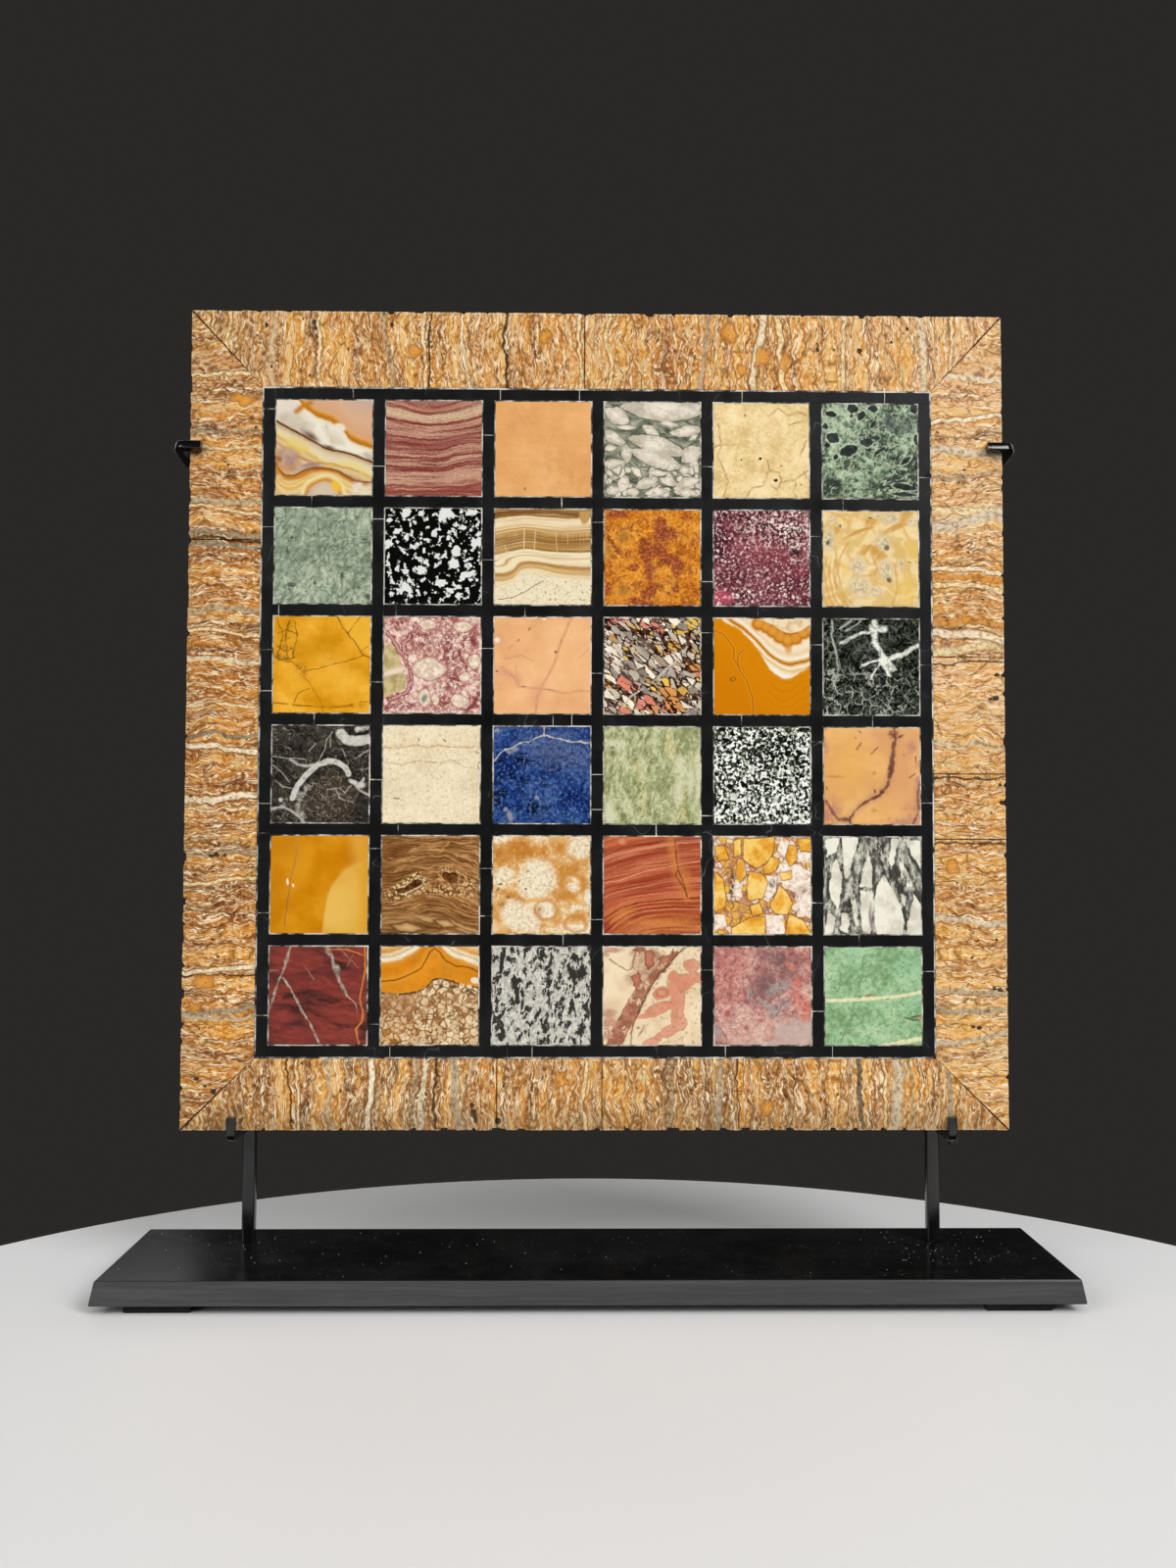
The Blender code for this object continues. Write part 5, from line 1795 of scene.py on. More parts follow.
# %% Amber mottled jasper
@stone
def amber_mottled_jasper(p):
    at = p.crooked(5, 0.10, 20, 0.04, 5)
    cloud = p.noise(5.5, 5, 0.62)
    fine = p.noise(36, 3, 0.7)
    p.colour = p.ramp(cloud * 0.6 + fine * 0.4, "40 B05E20, 46 CA7420, 52 DC8A28, 60 EDA23C")
    red = p.patch("60,22 9,13 -20; 72,24 10,6 20; 58,42 10,8 30; 47,44 6,8 -30; 66,52 10,7 10; "
            "76,62 6,8; 42,50 4,12 -40; 48,66 6,10; 46,88 9,6; 55,80 16,3 -20; 74,81 4,7; "
            "14,42 4,6 -30; 5,30 2,8 -30; 32,60 5,4; 12,5 12,4; 36,97 12,3 10; 4,83 3,6; "
            "40,36 5,5 -40", at, 0.35)
    red = red + p.noise(7.5, 5, 0.65, at=p.shift(p.grain, (3, 0, 0))).step(0.53, 0.62) * 0.75
    p.lay(p.ramp(fine, "42 7A3420, 50 994A28, 58 B8643C"),
            red.least(1) * fine.step(0.30, 0.44) * 0.95)
    eyes = ("19,30 10,12; 20,86 11,10; 85,22 9,11 20; 4,43 4.5,7; 15,58 10,6 -20; "
            "62,72 12,9 20; 84,52 7,3.5 20; 58,92 8,5; 68,9 4,7")
    rim = p.patch(eyes, at, 0.4) - p.patch(resized(eyes, 0.75, 0.75), at, 0.4)
    p.lay("E09030", p.patch(eyes, at, 0.3) * 0.65)
    p.lay("EBA84C", rim.most(0) * 0.55)
    moss = p.patch("20,29 5,6; 21,86 5,4.5; 5,43 3,4.5", at, 0.9)
    p.lay("7C7438", moss * fine.step(0.40, 0.56) * 0.9)
    p.lay("6E3A16", p.noise(24, 3, 0.65, at=p.shift(p.grain, (1, 0, 5))).step(0.54, 0.60) * 0.55)
    p.tint(fine * 1.2 + 0.42)
    return p.finish(cloud * 0.2 + 0.16)

# %% Purple porphyry
@stone
def purple_porphyry(p):
    cloud = p.noise(2.6, 4, 0.6)
    fine = p.noise(42, 3, 0.75)
    base = p.ramp(fine * 0.6 + cloud * 0.4, "41 3A141F, 47 54212D, 53 6C333F, 60 94545F")
    pink = p.patch("62,44 34,14 8; 9,92 10,7; 85,62 20,10", p.warp(p.place, 6, 0.14), 0.9)
    base = p.blend(base, "A04A56", pink * fine.step(0.3, 0.6) * 0.75)
    base = p.blend(base, "C05064", p.patch("8,92 10,8", p.warp(p.place, 9, 0.1), 0.4) * 0.7)
    at = p.warp(p.grain, 14, 0.03)
    crowd = p.patch("72,14 40,22 -6; 93,35 15,15", soft=0.7)
    rare = p.specks(24, 0.30, 0.30, at)
    many = p.specks(19, 0.40, 0.55, p.shift(at, (4, 0, 2)))
    pale = rare.most(many * crowd).most(p.specks(40, 0.32, 0.40, at) * 0.6)
    loose = p.patch("36,87 10,10; 75,50 5,5", p.warp(p.place, 8, 0.1), 0.8)
    pale = pale.most(p.specks(24, 0.42, 0.5, at) * loose)
    dust = p.noise(30, 3, 0.6, at=at)
    pale = pale.most(dust.step(0.555, 0.60) * 0.85).most(dust.step(0.51, 0.56) * crowd * 0.95)
    p.colour = p.blend(base, p.ramp(p.noise(9), "42 D6A6A2, 58 FCE8DE"), pale * 0.95)
    smear = p.patch("87,44 7.5,3 14; 55,66 6,1.2 -45", p.warp(p.place, 20, 0.06), 0.6)
    p.lay("2E1C20", smear * 0.9)
    return p.finish(fine * 0.2 + 0.14)

# %% Cream swirled alabaster
@stone
def cream_swirled_alabaster(p):
    at = p.warp(p.place, 5, 0.06)
    cloud = p.noise(3, 4, 0.55)
    p.colour = p.ramp(cloud, "34 DEB973, 47 E8C680, 58 F0D190, 72 F6DEA8")
    swirl = (p.noise(2, 3, 0.5, at=p.warp(p.grain, 2.5, 0.25)) * 46).sine()
    p.lay("D8A85C", swirl.step(0.35, 0.95) * cloud.step(0.40, 0.56) * 0.55)
    p.lay("F8E6B8", swirl.step(-0.3, -0.95) * 0.5)
    tan = p.patch("46,40 12,3.5 -40; 56,38 5,11 25; 62,47 6,6; 76,17 15,3.5 -25; 88,7 6,10 30; "
            "50,10 6,5; 40,21 13,2 -20; 15,15 3,11 10", at, 0.4)
    streak = p.noise(5, 3, 0.6, at=p.stretch(p.warp(p.grain, 3, 0.3), 1, 4, -38))
    p.lay("D09A48", tan * streak.step(0.32, 0.58) * 0.9)
    turn = p.oval((0.62, 0.62), (0.55, 0.62), 0, p.warp(p.place, 4, 0.05))
    rings = ((turn * 70).sine() * 0.5 + 0.5) * turn.step(0.72, 0.80) * p.u.step(0.42, 0.22)
    p.lay("D49C48", rings * p.v.step(0.42, 0.62) * 0.6)
    for points in ("13,52 13,75 20,92 26,100", "27,34 20,45 14,60", "22,30 34,22 52,17",
            "53,50 57,60 53,68 36,70", "75,56 78,80 72,100"):
        p.lay("CB9440", p.stroke(points, 0.022, at, 0.48) * 0.55)
    p.lay("EBC45E", p.patch("87,82 10,15; 92,42 8,10; 23,62 5,8", at, 0.8) * 0.6)
    pale = ("55,5 6,3; 10,10 4.5,4.5; 6,30 6,11; 63,32 7.5,8 20; 36,58 9,8; 38,80 11,11; "
            "66,62 7.5,11; 81,54 4,4.5; 95,12 5,5; 56,85 6,6; 70,7 10,6")
    p.lay("BE9450", p.patch(resized(pale, 1.15, 1.15), at, 0.2) * 0.4)
    p.lay("EEDDB6", p.patch(pale, at, 0.5) * 0.75)
    grey = p.patch(resized(pale, 0.8, 0.75), at, 0.35)
    grain = p.noise(32, 3, 0.6)
    p.lay("B0A084", grey * grain.step(0.47, 0.55) * 0.7)
    for spot in ("67,38.5 2.8,2.8 20", "69,72 3,2.5 20", "5,33 2,2.5 20", "91,54 1,0.8 20",
            "50,6.5 2,0.8 20", "18,15.5 1.4,1.4 20"):
        p.lay("4E463A", p.patch(spot, p.warp(p.place, 18, 0.03), 0.4) * 0.85)
    p.lay("A8957C", p.specks(26, 0.16, 0.12) * 0.8)
    return p.finish(cloud * 0.15 + 0.16)

# %% [markdown]
# ### Third row
# The cracks of the yellow marble and the veins of the black one are bent lines over a place
# that noise has pushed about, so they look broken and not drawn. The many-coloured breccia is
# made of stretched cells: each cell takes its own colour, and the distance to its edge leaves
# room for the dark cement.

# %% Yellow marble
@stone
def yellow_marble(p):
    cloud = p.noise(3.4, 5, 0.6)
    p.colour = p.ramp(cloud, "36 D5910F, 45 E39F1B, 54 ECA828, 66 F4B63C")
    bright = p.contour("0,-30 62,-5 80,22 100,44", p.place)
    p.lay("F5BB3C", bright.step(0, -0.03) * 0.7)
    p.lay("F2B43A", p.patch("70,62 22,14", p.warp(p.place, 5, 0.2), 0.9) * 0.5)
    p.lay("C9850C", p.patch("45,33 30,12 20; 8,12 10,20", p.warp(p.place, 5, 0.2), 0.9) * 0.4)
    at = p.crooked(8, 0.04, 26, 0.016, 6)
    strong = p.vein("64,-2 72,12 84,27 92,40 100,43", 0.012, at, 0.5)
    fine = p.vein("30,57 45,55 60,50 75,46 92,41; 90,36 102,28; 10,48 20,47 28,56; "
            "29,60 38,70 44,80 50,90 52,102; 22,90 26,80 38,76; 76,18 90,0", 0.008, at, 0.8)
    p.lay("8E5C12", fine * 0.85)
    lattice = p.vein("4,2 10,20 5,36 6,46; 16,4 12,24 15,44; 22,6 24,24 20,44; 5,18 14,14 24,18; "
            "4,32 13,36 22,33; 2,43 12,46 22,43; 8,26 18,22", 0.011,
            p.crooked(11, 0.05, 30, 0.03, 4), 0.9)
    p.lay("7E5414", lattice * 0.9)
    foot = p.line("-2,90.5 10,90.5 24,92.5 50,94.5 78,93 90,89 102,88", at)
    foot = foot.least(p.line("78,93 90,94.5 102,92", at))
    p.lay("9A6212", foot.step(0.014, 0.002) * p.noise(8, 3).step(0.36, 0.50) * 0.85)
    tangle = p.noise(17, 4, 0.7)
    crumb = p.patch("29,55.5 6,7.5 -30; 93,90.5 6,3.5", at, 0.6)
    p.lay("8A5A14", crumb * (tangle - 0.5).abs().step(0.05, 0) * 0.9)
    grey = p.patch("13,33 8,3.5 10; 9,43 8,3 20", at, 0.6)
    p.lay("85622C", grey * tangle.step(0.40, 0.56) * 0.85)
    p.lay("8A5410", strong * 0.95)
    return p.finish(cloud * 0.2 + 0.15, strong.most(crumb * 0.4) * -1, 0.00008)

# %% Rose-veined marble
@stone
def rose_veined_marble(p):
    at = p.crooked(5, 0.06, 18, 0.035, 3)
    cloud = p.noise(5, 5, 0.7)
    fine = p.noise(20, 4, 0.75)
    p.colour = p.ramp(cloud * 0.5 + fine * 0.5, "41 B47A70, 46 D09C8E, 50 E4BEAE, 56 F6DFCE")
    worms = (p.noise(6.5, 4, 0.65, at=p.warp(p.grain, 5, 0.3)) - 0.5).abs()
    crawl = (p.noise(11, 4, 0.7, at=p.warp(p.shift(p.grain, (4, 0, 1)), 8, 0.15)) - 0.5).abs()
    where = p.patch("62,4 18,8 20; 72,33 24,20; 88,22 12,16; 16,6 12,7; 88,50 14,12; 70,66 16,14; "
            "90,90 14,12; 15,93 22,8; 60,92 12,10; 40,24 14,12", at, 0.6)
    p.lay("B4716A", where * fine.step(0.54, 0.44) * 0.5)
    p.lay("7E3036", worms.step(0.046, 0.010) * where * 0.95)
    p.lay("984A4A", crawl.step(0.024, 0.004) * (where * 0.5 + 0.38))
    tan = p.patch("6,45 11,17 -14; 12,68 12,11; 3,76 8,8", at, 0.2)
    p.lay(p.ramp(p.noise(9, 5, 0.7), "42 B09A68, 56 D3BE8A"), tan)
    p.lay("EAD8C0", p.patch("10,57 16,3 -16", at, 0.5))
    eggs = p.ovals("47,54 17,12 -5; 42,84 6,9; 53,86 3.5,7; 94,46 7,7; 78,87 9,7; 84,62 6,5; "
            "82,10 10,6; 45,8 8,5", at, 0.3) + (fine - 0.5) * 0.8
    p.lay("A45658", eggs.step(1.35, 1.12) * 0.6)
    p.lay(p.ramp(fine, "42 D6BCA2, 52 EAD6BE, 60 F8EBD6"), eggs.step(1.12, 0.92))
    p.lay("7E8078", p.patch("42,84 2.5,4 10", at, 0.6) * 0.9)
    vein = p.line("3,17 12,30 20,42 27,55 30,66 25,78 5,86", at)
    vein = vein.least(p.line("20,40 20,28 30,16 33,8", at))
    vein = vein + (fine - 0.5) * 0.10
    p.lay("CE9690", vein.step(0.026, 0.010) * 0.85)
    p.lay("86303A", (vein - 0.018).abs().step(0.012, 0.002) * 0.95)
    p.lay("7E2A34", p.vein("86,97 95,88 102,76", 0.045, at) * 0.9)
    return p.finish(cloud * 0.2 + 0.14)

# %% Peach marble with faint veins
@stone
def peach_veined_marble(p):
    cloud = p.noise(2.6, 4, 0.55)
    p.colour = p.ramp(cloud, "38 E9AB77, 50 F1B67F, 64 F6BF89")
    at = p.crooked(6, 0.04, 24, 0.02, 2)
    broken = p.noise(13, 4, 0.7)
    main = p.line("82,-2 75,12 68,30 62,50 53,66 45,82 43,100", at)
    p.lay("D68A66", main.step(0.026, 0.004) * 0.5)
    p.lay("9A5E4A", main.step(0.010, 0.003) * broken.step(0.50, 0.60) * 0.55)
    level = p.line("8,52 20,62 25,72 45,73.5 72,78.5 102,76", at)
    p.lay("C98C68", level.step(0.022, 0.004) * 0.45)
    p.lay("86604A", level.step(0.012, 0.003) * broken.step(0.54, 0.62) * 0.8)
    upper = p.line("16,32 28,20 38,10", at)
    p.lay("8E6A4A", upper.step(0.014, 0.004) * broken.step(0.50, 0.58) * 0.85)
    faint = p.line("10,43 28,39 40,45", at)
    faint = faint.least(p.line("88,42 100,30", at)).least(p.line("22,50 25,70", at))
    p.lay("B98A66", faint.step(0.012, 0.002) * 0.4)
    rose = p.patch("13,58 12,5 30; 45,78 7,12 20; 24,65 4,7", at, 0.9)
    p.lay("DE9A76", rose * 0.6)
    nick = p.patch("3,23.5 2.6,2.8; 38,0 6,1.2; 52,1 2,1.6", p.warp(p.place, 20, 0.02), 0.3)
    p.lay("F4E6D2", nick)
    p.lay("5A4634", p.patch("3,56 1.2,0.8; 64,35.5 1,1.4", at, 0.4))
    return p.finish(cloud * 0.15 + 0.18)

# %% Many-coloured breccia
@stone
def many_coloured_breccia(p):
    lean = 38
    bent = p.warp(p.place, 7, 0.05)
    tall, narrow = 0.62, 1.35
    at = p.stretch(bent, tall, narrow, lean)
    p.colour = p.ramp(p.noise(16, 4, 0.7), "42 1A0E0A, 50 3A221A, 58 64402F")  # the cement
    for scale, gap, clear in ((26, 0.20, 0.55), (12.5, 0.15, 0.46)):
        _, chance, tone = p.cells(scale, at)
        edge = p.cells(scale, at, feature="DISTANCE_TO_EDGE")
        middle = p.stretch(p.snap(scale, at), tall, narrow, lean, back=True)
        shard = p.ramp(chance, "0 B4A898, 14 E4D8C4, 28 968A80, 42 CABEAC, 54 F0E4CC, 66 A8947E, "
                "76 CE9A5C, 83 D8B480, 89 D08468, 94 E6BC52", stepped=True)
        rose = p.patch("12,3 10,5; 47,6 10,5; 55,13 7,4; 25,68 12,7 20; 46,91 9,8; 24,79 6,3; "
                "62,94 5,4; 28,28 5,2", middle, 0.05)
        shard = p.blend(shard, p.ramp(tone, "0 E2A08C, 100 D47C66"), rose)
        gold = p.patch("71,28 7,5; 86,13 8,5; 96,34 6,5; 33,14 5,5; 83,78 4,4; 6,68 5,4", middle,
                0.05)
        shard = p.blend(shard, p.ramp(tone, "0 E4BC50, 100 C89A4C"), gold)
        tan = p.patch("70,84 8,16 -20; 93,50 9,6 30", middle, 0.05)
        shard = p.blend(shard, "D99654", tan)
        shard = p.shade(shard, tone * 0.25 + 0.86)
        p.lay(shard, (edge - gap * 0.5).step(0, 0.035) * tone.step(clear - 0.25, clear - 0.2))
    smoky = p.patch("30,58 16,9 38; 42,30 5,10 -30", bent, 0.5)
    p.lay("6E625A", smoky * 0.55)
    vein = p.stroke("50,67 62,56 74,46 86,30", 0.026, p.warp(p.place, 12, 0.03))
    vein = vein.most(p.stroke("20,92 28,82 40,74", 0.018, p.warp(p.place, 12, 0.03)))
    p.lay("C9BEAA", vein * p.noise(14, 3, 0.6).step(0.36, 0.46) * 0.9)
    p.tint(p.noise(30, 3, 0.7) * 0.8 + 0.62)
    return p.finish(p.noise(8, 3) * 0.15 + 0.13)

# %% Amber banded onyx
@stone
def amber_banded_onyx(p):
    at = p.crooked(5, 0.035, 17, 0.014, 2)
    cloud = p.noise(3, 3, 0.5)
    shore = p.contour("0,-12 10,2 28,12 42,28 52,42 63,58 76,62.5 88,57 100,49", at)
    shallow = p.contour("0,-20 14,0 34,13 48,27 62,40 77,48 90,46 100,41", at)
    p.colour = p.ramp(shore + (cloud - 0.5) * 0.03, "0 E0992C, 3 D98608, 30 D98408, 70 D27D06")
    ripple = ((shore + cloud * 0.12) * 75).sine() * p.u.step(0.40, 0.60) * p.v.step(0.55, 0.7)
    p.lay("C47204", ripple.step(0.3, 0.9) * 0.3)
    white = p.ramp(shallow + (cloud - 0.5) * 0.04, "-30 F2DCB4, -16 F6E6C8, -10 EFD0A0, -5 FAF0DE, "
            "-2.2 E6B060, -0.6 B96C10, 0.8 C47C1C, 2.2 EBC080, 4.5 FAEFDA, 7.5 E8BC7C, 9.5 F0D8A8, "
            "13 FAF0DC")
    p.lay(white, (shore + (p.noise(22, 3, 0.6) - 0.5) * 0.05).step(0.012, -0.012))
    grapes = ("47,4 6,6; 55,8 6,5.5; 62,13 6,5.5; 69,18 6,6; 77,22 6,6; 85,20 6,5.5; 93,15 6,5; "
            "100,12 6,5")
    bunch = p.ovals(grapes, at)
    p.lay("DE9A40", bunch.step(1.7, 1.15) * 0.85)
    p.lay(p.ramp(bunch, "30 E49C3C, 80 D68C2C, 100 B4660E, 115 C07820"), bunch.step(1.25, 1.05))
    p.lay("D8902C", p.patch("66,17 3,3; 84,21 3,3; 78,31 3.5,5", at, 0.6) * 0.8)
    beyond = p.contour("0,-60 44,-2 60,6 74,14 88,13 100,6", at)
    p.lay(p.ramp(p.noise(12, 4, 0.7), "40 DDBE8C, 54 F3DFB8"), beyond.step(0.006, -0.012))
    lines = p.line("-2,10 10,17 20,30 21,42 28,55 36,68 40,82 42,102", at)
    lines = lines.least(p.line("32,32 26,36 24.5,44 27,51", at))
    p.lay("9A5E0C", lines.step(0.007, 0.001) * 0.85)
    p.lay("E2A034", (lines - 0.014).abs().step(0.008, 0.002) * 0.35)
    ring = p.oval((0.195, 0.635), (0.03, 0.024), -10, at)
    p.lay("7A5A18", (ring - 0.85).abs().step(0.35, 0.1) * 0.85)
    return p.finish(cloud * 0.1 + 0.12)

# %% Black-green marble with white veins
@stone
def black_green_veined_marble(p):
    at = p.crooked(7, 0.06, 22, 0.03, 4)
    cloud = p.noise(3, 4, 0.6)
    fine = p.noise(14, 5, 0.75)
    p.colour = p.ramp(fine, "42 090C09, 50 141913, 58 2C332A")
    dense = p.v.step(0.30, 0.72) * 0.75 + p.u.step(0.25, 0.05) * 0.35
    web_at = p.warp(p.warp(p.grain, 5, 0.16), 17, 0.06, shifted=8)
    web = p.cells(7, at=web_at, feature="DISTANCE_TO_EDGE")
    lace = p.cells(15, at=p.shift(web_at, (3, 0, 1)), feature="DISTANCE_TO_EDGE")
    hair = (p.noise(9, 3, 0.6, at=p.warp(p.grain, 4, 0.25)) - 0.5).abs()
    p.lay("6C7264", hair.step(0.030, 0) * 0.5)
    p.lay("969A8A", lace.step(0.07, 0.015) * fine.step(0.48, 0.55) * (dense * 0.85 + 0.12))
    p.lay("B9BBAC", web.step(0.055, 0.015) * fine.step(0.42, 0.52) * (dense * 0.75 + 0.20))
    tall = p.vein("8,0 10,25 16,50 10,72; 20,26 36,17; 24,12 40,2; 18,10 30,0", 0.016, at, 0.7)
    p.lay("B4B7A8", tall * 0.85)
    thick = p.vein("18,24 30,18.5 42,15 52,12", 0.026, at, 0.4)
    thick = thick.most(p.vein("50,8 64,10; 54,3 54,14 54,24 60,34 64,44", 0.055, at, 0.35, 0.3))
    thick = thick.most(p.vein("68,42 84,35 102,27", 0.042, at, 0.35, 0.3))
    lumps = p.ovals("64,44 8,6; 68,50 8,5 20", at, 0.4) + (fine - 0.5) * 2
    thick = thick.most(lumps.step(1.1, 0.8))
    thick = thick.most(p.vein("62,42 48,46 38,50; 60,46 52,54 50,62; 66,52 70,60", 0.018, at, 0.9))
    p.lay(p.ramp(p.noise(14, 4, 0.7), "40 9EA296, 46 D6D8CA, 52 F0F0E4"), thick)
    return p.finish(cloud * 0.1 + 0.12)

# %% [markdown]
# ### Fourth row
# The shells in the black marble are short thick arcs, each a bent line with its own width. The
# lapis is a dark ground with lighter grains at two sizes, and the granite is nothing but a
# hard threshold on fine noise.

# %% Black fossil marble
@stone
def black_fossil_marble(p):
    at = p.crooked(5, 0.03, 20, 0.02, 3)
    cloud = p.noise(3, 4, 0.6)
    fine = p.noise(24, 4, 0.7)
    p.colour = p.ramp(fine * 0.6 + cloud * 0.4, "42 1B1814, 50 2C2822, 58 403A32")
    body = p.patch("62,74 24,22 10; 30,85 10,12", at, 0.35)
    curls = (p.noise(9, 3, 0.6, at=p.warp(p.grain, 4, 0.25)) - 0.5).abs()
    p.lay("463B31", body * 0.8)
    p.lay("938878", curls.step(0.022, 0.006) * (body * 0.6 + 0.30))
    short = (p.noise(6, 2, 0.5, at=p.stretch(p.warp(p.grain, 3, 0.3), 1, 1.8, 30)) - 0.5).abs()
    p.lay("8C867B", short.step(0.014, 0.003) * p.noise(5, 2).step(0.48, 0.56) * 0.9)
    grey = p.vein("0,32 18,34 34,35; 48,36 54,24 56,13; 56,14 62,6; 2,42 10,49 18,58; "
            "4,57 12,64 22,65; 86,34 94,28 100,24; 66,66 70,75 84,79; 58,66 70,65 76,70; "
            "92,45 100,44; 75,69 82,62; 44,18 38,26; 60,10 60,22; 72,24 76,32", 0.010, at)
    p.lay("A8A296", grey * 0.85)
    pale = p.vein("19,36 26,40 36,42 46,40; 1,86 12,84 24,90 32,98; 84,58 90,66 100,71; "
            "90,62 95,54", 0.022, at, 0.5)
    p.lay("C2BDB2", pale * 0.9)
    leg = p.vein("37,64 30,72 27,82 30,90 34,99", 0.05, at, 1.4)
    p.lay("B4AEA2", leg * fine.step(0.36, 0.54) * 0.9)
    arc = p.vein("21,75 27,62 36,50 47,41 58,36.5 68,38 76,44 79,50", 0.056,
            p.warp(p.place, 9, 0.02), 0.18, 0.12)
    p.lay(p.ramp(fine, "40 B0AA9E, 52 D6D1C6"), arc * 0.95)
    top = p.vein("71,8 76,14.5 86,16 100,13", 0.10, p.warp(p.place, 9, 0.02), 0.15, 0.1)
    top = top.most(p.vein("88,3 100,1", 0.045, at))
    p.lay(p.ramp(fine, "38 B5AFA3, 55 D6D1C6"), top)
    p.lay("CFCABE", p.patch("84,58 5,2.2 20; 92,61 4,3; 10,77 2,2", at, 0.5))
    return p.finish(fine * 0.15 + 0.14)

# %% Ivory limestone
@stone
def ivory_limestone(p):
    cloud = p.noise(3.4, 5, 0.6)
    fine = p.noise(24, 4, 0.75)
    p.colour = p.ramp(cloud * 0.6 + fine * 0.4, "40 E6D3AF, 48 EEDCB8, 55 F3E2BF, 62 F8E9C8")
    at = p.crooked(12, 0.02, 34, 0.02, 5)
    first = p.vein("-2,22 12,23 22,22 35,19 45,22 56,20 72,21.5 102,22", 0.011, at, 1)
    second = p.vein("4,38 20,40 35,36 47,37 60,38 70,34.5 84,42 98,44", 0.011, at, 0.8)
    stain = p.patch("40,21 60,3; 40,38 45,2", at, 0.8)
    p.lay("E9CDA4", stain * 0.5)
    p.lay("C79A6E", first * 0.9)
    p.lay("C4A281", second * 0.75)
    crumbs = p.noise(34, 3, 0.7)
    p.lay("CBB288", crumbs.step(0.57, 0.63) * 0.7)
    p.lay("FDF2D8", crumbs.step(0.44, 0.38) * 0.6)
    marks = p.vein("95,26 100,28; 98,40 99.5,45; 12,75 17,75.5; 99,38 100,36; 36,13 37,15; "
            "62,14 64,15.5", 0.011, at, 0.5)
    p.lay("6B553B", marks * 0.85)
    return p.finish(cloud * 0.15 + 0.2)

# %% Lapis lazuli
@stone
def lapis_lazuli(p):
    at = p.crooked(6, 0.05, 20, 0.03, 2)
    cloud = p.noise(4, 5, 0.65)
    fine = p.noise(20, 5, 0.8)
    tone = fine * 0.55 + cloud * 0.45
    p.colour = p.ramp(tone, "42 0C1F58, 47 163272, 52 264A8A, 58 4A6496")
    bright = p.patch("62,24 30,16 8; 75,30 28,10 20", at, 0.9)
    p.lay(p.ramp(fine, "40 3A5388, 60 7C86A0"), bright * 0.6)
    dark = p.patch("12,42 13,12; 22,55 16,10 -20; 6,70 8,14; 30,34 12,6 -20; 52,55 9,7; 40,85 16,7",
            at, 0.8)
    mottle = p.noise(11, 4, 0.7, at=p.shift(p.grain, (5, 0, 0)))
    p.lay("081333", mottle.step(0.47, 0.56) * (dark * 0.85 + 0.2))
    grit = p.noise(30, 3, 0.7)
    p.lay("6E84AC", grit.step(0.55, 0.62) * 0.7)
    p.lay("0A1838", grit.step(0.45, 0.38) * 0.7)
    vein = p.vein("-2,37 6,30 12,25 20,22 26,17.5 36,17 46,11 53,9 64,12.5 78,15.5 90,15 102,17; "
            "52,-2 52,10", 0.011, at, 1.6)
    blobs = p.patch("22,23.5 3.5,2 -30; 16,27 2.2,1.8; 17,93 2.5,5 -20; 44.5,74 2.2,2; 12,86 2,2; "
            "3,4 3,2", at, 0.7)
    p.lay("5E719C", vein.most(blobs) * 0.5)
    p.lay(p.ramp(fine, "40 A9A696, 56 DAD6CA"), vein * 0.85)
    p.lay("9C9CA0", blobs * 0.8)
    return p.finish(fine * 0.2 + 0.12)

# %% Pale green alabaster
@stone
def pale_green_alabaster(p):
    bent = p.warp(p.grain, 5, 0.12)
    tall = p.noise(9, 5, 0.72, at=p.stretch(bent, 1, 0.42))
    fine = p.noise(28, 4, 0.8, at=p.stretch(bent, 1, 0.55, 20))
    tone = tall * 0.5 + fine * 0.5
    p.colour = p.ramp(tone, "42 7F8458, 46 9FA371, 51 B7BA8A, 56 D2D2A8")
    at = p.crooked(6, 0.07, 20, 0.03, 2)
    cream = p.patch("67,13 3,12 8; 72,27 3,10 -12; 37,52 2.5,10 -8; 40,76 2.2,16; 35,40 3,5; "
            "93,36 4,8; 85,66 5,6; 82,88 3,8", at, 0.8)
    p.lay("DBCB8F", cream * fine.step(0.38, 0.58) * 0.85)
    pale = p.patch("81,42 5,12 -14; 78,66 4.5,13 10; 12,18 10,6; 90,55 3,20; 5,88 6,10; 98,45 3,30",
            at, 0.6)
    p.lay("D9D8B6", pale * 0.85)
    p.lay("8C9163", p.patch("88,15 12,14; 10,45 10,12; 62,62 10,20", at, 0.9)
            * tone.step(0.58, 0.44) * 0.6)
    dark = p.patch("8,21 3,2; 9,28 1.5,3", at, 0.7)
    p.lay("5E6444", dark.most(p.noise(34, 2, 0.6).step(0.60, 0.67) * 0.5) * 0.8)
    return p.finish(tall * 0.2 + 0.16)

# %% Speckled granite
@stone
def speckled_granite(p):
    at = p.warp(p.grain, 20, 0.03)
    salt = p.noise(32, 3, 0.66, at=at)
    patchy = p.noise(7, 3, 0.6)
    tone = salt * 0.80 + patchy * 0.20 + (p.v - 0.5) * 0.018 + p.v.step(0.75, 1) * 0.01
    p.colour = p.ramp(tone, "47.3 10120D, 49.5 24261F, 50.9 6A6C62, 52.1 C8CABE, 53.8 F8FAEF")
    green = p.noise(12, 3, at=p.shift(p.grain, (7, 0, 3))).step(0.52, 0.62)
    p.lay("5C6A4E", green * 0.35)
    return p.finish(salt * 0.15 + 0.14)

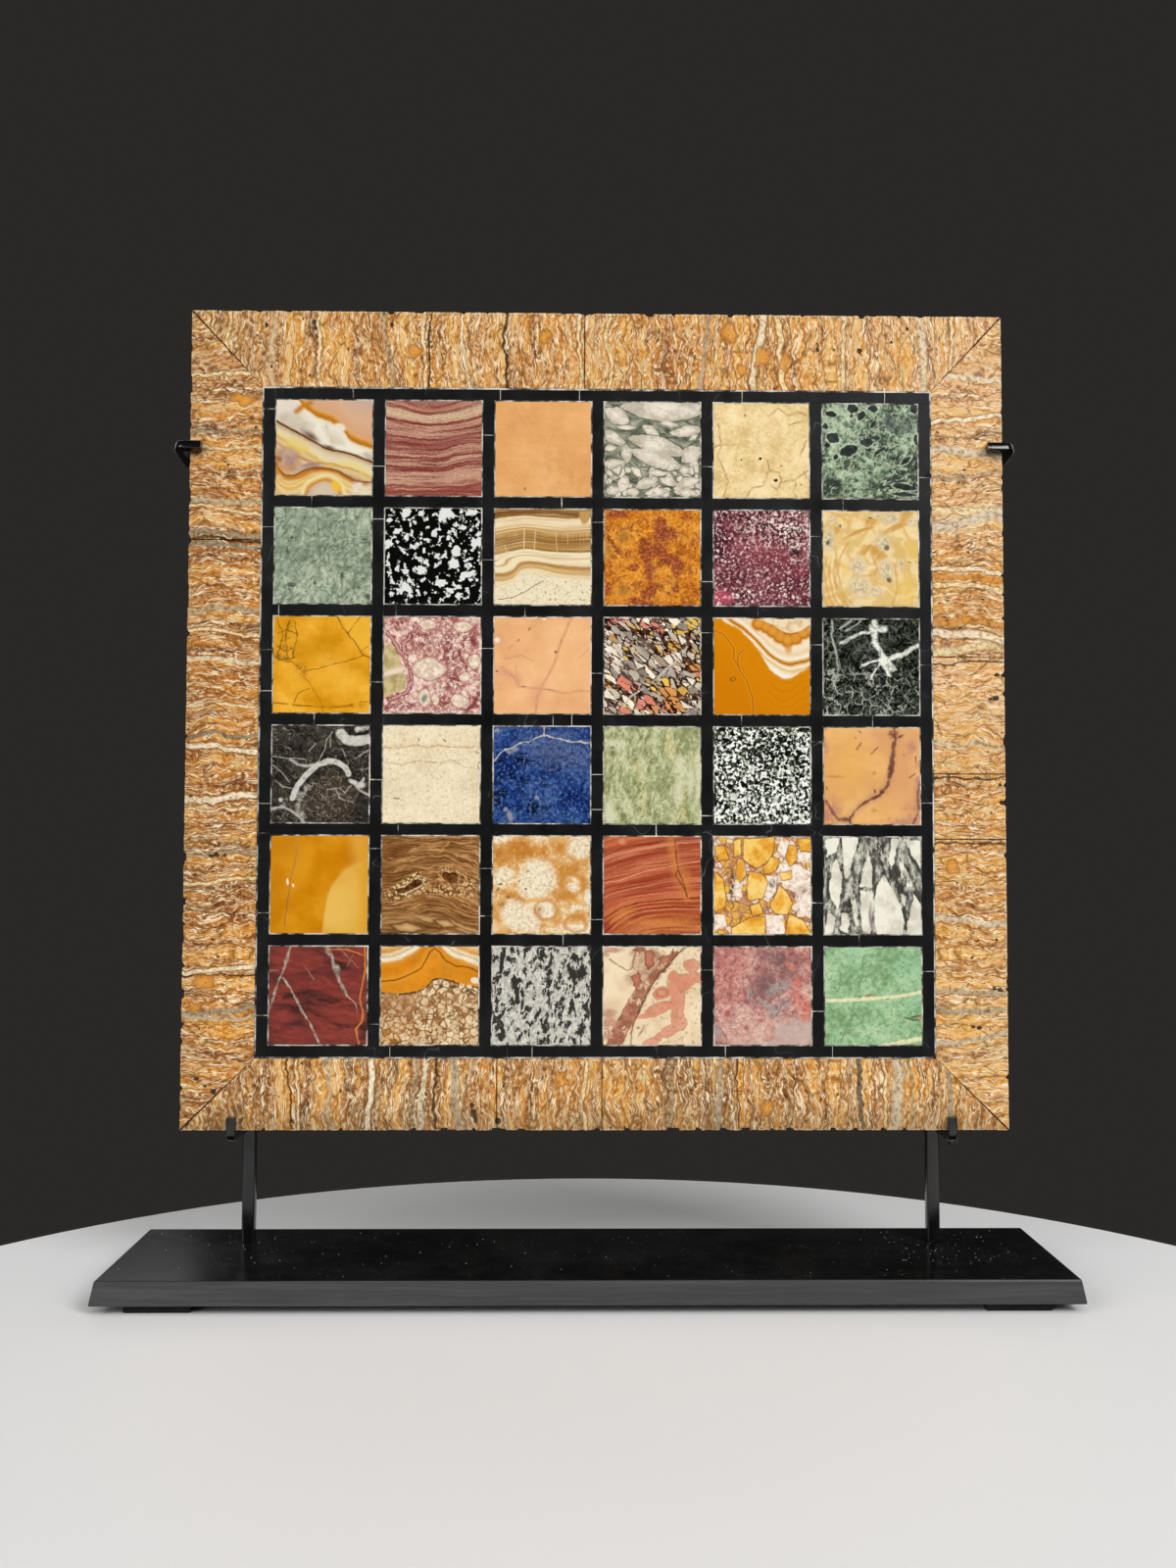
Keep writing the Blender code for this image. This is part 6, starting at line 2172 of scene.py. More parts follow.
# %% Peach marble with a purple vein
@stone
def peach_purple_veined_marble(p):
    at = p.crooked(6, 0.04, 24, 0.02, 2)
    cloud = p.noise(2.6, 4, 0.6)
    p.colour = p.ramp(cloud, "40 E2A768, 50 EAB26D, 60 F0BC76")
    p.lay("DD9E74", p.patch("85,60 14,30; 60,8 20,8; 88,22 10,20", at, 0.8) * 0.55)
    p.lay("EDB35C", p.patch("25,40 18,25", at, 0.9) * 0.6)
    rose = p.patch("2,90 16,16 20; 98,92 14,14; 100,62 6,30; 1,10 3,20; 92,20 4,6; 80,98 20,5", at,
            0.7)
    p.lay("B87E6E", rose * p.noise(10, 4, 0.7).step(0.36, 0.60) * 0.8)
    upper = "73,-2 74.5,12 71,28 70,45 67,58 60,67"
    lower = "62,66 52,73 40,79 31,86 26,94 27,100"
    p.lay("BE8A68", p.vein(upper + ";" + lower, 0.075, at, 0.6) * 0.55)
    p.lay("7C4A3C", p.vein(upper, 0.034, at, 1, 0.35) * 0.95)
    p.lay("6E4036", p.vein(lower, 0.020, at, 1) * 0.95)
    knots = p.patch("72,6 5,4; 80,9 4,1.5 -20; 56,70 7,2.2 -30; 53,65 1.2,3 -10; 22,95 6,3; "
            "69,42 3,8", at, 0.6)
    p.lay("6A3A34", knots * p.noise(22, 4, 0.7).step(0.40, 0.52) * 0.9)
    dashes = p.vein("35,21 39,16; 36,21.5 34,22; 49,27 57,20; 32,10 33,11; 36,3 38,5; 83,27 84,28; "
            "3,62 4,65; 95,30 96,36; 90,52 95,48", 0.012, at, 0.4)
    p.lay("80523C", dashes * 0.9)
    corner = p.vein("2,76 8,86 16,96; 100,56 97.5,70 99,84; 92,100 97,88", 0.022, at, 1.3)
    p.lay("74434A", corner * 0.85)
    smudge = p.patch("52,47 2,2; 52,86 2.5,2; 11,51 8,1.2", at, 0.9)
    p.lay("B4823C", smudge * 0.6)
    return p.finish(cloud * 0.15 + 0.14)

# %% [markdown]
# ### Fifth row
# The honey alabaster is calm: two tones that meet on a soft curved line. The brown onyx has two
# hollows, ringed by a pale crust. The red jasper is again a ramp over a height, which rises to
# the right. The yellow breccia and the white marble are built from straight-edged pieces whose
# outlines noise has softened.

# %% Honey alabaster
@stone
def honey_alabaster(p):
    at = p.warp(p.place, 4, 0.04)
    cloud = p.noise(2.4, 4, 0.5)
    p.colour = p.ramp(cloud, "38 C67A06, 50 D0840A, 62 DC941A")
    lobe = p.line("53,102 56,80 60,58 66,46 76,34 90,24 102,20", at)
    side = p.contour("0,160 50,130 54.5,88 60,58 68,44 80,32 100,22", at)
    p.lay(p.ramp(cloud, "38 DCA43A, 62 E9BA58"), side.step(-0.015, 0.03))
    glow = p.patch("88,60 12,22; 94,15 10,20", at, 0.9)
    p.lay("E6B24C", glow * 0.6)
    p.lay("DE9C24", p.u.step(0.86, 1) * 0.8)
    p.lay("D7A83E", lobe.step(0.02, 0) * 0.3)
    dim = p.patch("8,10 20,14; 5,60 10,35", at, 0.9)
    p.lay("BE7506", dim * 0.6)
    way = p.warp(p.place, 8, 0.02)
    crack = p.vein("27,0 26,20 21,42 19,58 16,80 14,100", 0.012, way, 0.5)
    crack = crack.most(p.vein("29,0 28.5,15 24,36; 22,56 19,80", 0.006, way, 0.4) * 0.7)
    p.lay("B4813C", crack * 0.9)
    p.lay("8A5410", p.vein("21,44 18.5,60 15,92", 0.006, way, 0.6) * 0.8)
    white = p.patch("17.5,47.5 1.2,3.5 -8; 23.5,51 1,1.8", way, 0.3)
    p.lay("FBEBC8", white)
    p.lay("C8800C", p.specks(20, 0.14, 0.10) * 0.5)
    return p.finish(cloud * 0.1 + 0.12)

# %% Brown onyx with two hollows
@stone
def brown_cavity_onyx(p):
    at = p.crooked(4.5, 0.07, 15, 0.03, 3)
    swell = p.curve(p.u, "0,5 22,2 45,-5 62,-4 80,4 100,14")
    height = p.contour("0,0 100,0", at)
    arch = height + swell * p.v.step(0.05, 0.40) * p.v.step(1, 0.72) * -1
    lines = p.strata(arch, 38, 2.6, 4, 0.7)
    p.colour = p.ramp(lines, "40 6A401C, 46 8A5A2E, 52 A37240, 58 BE8D58")
    fine = p.strata(arch, 100, 4.5, 3, 0.6)
    p.lay("5A3414", fine.step(0.49, 0.41) * 0.65)
    p.lay("D0A26A", fine.step(0.56, 0.64) * 0.6)
    grit = p.noise(26, 4, 0.75)
    p.tint(grit * 1.4 + 0.32)
    dark = p.patch("16,10 20,10; 50,27 12,5; 8,36 12,10; 52,80 28,4 3; 15,78 20,3", at, 0.9)
    p.lay("6B421C", dark * 0.6)
    for points in ("18,26 32,24 44,20", "28,15.5 36,12 44,10", "12,36 30,30 46,33 56,29",
            "50,13 62,15 68,8", "60,32 74,28 88,30"):
        p.lay("C99C60", p.vein(points, 0.013, at, 1) * 0.7)
    crust = p.noise(17, 3, 0.6, at=p.warp(p.grain, 9, 0.06))
    beads = p.cells(34, at=p.warp(p.grain, 14, 0.04))[0].step(0.56, 0.36)
    left = "20,56.5 5.5,3.5 -18; 28,53.5 7.5,3.5 -26; 36,49.5 5.5,4 -40"
    right = "66,42.5 4.5,3.5 20; 73,44.5 6,4.8 -20; 76,40 3.5,3"
    ring = p.patch("27,54 22,10 -22; 70,44 13,11; 30,45 12,4 -40", at, 0.2)
    ring = ring.most(p.vein("2,60 16,61 34,59.5 56,56 78,59 92,60; 56,46 60,52 66,56; "
            "80,40 88,50 91,57; 90,44 96,52", 0.035, at, 0.8))
    p.lay("5E3818", ring * 0.6)
    p.lay("EBCB92", ring * beads * crust.step(0.36, 0.44) * 0.95)
    scatter = p.patch("86,50 14,11 20; 66,54 12,5", at, 0.7)
    p.lay("DDB87C", scatter * beads * crust.step(0.42, 0.50) * 0.9)
    skin = p.patch("70,44 11.5,8.5 -10", at, 0.12)
    p.lay(p.ramp(grit, "42 8A5A30, 54 D0A068"), skin)
    p.lay("552A10", p.patch("66.5,42 5,4.5 20; 72,43.5 5.5,5 -30", at, 0.15))
    p.lay("B58A50", p.patch("47,51 4.5,3.5", at, 0.4) * 0.9)
    hollow = p.patch(left, at, 0.2)
    hollow = hollow.most(p.patch(right, at, 0.2))
    lip = p.patch("20,56.5 6.9,4.9 -18; 28,53.5 8.9,4.9 -26; 36,49.5 6.9,5.4 -40", at, 0.1)
    p.lay("EFD9A4", lip * crust.step(0.44, 0.52))
    # painted shade: the hollows are painted dark brown, their depth given only by the bump
    p.lay(p.ramp(crust, "42 3E1E0C, 58 74431F"), hollow)
    wood = p.contour("0,78 20,75 45,80 70,83 100,93", at)
    grainy = p.strata(wood + p.noise(3, 2) * 0.1, 26, 1.4, 3, 0.6)
    lower = p.ramp(grainy, "38 5A3A1A, 47 8A5E32, 54 A87C4A, 62 C9A06A")
    p.lay(lower, wood.step(-0.02, 0.03) * 0.85)
    swirl = p.ovals("27,94 20,5.5 8; 66,90 15,5 14", at, 0.8)
    p.lay(p.ramp(swirl + grainy * 0.8 - 0.4, "10 D9B27A, 60 B98E58, 92 5A3A1A, 110 8A5E32"),
            swirl.step(1.2, 0.95) * 0.9)
    return p.finish(crust * 0.2 + 0.16, hollow * -1, 0.0006)

# %% White and orange alabaster
@stone
def white_orange_alabaster(p):
    at = p.crooked(4.5, 0.08, 15, 0.055, 3, detail=4)
    cloud = p.noise(4, 5, 0.62)
    fine = p.noise(24, 4, 0.8)
    p.colour = p.ramp(cloud * 0.5 + fine * 0.5, "41 CE8E48, 46 DCA85E, 51 E8C894, 57 F4E2C0")
    orange = p.patch("18,17 24,10 -10; 45,16 20,9 10; 72,10 12,12; 62,27 14,5 30; 72,42 6,14; "
            "80,36 16,5; 93,48 5,14; 80,64 20,6 20; 66,80 5,14; 88,84 14,5 -20; 20,62 16,3.5 20; "
            "42,65 14,3 -5; 5,82 7,16; 10,98 10,5; 30,6 12,5", at, 0.7)
    p.lay(p.ramp(fine * 0.6 + cloud * 0.4, "42 B06A20, 50 CC8734, 56 E4AC5C"),
            orange * fine.step(0.36, 0.50) * 0.95)
    white = p.patch("46,42 19,17 20; 38,55 12,8; 10,42 11,9; 22,80 13,14; 38,86 12,12 20; "
            "90,10 12,12; 55,76 10,9; 8,3 10,4; 98,62 3,8; 82,53 5.5,5; 86,75 9,3 -20; 88,95 10,4",
            at, 0.4)
    p.lay(p.ramp(fine, "41 D6BE94, 48 ECDCBC, 54 F6EAD0"), white * 0.9)
    rings = None
    for u, v, a, b in ((0.11, 0.19, 0.06, 0.055), (0.82, 0.50, 0.11, 0.12),
            (0.86, 0.90, 0.12, 0.08), (0.55, 0.76, 0.11, 0.10)):
        near = (p.oval((u, v), (a, b), 0, at) - 1).abs()
        rings = rings.least(near) if rings else near
    p.lay("C6863A", rings.step(0.30, 0.05) * fine.step(0.34, 0.54) * 0.8)
    rust = p.patch("48,77 4.5,4.5; 16,63.5 4,1.5; 7,18 4,3; 10,70 3,2", at, 0.9)
    p.lay("A9602A", rust * fine.step(0.44, 0.56) * 0.9)
    dots = p.patch("36.5,34.5 1.2,1.4; 33,53 1.4,1.4; 16,63.5 2,1; 7,50 2,1.2; 5,55 1.4,1.2; "
            "26,47 0.8,1", at, 0.4)
    p.lay("5C4A30", dots.most(p.specks(22, 0.12, 0.10)) * 0.85)
    return p.finish(cloud * 0.15 + 0.16)

# %% Red striped jasper
@stone
def red_striped_jasper(p):
    at = p.crooked(3.5, 0.04, 15, 0.012, 2)
    slope = p.contour("0,16 18,10 40,4.5 70,0 100,-3", at)
    foot = p.contour("0,16 12,6 30,-6 50,-13 78,-15 100,-14", at)
    height = slope + (foot - slope) * p.v.step(0.52, 0.85)
    cloud = p.noise(3, 4, 0.6)
    p.colour = p.ramp(height + (p.noise(18, 3, 0.6) - 0.5) * 0.012,
            "-24 A84E2C, -12 BC5F38, -6 C56A42, 0 B0502F, 3.5 8C3A22, 5 C57050, 7.5 D08A68, "
            "10 B8583A, 15 A14A2E, 20 B85C40, 23.5 A54B2E, 28 C26A48, 30 A0452A, 36 B65636, "
            "43 AC4E32, 47 C06A4C, 52 A94C30, 60 BE6040, 66 C8683E, 74 C4602E, 75.5 7E2E1C, "
            "77.5 B85532, 80 C86E3E, 82.5 8E3420, 84.5 9C4028, 87 D08050, 88.5 A0442A, 93 CC7038, "
            "98 A8502C, 110 CE7C44")
    fine = p.strata(height, 60, 1.4, 3, 0.6)
    p.lay("8E3720", fine.step(0.51, 0.60) * 0.7)
    p.lay("DA8C62", fine.step(0.46, 0.38) * 0.55)
    wide = p.strata(height, 22, 0.8, 2, 0.5)
    p.lay("8A341E", wide.step(0.53, 0.62) * 0.5)
    p.lay("D98058", wide.step(0.47, 0.38) * 0.4)
    thin = p.vein("0,48 14,46 30,40 46,34.5 72,30 100,25.5", 0.010, at, 0.5)
    p.lay("E2A27E", thin * 0.8)
    seam = p.vein("-2,86 8,80 18,73.5 36,68.5 60,65.5 84,64.5 102,62", 0.013, at, 0.4)
    p.lay("5E2416", seam * 0.95)
    gold = p.patch("71,10 5,10 -10; 74,30 5,12 -8; 82,44 7,14 -14; 85,60 4,6; 20,80 12,4 -30; "
            "60,88 35,3", p.warp(p.place, 7, 0.06), 0.9)
    p.lay("D68A44", gold * 0.6)
    breaks = p.vein("73,2 75,20 77,33 83,50 86,62; 77,34 74,40 84,55", 0.014,
            p.warp(p.place, 10, 0.03), 0.8)
    p.lay("7A3820", breaks * 0.85)
    p.lay("8A3220", p.patch("3,94 5,6", at, 0.6) * 0.7)
    p.lay("E0A080", p.patch("19,5 3,3 20", at, 0.8) * 0.6)
    p.tint(p.noise(34, 3, 0.7) * 0.8 + 0.62)
    return p.finish(cloud * 0.2 + 0.14)

# %% Yellow breccia
@stone
def yellow_breccia(p):
    bent = p.crooked(6, 0.04, 20, 0.025, 3)
    fine = p.noise(18, 4, 0.75)
    chance = p.cells(14, at=bent)[1]
    edge = p.cells(14, at=bent, feature="DISTANCE_TO_EDGE")
    p.colour = p.ramp(chance, "0 E8B052, 22 F2D6B2, 38 D29A68, 54 F4DFC6, 70 EDB848, 86 DFAE84",
            stepped=True)
    p.lay("9A6242", edge.step(0.09, 0.02) * 0.9)
    p.lay("A0685A", fine.step(0.50, 0.58) * 0.6)
    pale = p.shards("54,40 64,40 64,56 56,66 52,58; 66,28 84,28 102,36 102,62 80,56 66,44; "
            "82,58 102,60 102,84 90,80; 54,80 70,80 74,102 54,102; 70,0 78,4 74,22 66,14; "
            "-2,80 10,80 13,92 -2,98; 19,46 29,46 28,62 20,60; 84,16 102,16 102,26 86,26", bent)
    p.lay(p.ramp(fine, "40 D9B49C, 47 F0DCC8, 56 FBF0DE"), pale.step(0.006, -0.006))
    gold = p.shards("31,2 62,0 63,10 57,23 43,32 30,22; 50,32 60,20 67,24 64,34 53,38; "
            "36,36 50,38 56,46 50,63 36,65 34,50; 25,22 31,24 33,38 27,47 22,40; "
            "77,8 85,10 86,24 78,30 74,22; 86,2 102,2 102,14 90,14; -2,34 8,42 12,60 10,72 -2,78; "
            "68,50 75,58 81,68 76,80 62,78 58,70; 18,94 36,84 53,82 52,102 18,102; "
            "78,80 92,86 100,102 72,102; 36,72 46,68 51,78 40,82; 0,10 10,10 15,22 4,24; "
            "67,38 79,35 80,43 70,45; 20,4 28,2 27,18 20,20", bent)
    p.lay("7C4A2A", gold.step(0.016, 0.004) * 0.8)
    yellow = p.ramp(p.noise(4.5, 5, 0.65), "41 DF9428, 48 EBAC40, 54 F4C25A, 60 F9D37C")
    p.lay(yellow, gold.step(0.005, -0.005))
    p.lay("E0942C", p.patch("27,34 4.5,11 8", bent, 0.2) * 0.8)
    dark = p.patch("90,55 6,4 -10; 84,61 3,3; 60,48 3,4; 18,50 3,16", bent, 0.7)
    p.lay("46382E", dark * fine.step(0.46, 0.54) * 0.9)
    return p.finish(fine * 0.15 + 0.14)

# %% White marble with grey veins
@stone
def white_grey_veined_marble(p):
    bent = p.crooked(4, 0.045, 14, 0.03, 3)
    fine = p.noise(13, 5, 0.75, at=p.stretch(p.grain, 1, 0.45))
    p.colour = p.ramp(fine, "41 4A4842, 47 77746A, 53 A8A598, 60 D2CFC0")
    blades = p.shards("0,2 16,0 12,16 2,20; 12,19 18,36 17,60 13,74 5,60 5,44; "
            "18,0 39,0 33,16 29,38 24,58 20,30; 46,18 50,30 49,53 36,51 40,34; "
            "36,55 49,55 51,78 46,100 38,96; 63,38 70,50 78,68 83,86 81,102 53,102 51,80 53,58 "
            "57,45; 70,0 77,2 74,20 70,35 66,22; 78,25 87,36 93,50 88,52 80,38; "
            "84,2 102,2 102,34 92,20; 93,58 102,72 102,102 84,102 88,78; 80,56 85,62 82,73 79,66; "
            "17,78 26,80 24,100 15,96; 3,76 10,84 8,100 -2,100; 30,60 35,72 34,94 29,86", bent)
    blades = blades + (p.noise(11, 4, 0.7) - 0.5) * 0.06
    p.lay("33322D", blades.step(0.045, 0.004) * fine.step(0.60, 0.44) * 0.9)
    body = p.ramp(p.noise(5, 4, 0.6), "42 D6D1BF, 50 E7E2CE, 57 F2EEDC")
    p.lay(body, blades.step(0.006, -0.008))
    smoke = p.patch("82,46 8,12 -30; 57,14 7,12; 27,70 4,12; 4,34 3,5; 20,68 3,10", bent, 0.7)
    p.lay("35342F", smoke * fine.step(0.56, 0.47) * 0.95)
    p.lay("8C6E74", p.patch("48,84 2,13 -4", bent, 0.7) * 0.85)
    return p.finish(fine * 0.15 + 0.14)

# %% [markdown]
# ### Sixth row
# The last row mixes the methods: long lenses under crossing veins for the dark jasper, a shore
# of amber over a bed of pebbles, tall black flecks in white, and a pink breccia that a brown
# band runs through.

# %% Dark red jasper
@stone
def dark_red_jasper(p):
    at = p.crooked(4, 0.05, 16, 0.02, 3)
    lens = p.noise(3.6, 3, 0.5, at=p.stretch(p.warp(p.grain, 3, 0.15), 0.6, 1.8, 10))
    fine = p.noise(14, 4, 0.7, at=p.stretch(p.warp(p.grain, 4, 0.1), 0.5, 1.8, 10))
    tone = lens * 0.7 + fine * 0.3
    p.colour = p.ramp(tone, "40 44282A, 46 5E302C, 52 74352E, 60 8A3E34")
    red = p.patch("28,17 28,6 4; 10,24 16,5 10; 50,38 28,7 14; 86,35 16,10 20; 82,10 16,5; "
            "12,72 16,6 5; 22,90 20,9; 80,70 14,5 4; 60,92 12,6", at, 0.5)
    p.lay(p.ramp(fine, "40 7C342C, 60 96423A"), red * 0.75)
    dark = p.patch("62,56 36,4.5 6; 22,50 22,3.5 -8; 70,16 10,6; 36,66 20,4 12; 75,82 25,3; "
            "96,85 6,12", at, 0.8)
    p.lay("38211D", dark * fine.step(0.60, 0.42) * 0.85)
    streaks = (fine - 0.5).abs().step(0.018, 0.002)
    p.lay("351D19", streaks * 0.35)
    pale = p.vein("22,-2 18,14 14,28 6,46 1,62", 0.020, at, 0.9)
    pale = pale.most(p.vein("15,33 26,50 36,68 46,86 52,100", 0.016, at, 0.7))
    pale = pale.most(p.vein("58,-2 62,8 68,22 74,38 80,50", 0.026, at, 1))
    pale = pale.most(p.vein("80,50 88,58; 88,58 90,66", 0.010, at, 1))
    pale = pale.most(p.patch("69,23 3,5 -25; 60,5 2.5,5 -25", at, 0.5))
    p.lay(p.ramp(p.noise(16, 4, 0.7), "38 7E6A5C, 50 A39282, 62 C8BCAE"), pale * 0.9)
    orange = p.vein("97.5,-2 98.5,24 95.5,40 92.5,52 96.5,66 95.5,76 89.5,84 90.5,92 92.5,100; "
            "60,2 78,3 90,6 98,10", 0.014, p.warp(p.place, 10, 0.03), 0.9)
    p.lay("D2843E", orange * 0.9)
    cross = p.vein("0,25 10,24; 36,20 46,34; 86,8 80,20; 70,0 92,22", 0.010, at, 1)
    p.lay("A08070", cross * 0.6)
    return p.finish(fine * 0.2 + 0.12)

# %% Orange onyx over a pebbly bed
@stone
def orange_pebbled_onyx(p):
    at = p.crooked(5, 0.035, 18, 0.016, 3)
    cloud = p.noise(4, 4, 0.6)
    fine = p.noise(24, 4, 0.75)
    peak = p.contour("0,17 14,15 28,9 40,1 50,-12 56,-13 63,2 72,9 84,15 100,20", at)
    amber = p.ramp(peak + (cloud - 0.5) * 0.05, "-20 E8D2B0, -12 D9962E, -9 EBD8B4, -6 CFB58C, "
            "-4.5 F2E4C8, -1.5 EEDCB8, 0 D9A050, 3 D8861C, 9 D27F16, 16 D88A22, 30 DB8A1E")
    line = p.line("-2,36 14,34.5 30,28 42,21 50,6 55,1.5 60,5 66,14 78,20 90,21 102,27", at)
    amber = p.shade(amber, cloud * 0.7 + fine * 0.5 + 0.42)
    amber = p.blend(amber, "7A430C", line.step(0.011, 0.003) * 0.85)
    amber = p.blend(amber, "E29A34", (line - 0.03).abs().step(0.03, 0) * 0.35)
    amber = p.blend(amber, "EFE0C4", p.patch("97,34.5 5,3 15", at, 0.3))
    p.colour = amber
    shore = p.contour("0,46.5 10,47.5 20,48.5 34,46 42,43 48,39 54,33 62,32.5 78,36 90,38.5 100,41",
            p.warp(at, 9, 0.03))
    lump = p.noise(13, 2, 0.5, at=p.warp(p.grain, 9, 0.08))
    grit = p.noise(30, 4, 0.75)
    bed = p.ramp(lump * 0.6 + grit * 0.4, "38 8A5C30, 46 A67A4C, 52 C49A68, 60 DAB88A")
    light = p.v.step(0.50, 0.85) + p.u.step(0.20, 0.60) * p.v.step(0.38, 0.60) * 0.5
    bed = p.blend(bed, "EBD2A6", (lump + light * 0.03).step(0.505, 0.56) * light.least(1) * 0.8)
    tumbled = p.warp(p.grain, 10, 0.06)
    _, chance, _ = p.cells(15, at=tumbled)
    rim = p.cells(15, at=tumbled, feature="DISTANCE_TO_EDGE")
    bed = p.blend(bed, p.ramp(chance * 0.5 + grit, "55 D3A878, 75 EBD0A2, 95 F4E0BA"),
            rim.step(0.05, 0.16) * (chance + light * 0.35).step(0.55, 0.70) * 0.9)
    bed = p.blend(bed, "7A4A22", rim.step(0.10, 0.02) * (0.35 + grit.step(0.44, 0.54) * 0.6))
    bed = p.blend(bed, "6B3D1A", grit.step(0.56, 0.60) * 0.7)
    dusky = p.patch("14,62 20,14; 72,55 8,7; 40,62 10,8", at, 0.8)
    bed = p.blend(bed, "A9764A", dusky * fine.step(0.62, 0.42) * 0.8)
    rust = p.patch("24,86 14,9; 6,90 8,8", at, 0.9)
    bed = p.blend(bed, "C07A2C", rust * fine.step(0.46, 0.56) * 0.8)
    pits = p.patch("62,40 2,2.5 20; 74,41 4,1.4; 94,48 4,1.4 35; 89,45 2,1.5; 92,63 5,0.8 10",
            p.warp(p.place, 16, 0.03), 0.4)
    # painted shade: the pits are darkened, their depth given only by the bump
    bed = p.blend(bed, "4A3C2C", pits * 0.9)
    p.lay(bed, shore.step(-0.003, 0.003))
    p.lay("4E3418", (shore - 0.008).abs().step(0.014, 0.003) * p.noise(7, 3).step(0.36, 0.50) * 0.9)
    return p.finish(fine * 0.2 + 0.12, pits * -1, 0.0002)

# %% White granite with black flecks
@stone
def white_flecked_granite(p):
    lean = p.stretch(p.warp(p.grain, 8, 0.05), 1, 0.48, 10)
    tall = p.noise(13, 4, 0.62, at=lean)
    small = p.noise(30, 3, 0.7, at=p.stretch(p.grain, 1, 0.7, 10))
    patchy = p.noise(3, 2, 0.5)
    p.colour = p.ramp(small, "36 A39F94, 46 C2BEB3, 54 D2CEC2, 64 E0DCD0")
    at = p.crooked(12, 0.05, 30, 0.02, 2)
    big = p.patch("86,30 5,10; 91,27 6,5; 10,13 2.5,13 8; 19,8 2,10; 73,16 2,6 30; 4,38 3,9; "
            "24,40 1.8,12 -6; 37,36 1.8,7 25; 31,56 1.6,14 4; 14,60 1.4,11 18; 38,64 4,3.5 -20; "
            "46,72 2,8 25; 68,69 4,5; 88,84 4,6 20; 84,64 1.6,10 -15; 30,87 3,4; 53,84 3,5 -30; "
            "10,80 3,5; 2,68 2,6; 52,10 3,6; 85,11 3,5 -20; 60,50 3,3; 96,62 2,5; 10,93 5,5; "
            "47,97 5,4; 38,4 3,3; 60,37 2,4 30", at, 0.5)
    black = (tall + big * 0.12 + patchy * 0.12 - 0.055).most(p.noise(24, 3, 0.6, at=lean) + 0.012)
    p.lay("8C8981", black.step(0.545, 0.60) * 0.9)
    p.lay("2A2824", black.step(0.575, 0.61) * 0.95)
    return p.finish(small * 0.15 + 0.14)

# %% Cream breccia with rose patches
@stone
def cream_rose_breccia(p):
    at = p.crooked(6, 0.04, 18, 0.025, 3)
    cloud = p.noise(4, 4, 0.6)
    fine = p.noise(22, 4, 0.7)
    p.colour = p.ramp(cloud, "38 E2C8A2, 50 ECD4AE, 62 F3DFBC")
    halo = p.vein("10,102 22,78 33,58 46,38 60,22 78,6 84,0", 0.24, at, 0.2)
    p.lay("F1DEBA", halo * 0.5)
    rose = p.ovals("91,19 7.5,6; 95,31 8,5; 80,37 13,7.5 -20; 77,52 6.5,14; 76,72 5.5,13; "
            "79,78 6,7; 68,86 9,5 -30; 58,91 6,3 -30; 50,97 9,4 -20; 60,47 8.5,5.5 -10; "
            "57,63 13,5.5 -22; 46,70 12,2.5 -10; 70,60 5,3; 72,30 5,5", at)
    p.lay("C98266", rose.step(1.28, 1.1) * 0.8)
    p.lay(p.ramp(cloud, "38 D68B6C, 62 E3A386"), rose.step(1.10, 0.95))
    ring = p.oval((0.60, 0.47), (0.07, 0.045), -10, at) - 0.8
    p.lay("BE7258", ring.abs().step(0.35, 0.1) * 0.7)
    upper = p.patch("42,22 14,14 -30; 50,10 12,9; 30,32 8,7; 52,30 8,5 -40; 35,6 8,5", at, 0.4)
    jumble = p.noise(7, 4, 0.65, at=p.warp(p.grain, 4, 0.2))
    p.lay(p.ramp(jumble, "40 A07660, 48 C59878, 55 D9BC98, 64 B48A70"), upper * 0.9)
    blobs = p.shards("40,2 50,4 52,18 46,22 41,14; 56,22 60,10 72,2 74,8 62,24; "
            "28,0 42,0 38,5 30,5; 26,30 36,26 40,36 34,42", at)
    blobs = blobs + (jumble - 0.5) * 0.16
    p.lay(p.ramp(blobs, "-4 C27A60, -1 A8664E, 0.8 7C4C3A"), blobs.step(0.012, 0))
    brown = p.line("8,106 20,80 30,62 38,46 50,30 62,20 76,6", at)
    wide = p.v.step(0.10, 0.62) * 0.055 + 0.022
    p.lay(p.ramp(fine * 0.5 + cloud * 0.5, "42 96604A, 52 AF7258, 62 C48C70"),
            (brown - wide).step(0.010, -0.006))
    pale = p.noise(14, 4, 0.7).step(0.56, 0.62) * (brown - wide).step(0.03, -0.02)
    p.lay("E6CBA6", pale * 0.8)
    dark = p.vein("27,100 30,80 38,62 48,42 58,27 72,12 84,0", 0.018, at, 0.6)
    p.lay("70443A", dark * 0.9)
    p.lay("7A5240", p.vein("6,12 16,20 24,24 30,20; 30,18 34,2; 5,98 6,86", 0.014, at, 0.8) * 0.7)
    left = p.patch("5,68 8,5; 6,78 9,6; 3,88 5,7; 10,3 10,3; 3,6 3,4", at, 0.5)
    p.lay(p.ramp(fine, "42 9E6450, 58 CF9A80"), left * fine.step(0.34, 0.50) * 0.9)
    p.lay("A58A62", p.noise(30, 3, 0.6).step(0.57, 0.63) * p.u.step(0.25, 0.50) * 0.6)
    streak = p.patch("40,86 7,1.2 -50; 36,83 2,1.4", at, 0.6)
    p.lay("A58A62", streak * 0.8)
    return p.finish(fine * 0.15 + 0.14)

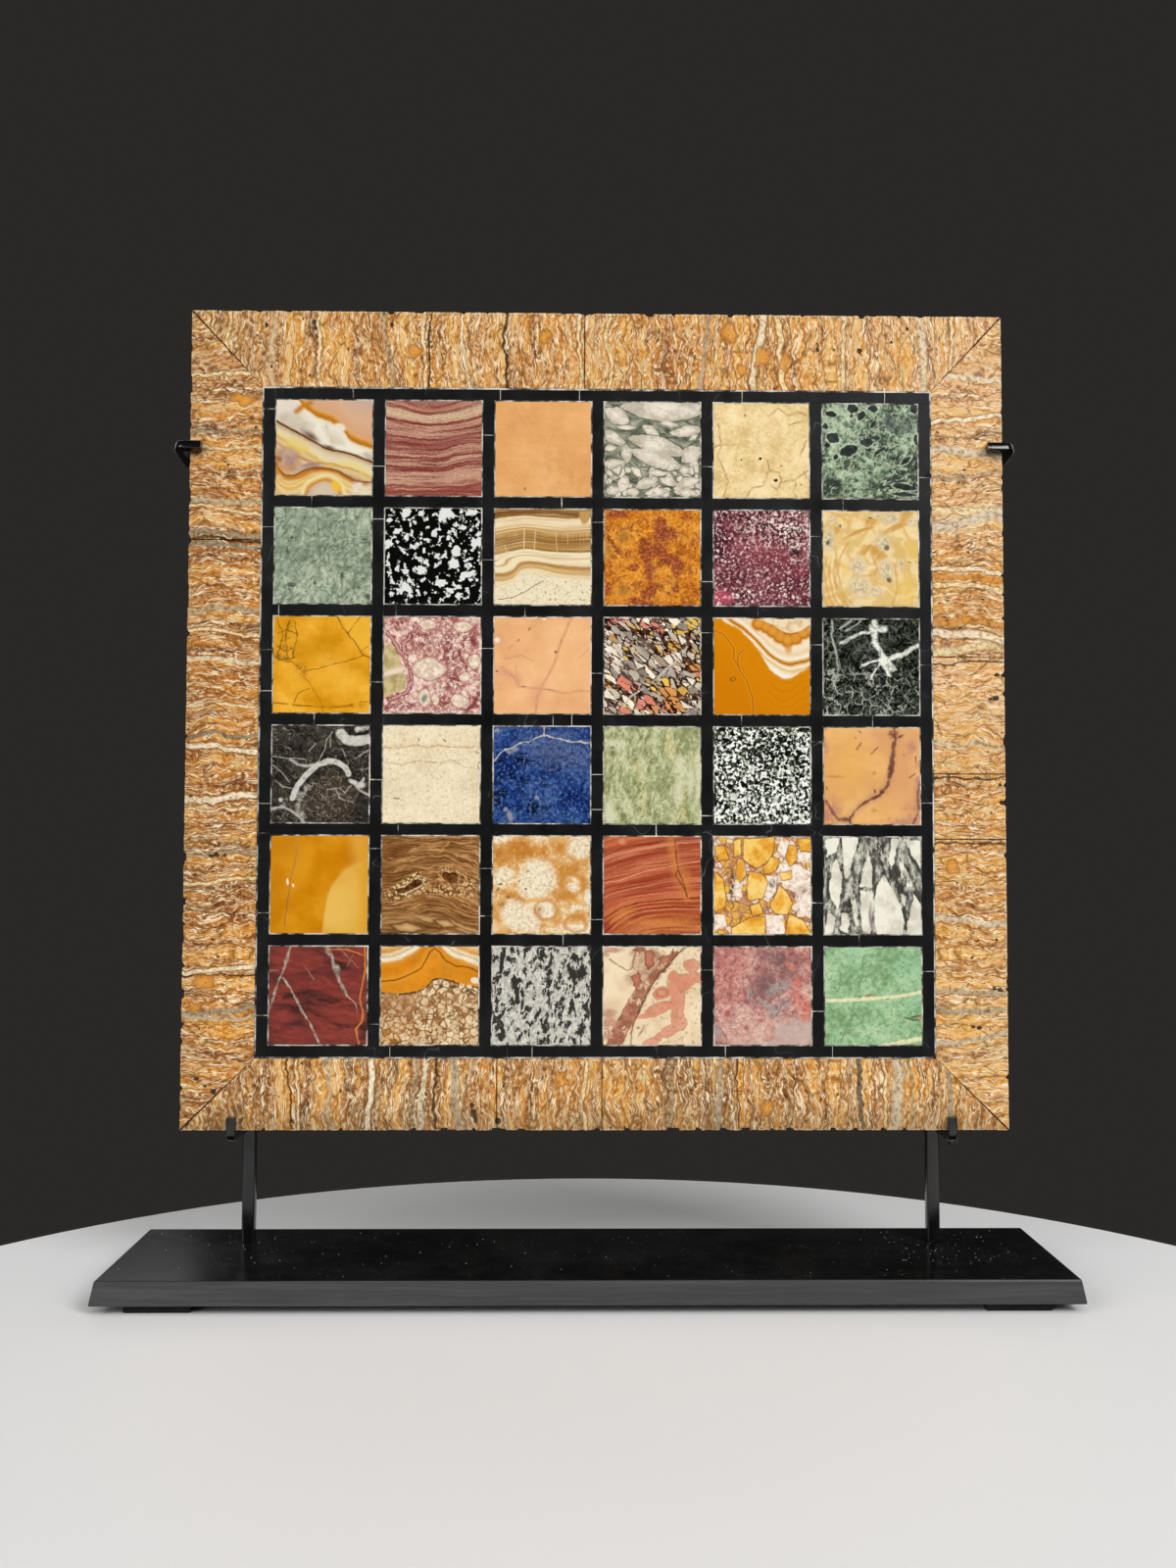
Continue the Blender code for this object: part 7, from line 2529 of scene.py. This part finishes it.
# %% Rose and violet marble
@stone
def rose_violet_marble(p):
    at = p.crooked(4.5, 0.08, 15, 0.04, 3)
    cloud = p.noise(4, 5, 0.65)
    fine = p.noise(20, 5, 0.75)
    p.colour = p.ramp(cloud * 0.5 + fine * 0.5, "42 9E625E, 47 BC7E76, 52 CE988C, 58 E2BAAA")
    p.lay("CB7E72", p.patch("12,22 20,20; 28,12 10,16 -40; 10,48 10,12", at, 0.8) * 0.55)
    p.lay("8E6662", p.patch("55,36 16,16; 72,22 16,14; 58,8 14,8; 44,50 10,8", at, 0.8) * 0.85)
    p.lay("7A5C5C", p.patch("52,40 9,8; 68,13 5,8", at, 0.8) * 0.8)
    p.lay("A39692", p.patch("66,42 13,4.5 -30; 35,50 4,7 20; 62,64 9,8 -30; 74,58 5,6; 3,88 5,8; "
            "52,58 6,4", at, 0.5) * 0.9)
    p.lay("C4AFA4", p.patch("90,86 18,14; 70,86 10,12; 60,98 30,3", at, 0.5) * 0.85)
    p.lay("CF7A66", p.patch("86,35 4.5,4.5; 92,58 7,14 -30; 84,54 3,7; 78,19 6,3 40; 93,72 5,5", at,
            0.5) * 0.85)
    p.lay("E3C0AE", p.patch("95,44 5,6; 70,50 10,1.5 -30; 30,75 16,12; 44,88 10,10; 20,94 10,5", at,
            0.8) * 0.6)
    p.lay("B85A54", p.patch("47.5,62 2.5,2; 13,68 4,3; 33,82 2,2.5; 47,75 3,2; 32,52 1.8,10 -30",
            at, 0.5) * 0.85)
    net = (p.noise(8, 4, 0.65, at=p.warp(p.grain, 5, 0.2)) - 0.5).abs()
    p.lay("945C58", net.step(0.022, 0) * p.u.step(0.75, 0.45) * 0.6)
    p.lay("EAD3C2", p.noise(16, 4, 0.7).step(0.58, 0.66) * p.patch("40,80 30,22", at, 0.9) * 0.8)
    dots = p.noise(22, 3, 0.6).step(0.535, 0.60) * p.v.step(0.95, 0.60)
    p.lay("7A464C", dots * 0.55)
    p.lay("E6BEB0", p.noise(19, 4, 0.7).step(0.55, 0.62) * 0.3)
    crack = p.vein("72,55 68,66 60,72; 40,42 36,54 40,62; 12,98 8,86 0,80", 0.012, at, 1)
    p.lay("7C6460", crack * 0.8)
    return p.finish(fine * 0.2 + 0.14)

# %% Mint-green marble
@stone
def mint_green_marble(p):
    at = p.crooked(6, 0.03, 22, 0.015, 3)
    cloud = p.noise(3, 4, 0.6)
    fine = p.noise(18, 5, 0.75)
    p.colour = p.ramp(cloud * 0.5 + fine * 0.5, "42 7C9E6E, 47 8FB484, 52 A0C598, 58 B8D2A4")
    p.lay("9CC8A2", p.patch("88,20 14,10; 95,58 10,8; 30,5 10,5", at, 0.9) * 0.7)
    flecks = p.noise(11, 4, 0.7, at=p.stretch(p.grain, 1, 2.2, -35)).step(0.58, 0.66)
    p.lay("6E8C64", flecks * 0.6)
    p.lay("587548", p.noise(30, 3, 0.7).step(0.56, 0.63) * 0.5)
    moss = p.patch("25,86 5,3 20; 32,90 3,3; 62,13 9,1.2", at, 0.8)
    p.lay("6E7F52", moss * fine.step(0.44, 0.56) * 0.8)
    haze = p.vein("40,10 38,30 33,42 28,70 16,96; 46,18 42,34; 24,62 30,66 42,84", 0.012, at, 1.2)
    p.lay("6C8A62", haze * 0.75)
    way = p.warp(p.place, 8, 0.012)
    cream = p.vein("-2,54.5 24,54 50,52.5 76,50 102,45.5", 0.036, way, 0.25, 0.15)
    foot = p.vein("56,102 74,98.5 88,95.5 102,93.5", 0.045, way, 0.3, 0.15)
    p.lay(p.ramp(fine, "40 D8D29A, 52 E8E2B8, 62 F0EACB"), cream.most(foot) * 0.95)
    p.lay("9A7C50", p.patch("45,49.2 4.5,1.4 -8; 36,51 2,0.8", way, 0.5) * 0.9)
    dark = p.vein("82,72 90,74.5 97,75; 90,72 99,70.5", 0.014, at, 1)
    p.lay("4A5238", dark * 0.9)
    p.lay("C8865A", p.patch("97,72.8 2.5,1.2", at, 0.6) * 0.9)
    return p.finish(fine * 0.15 + 0.14)

# %% [markdown]
# ## Laying the specimens
# Every square is cut and painted by the same two calls. Its arris is fine, for the mosaic was
# ground flat after it was laid.

# %% Lay the thirty-six specimens
TILE_STEP = 0.0009
SNUG = 0.00011  # the stones are pressed a little into the soft plaster
for (row, column), name in sorted(tiles.items()):
    low, high = tile_box[row, column]
    number = row * COLUMNS + column
    corners = square(low[0] - SNUG, low[2] - SNUG, high[0] + SNUG, high[2] + SNUG)
    mesh = stone_block(name, corners, low[1], high[1], TILE_STEP, edge=0.00008, chips=0.0002,
                       seed=number, arris=0.00012)
    kind = name[len("specimen_r1c1_"):]
    painting = painters[kind](Paint(name, (low[0], low[1], high[2]), TILE, number))
    show(name.replace("specimen_", "stone_"), mesh, painting, [name])
print("specimens laid:", len(tiles))

# %% [markdown]
# ## Done
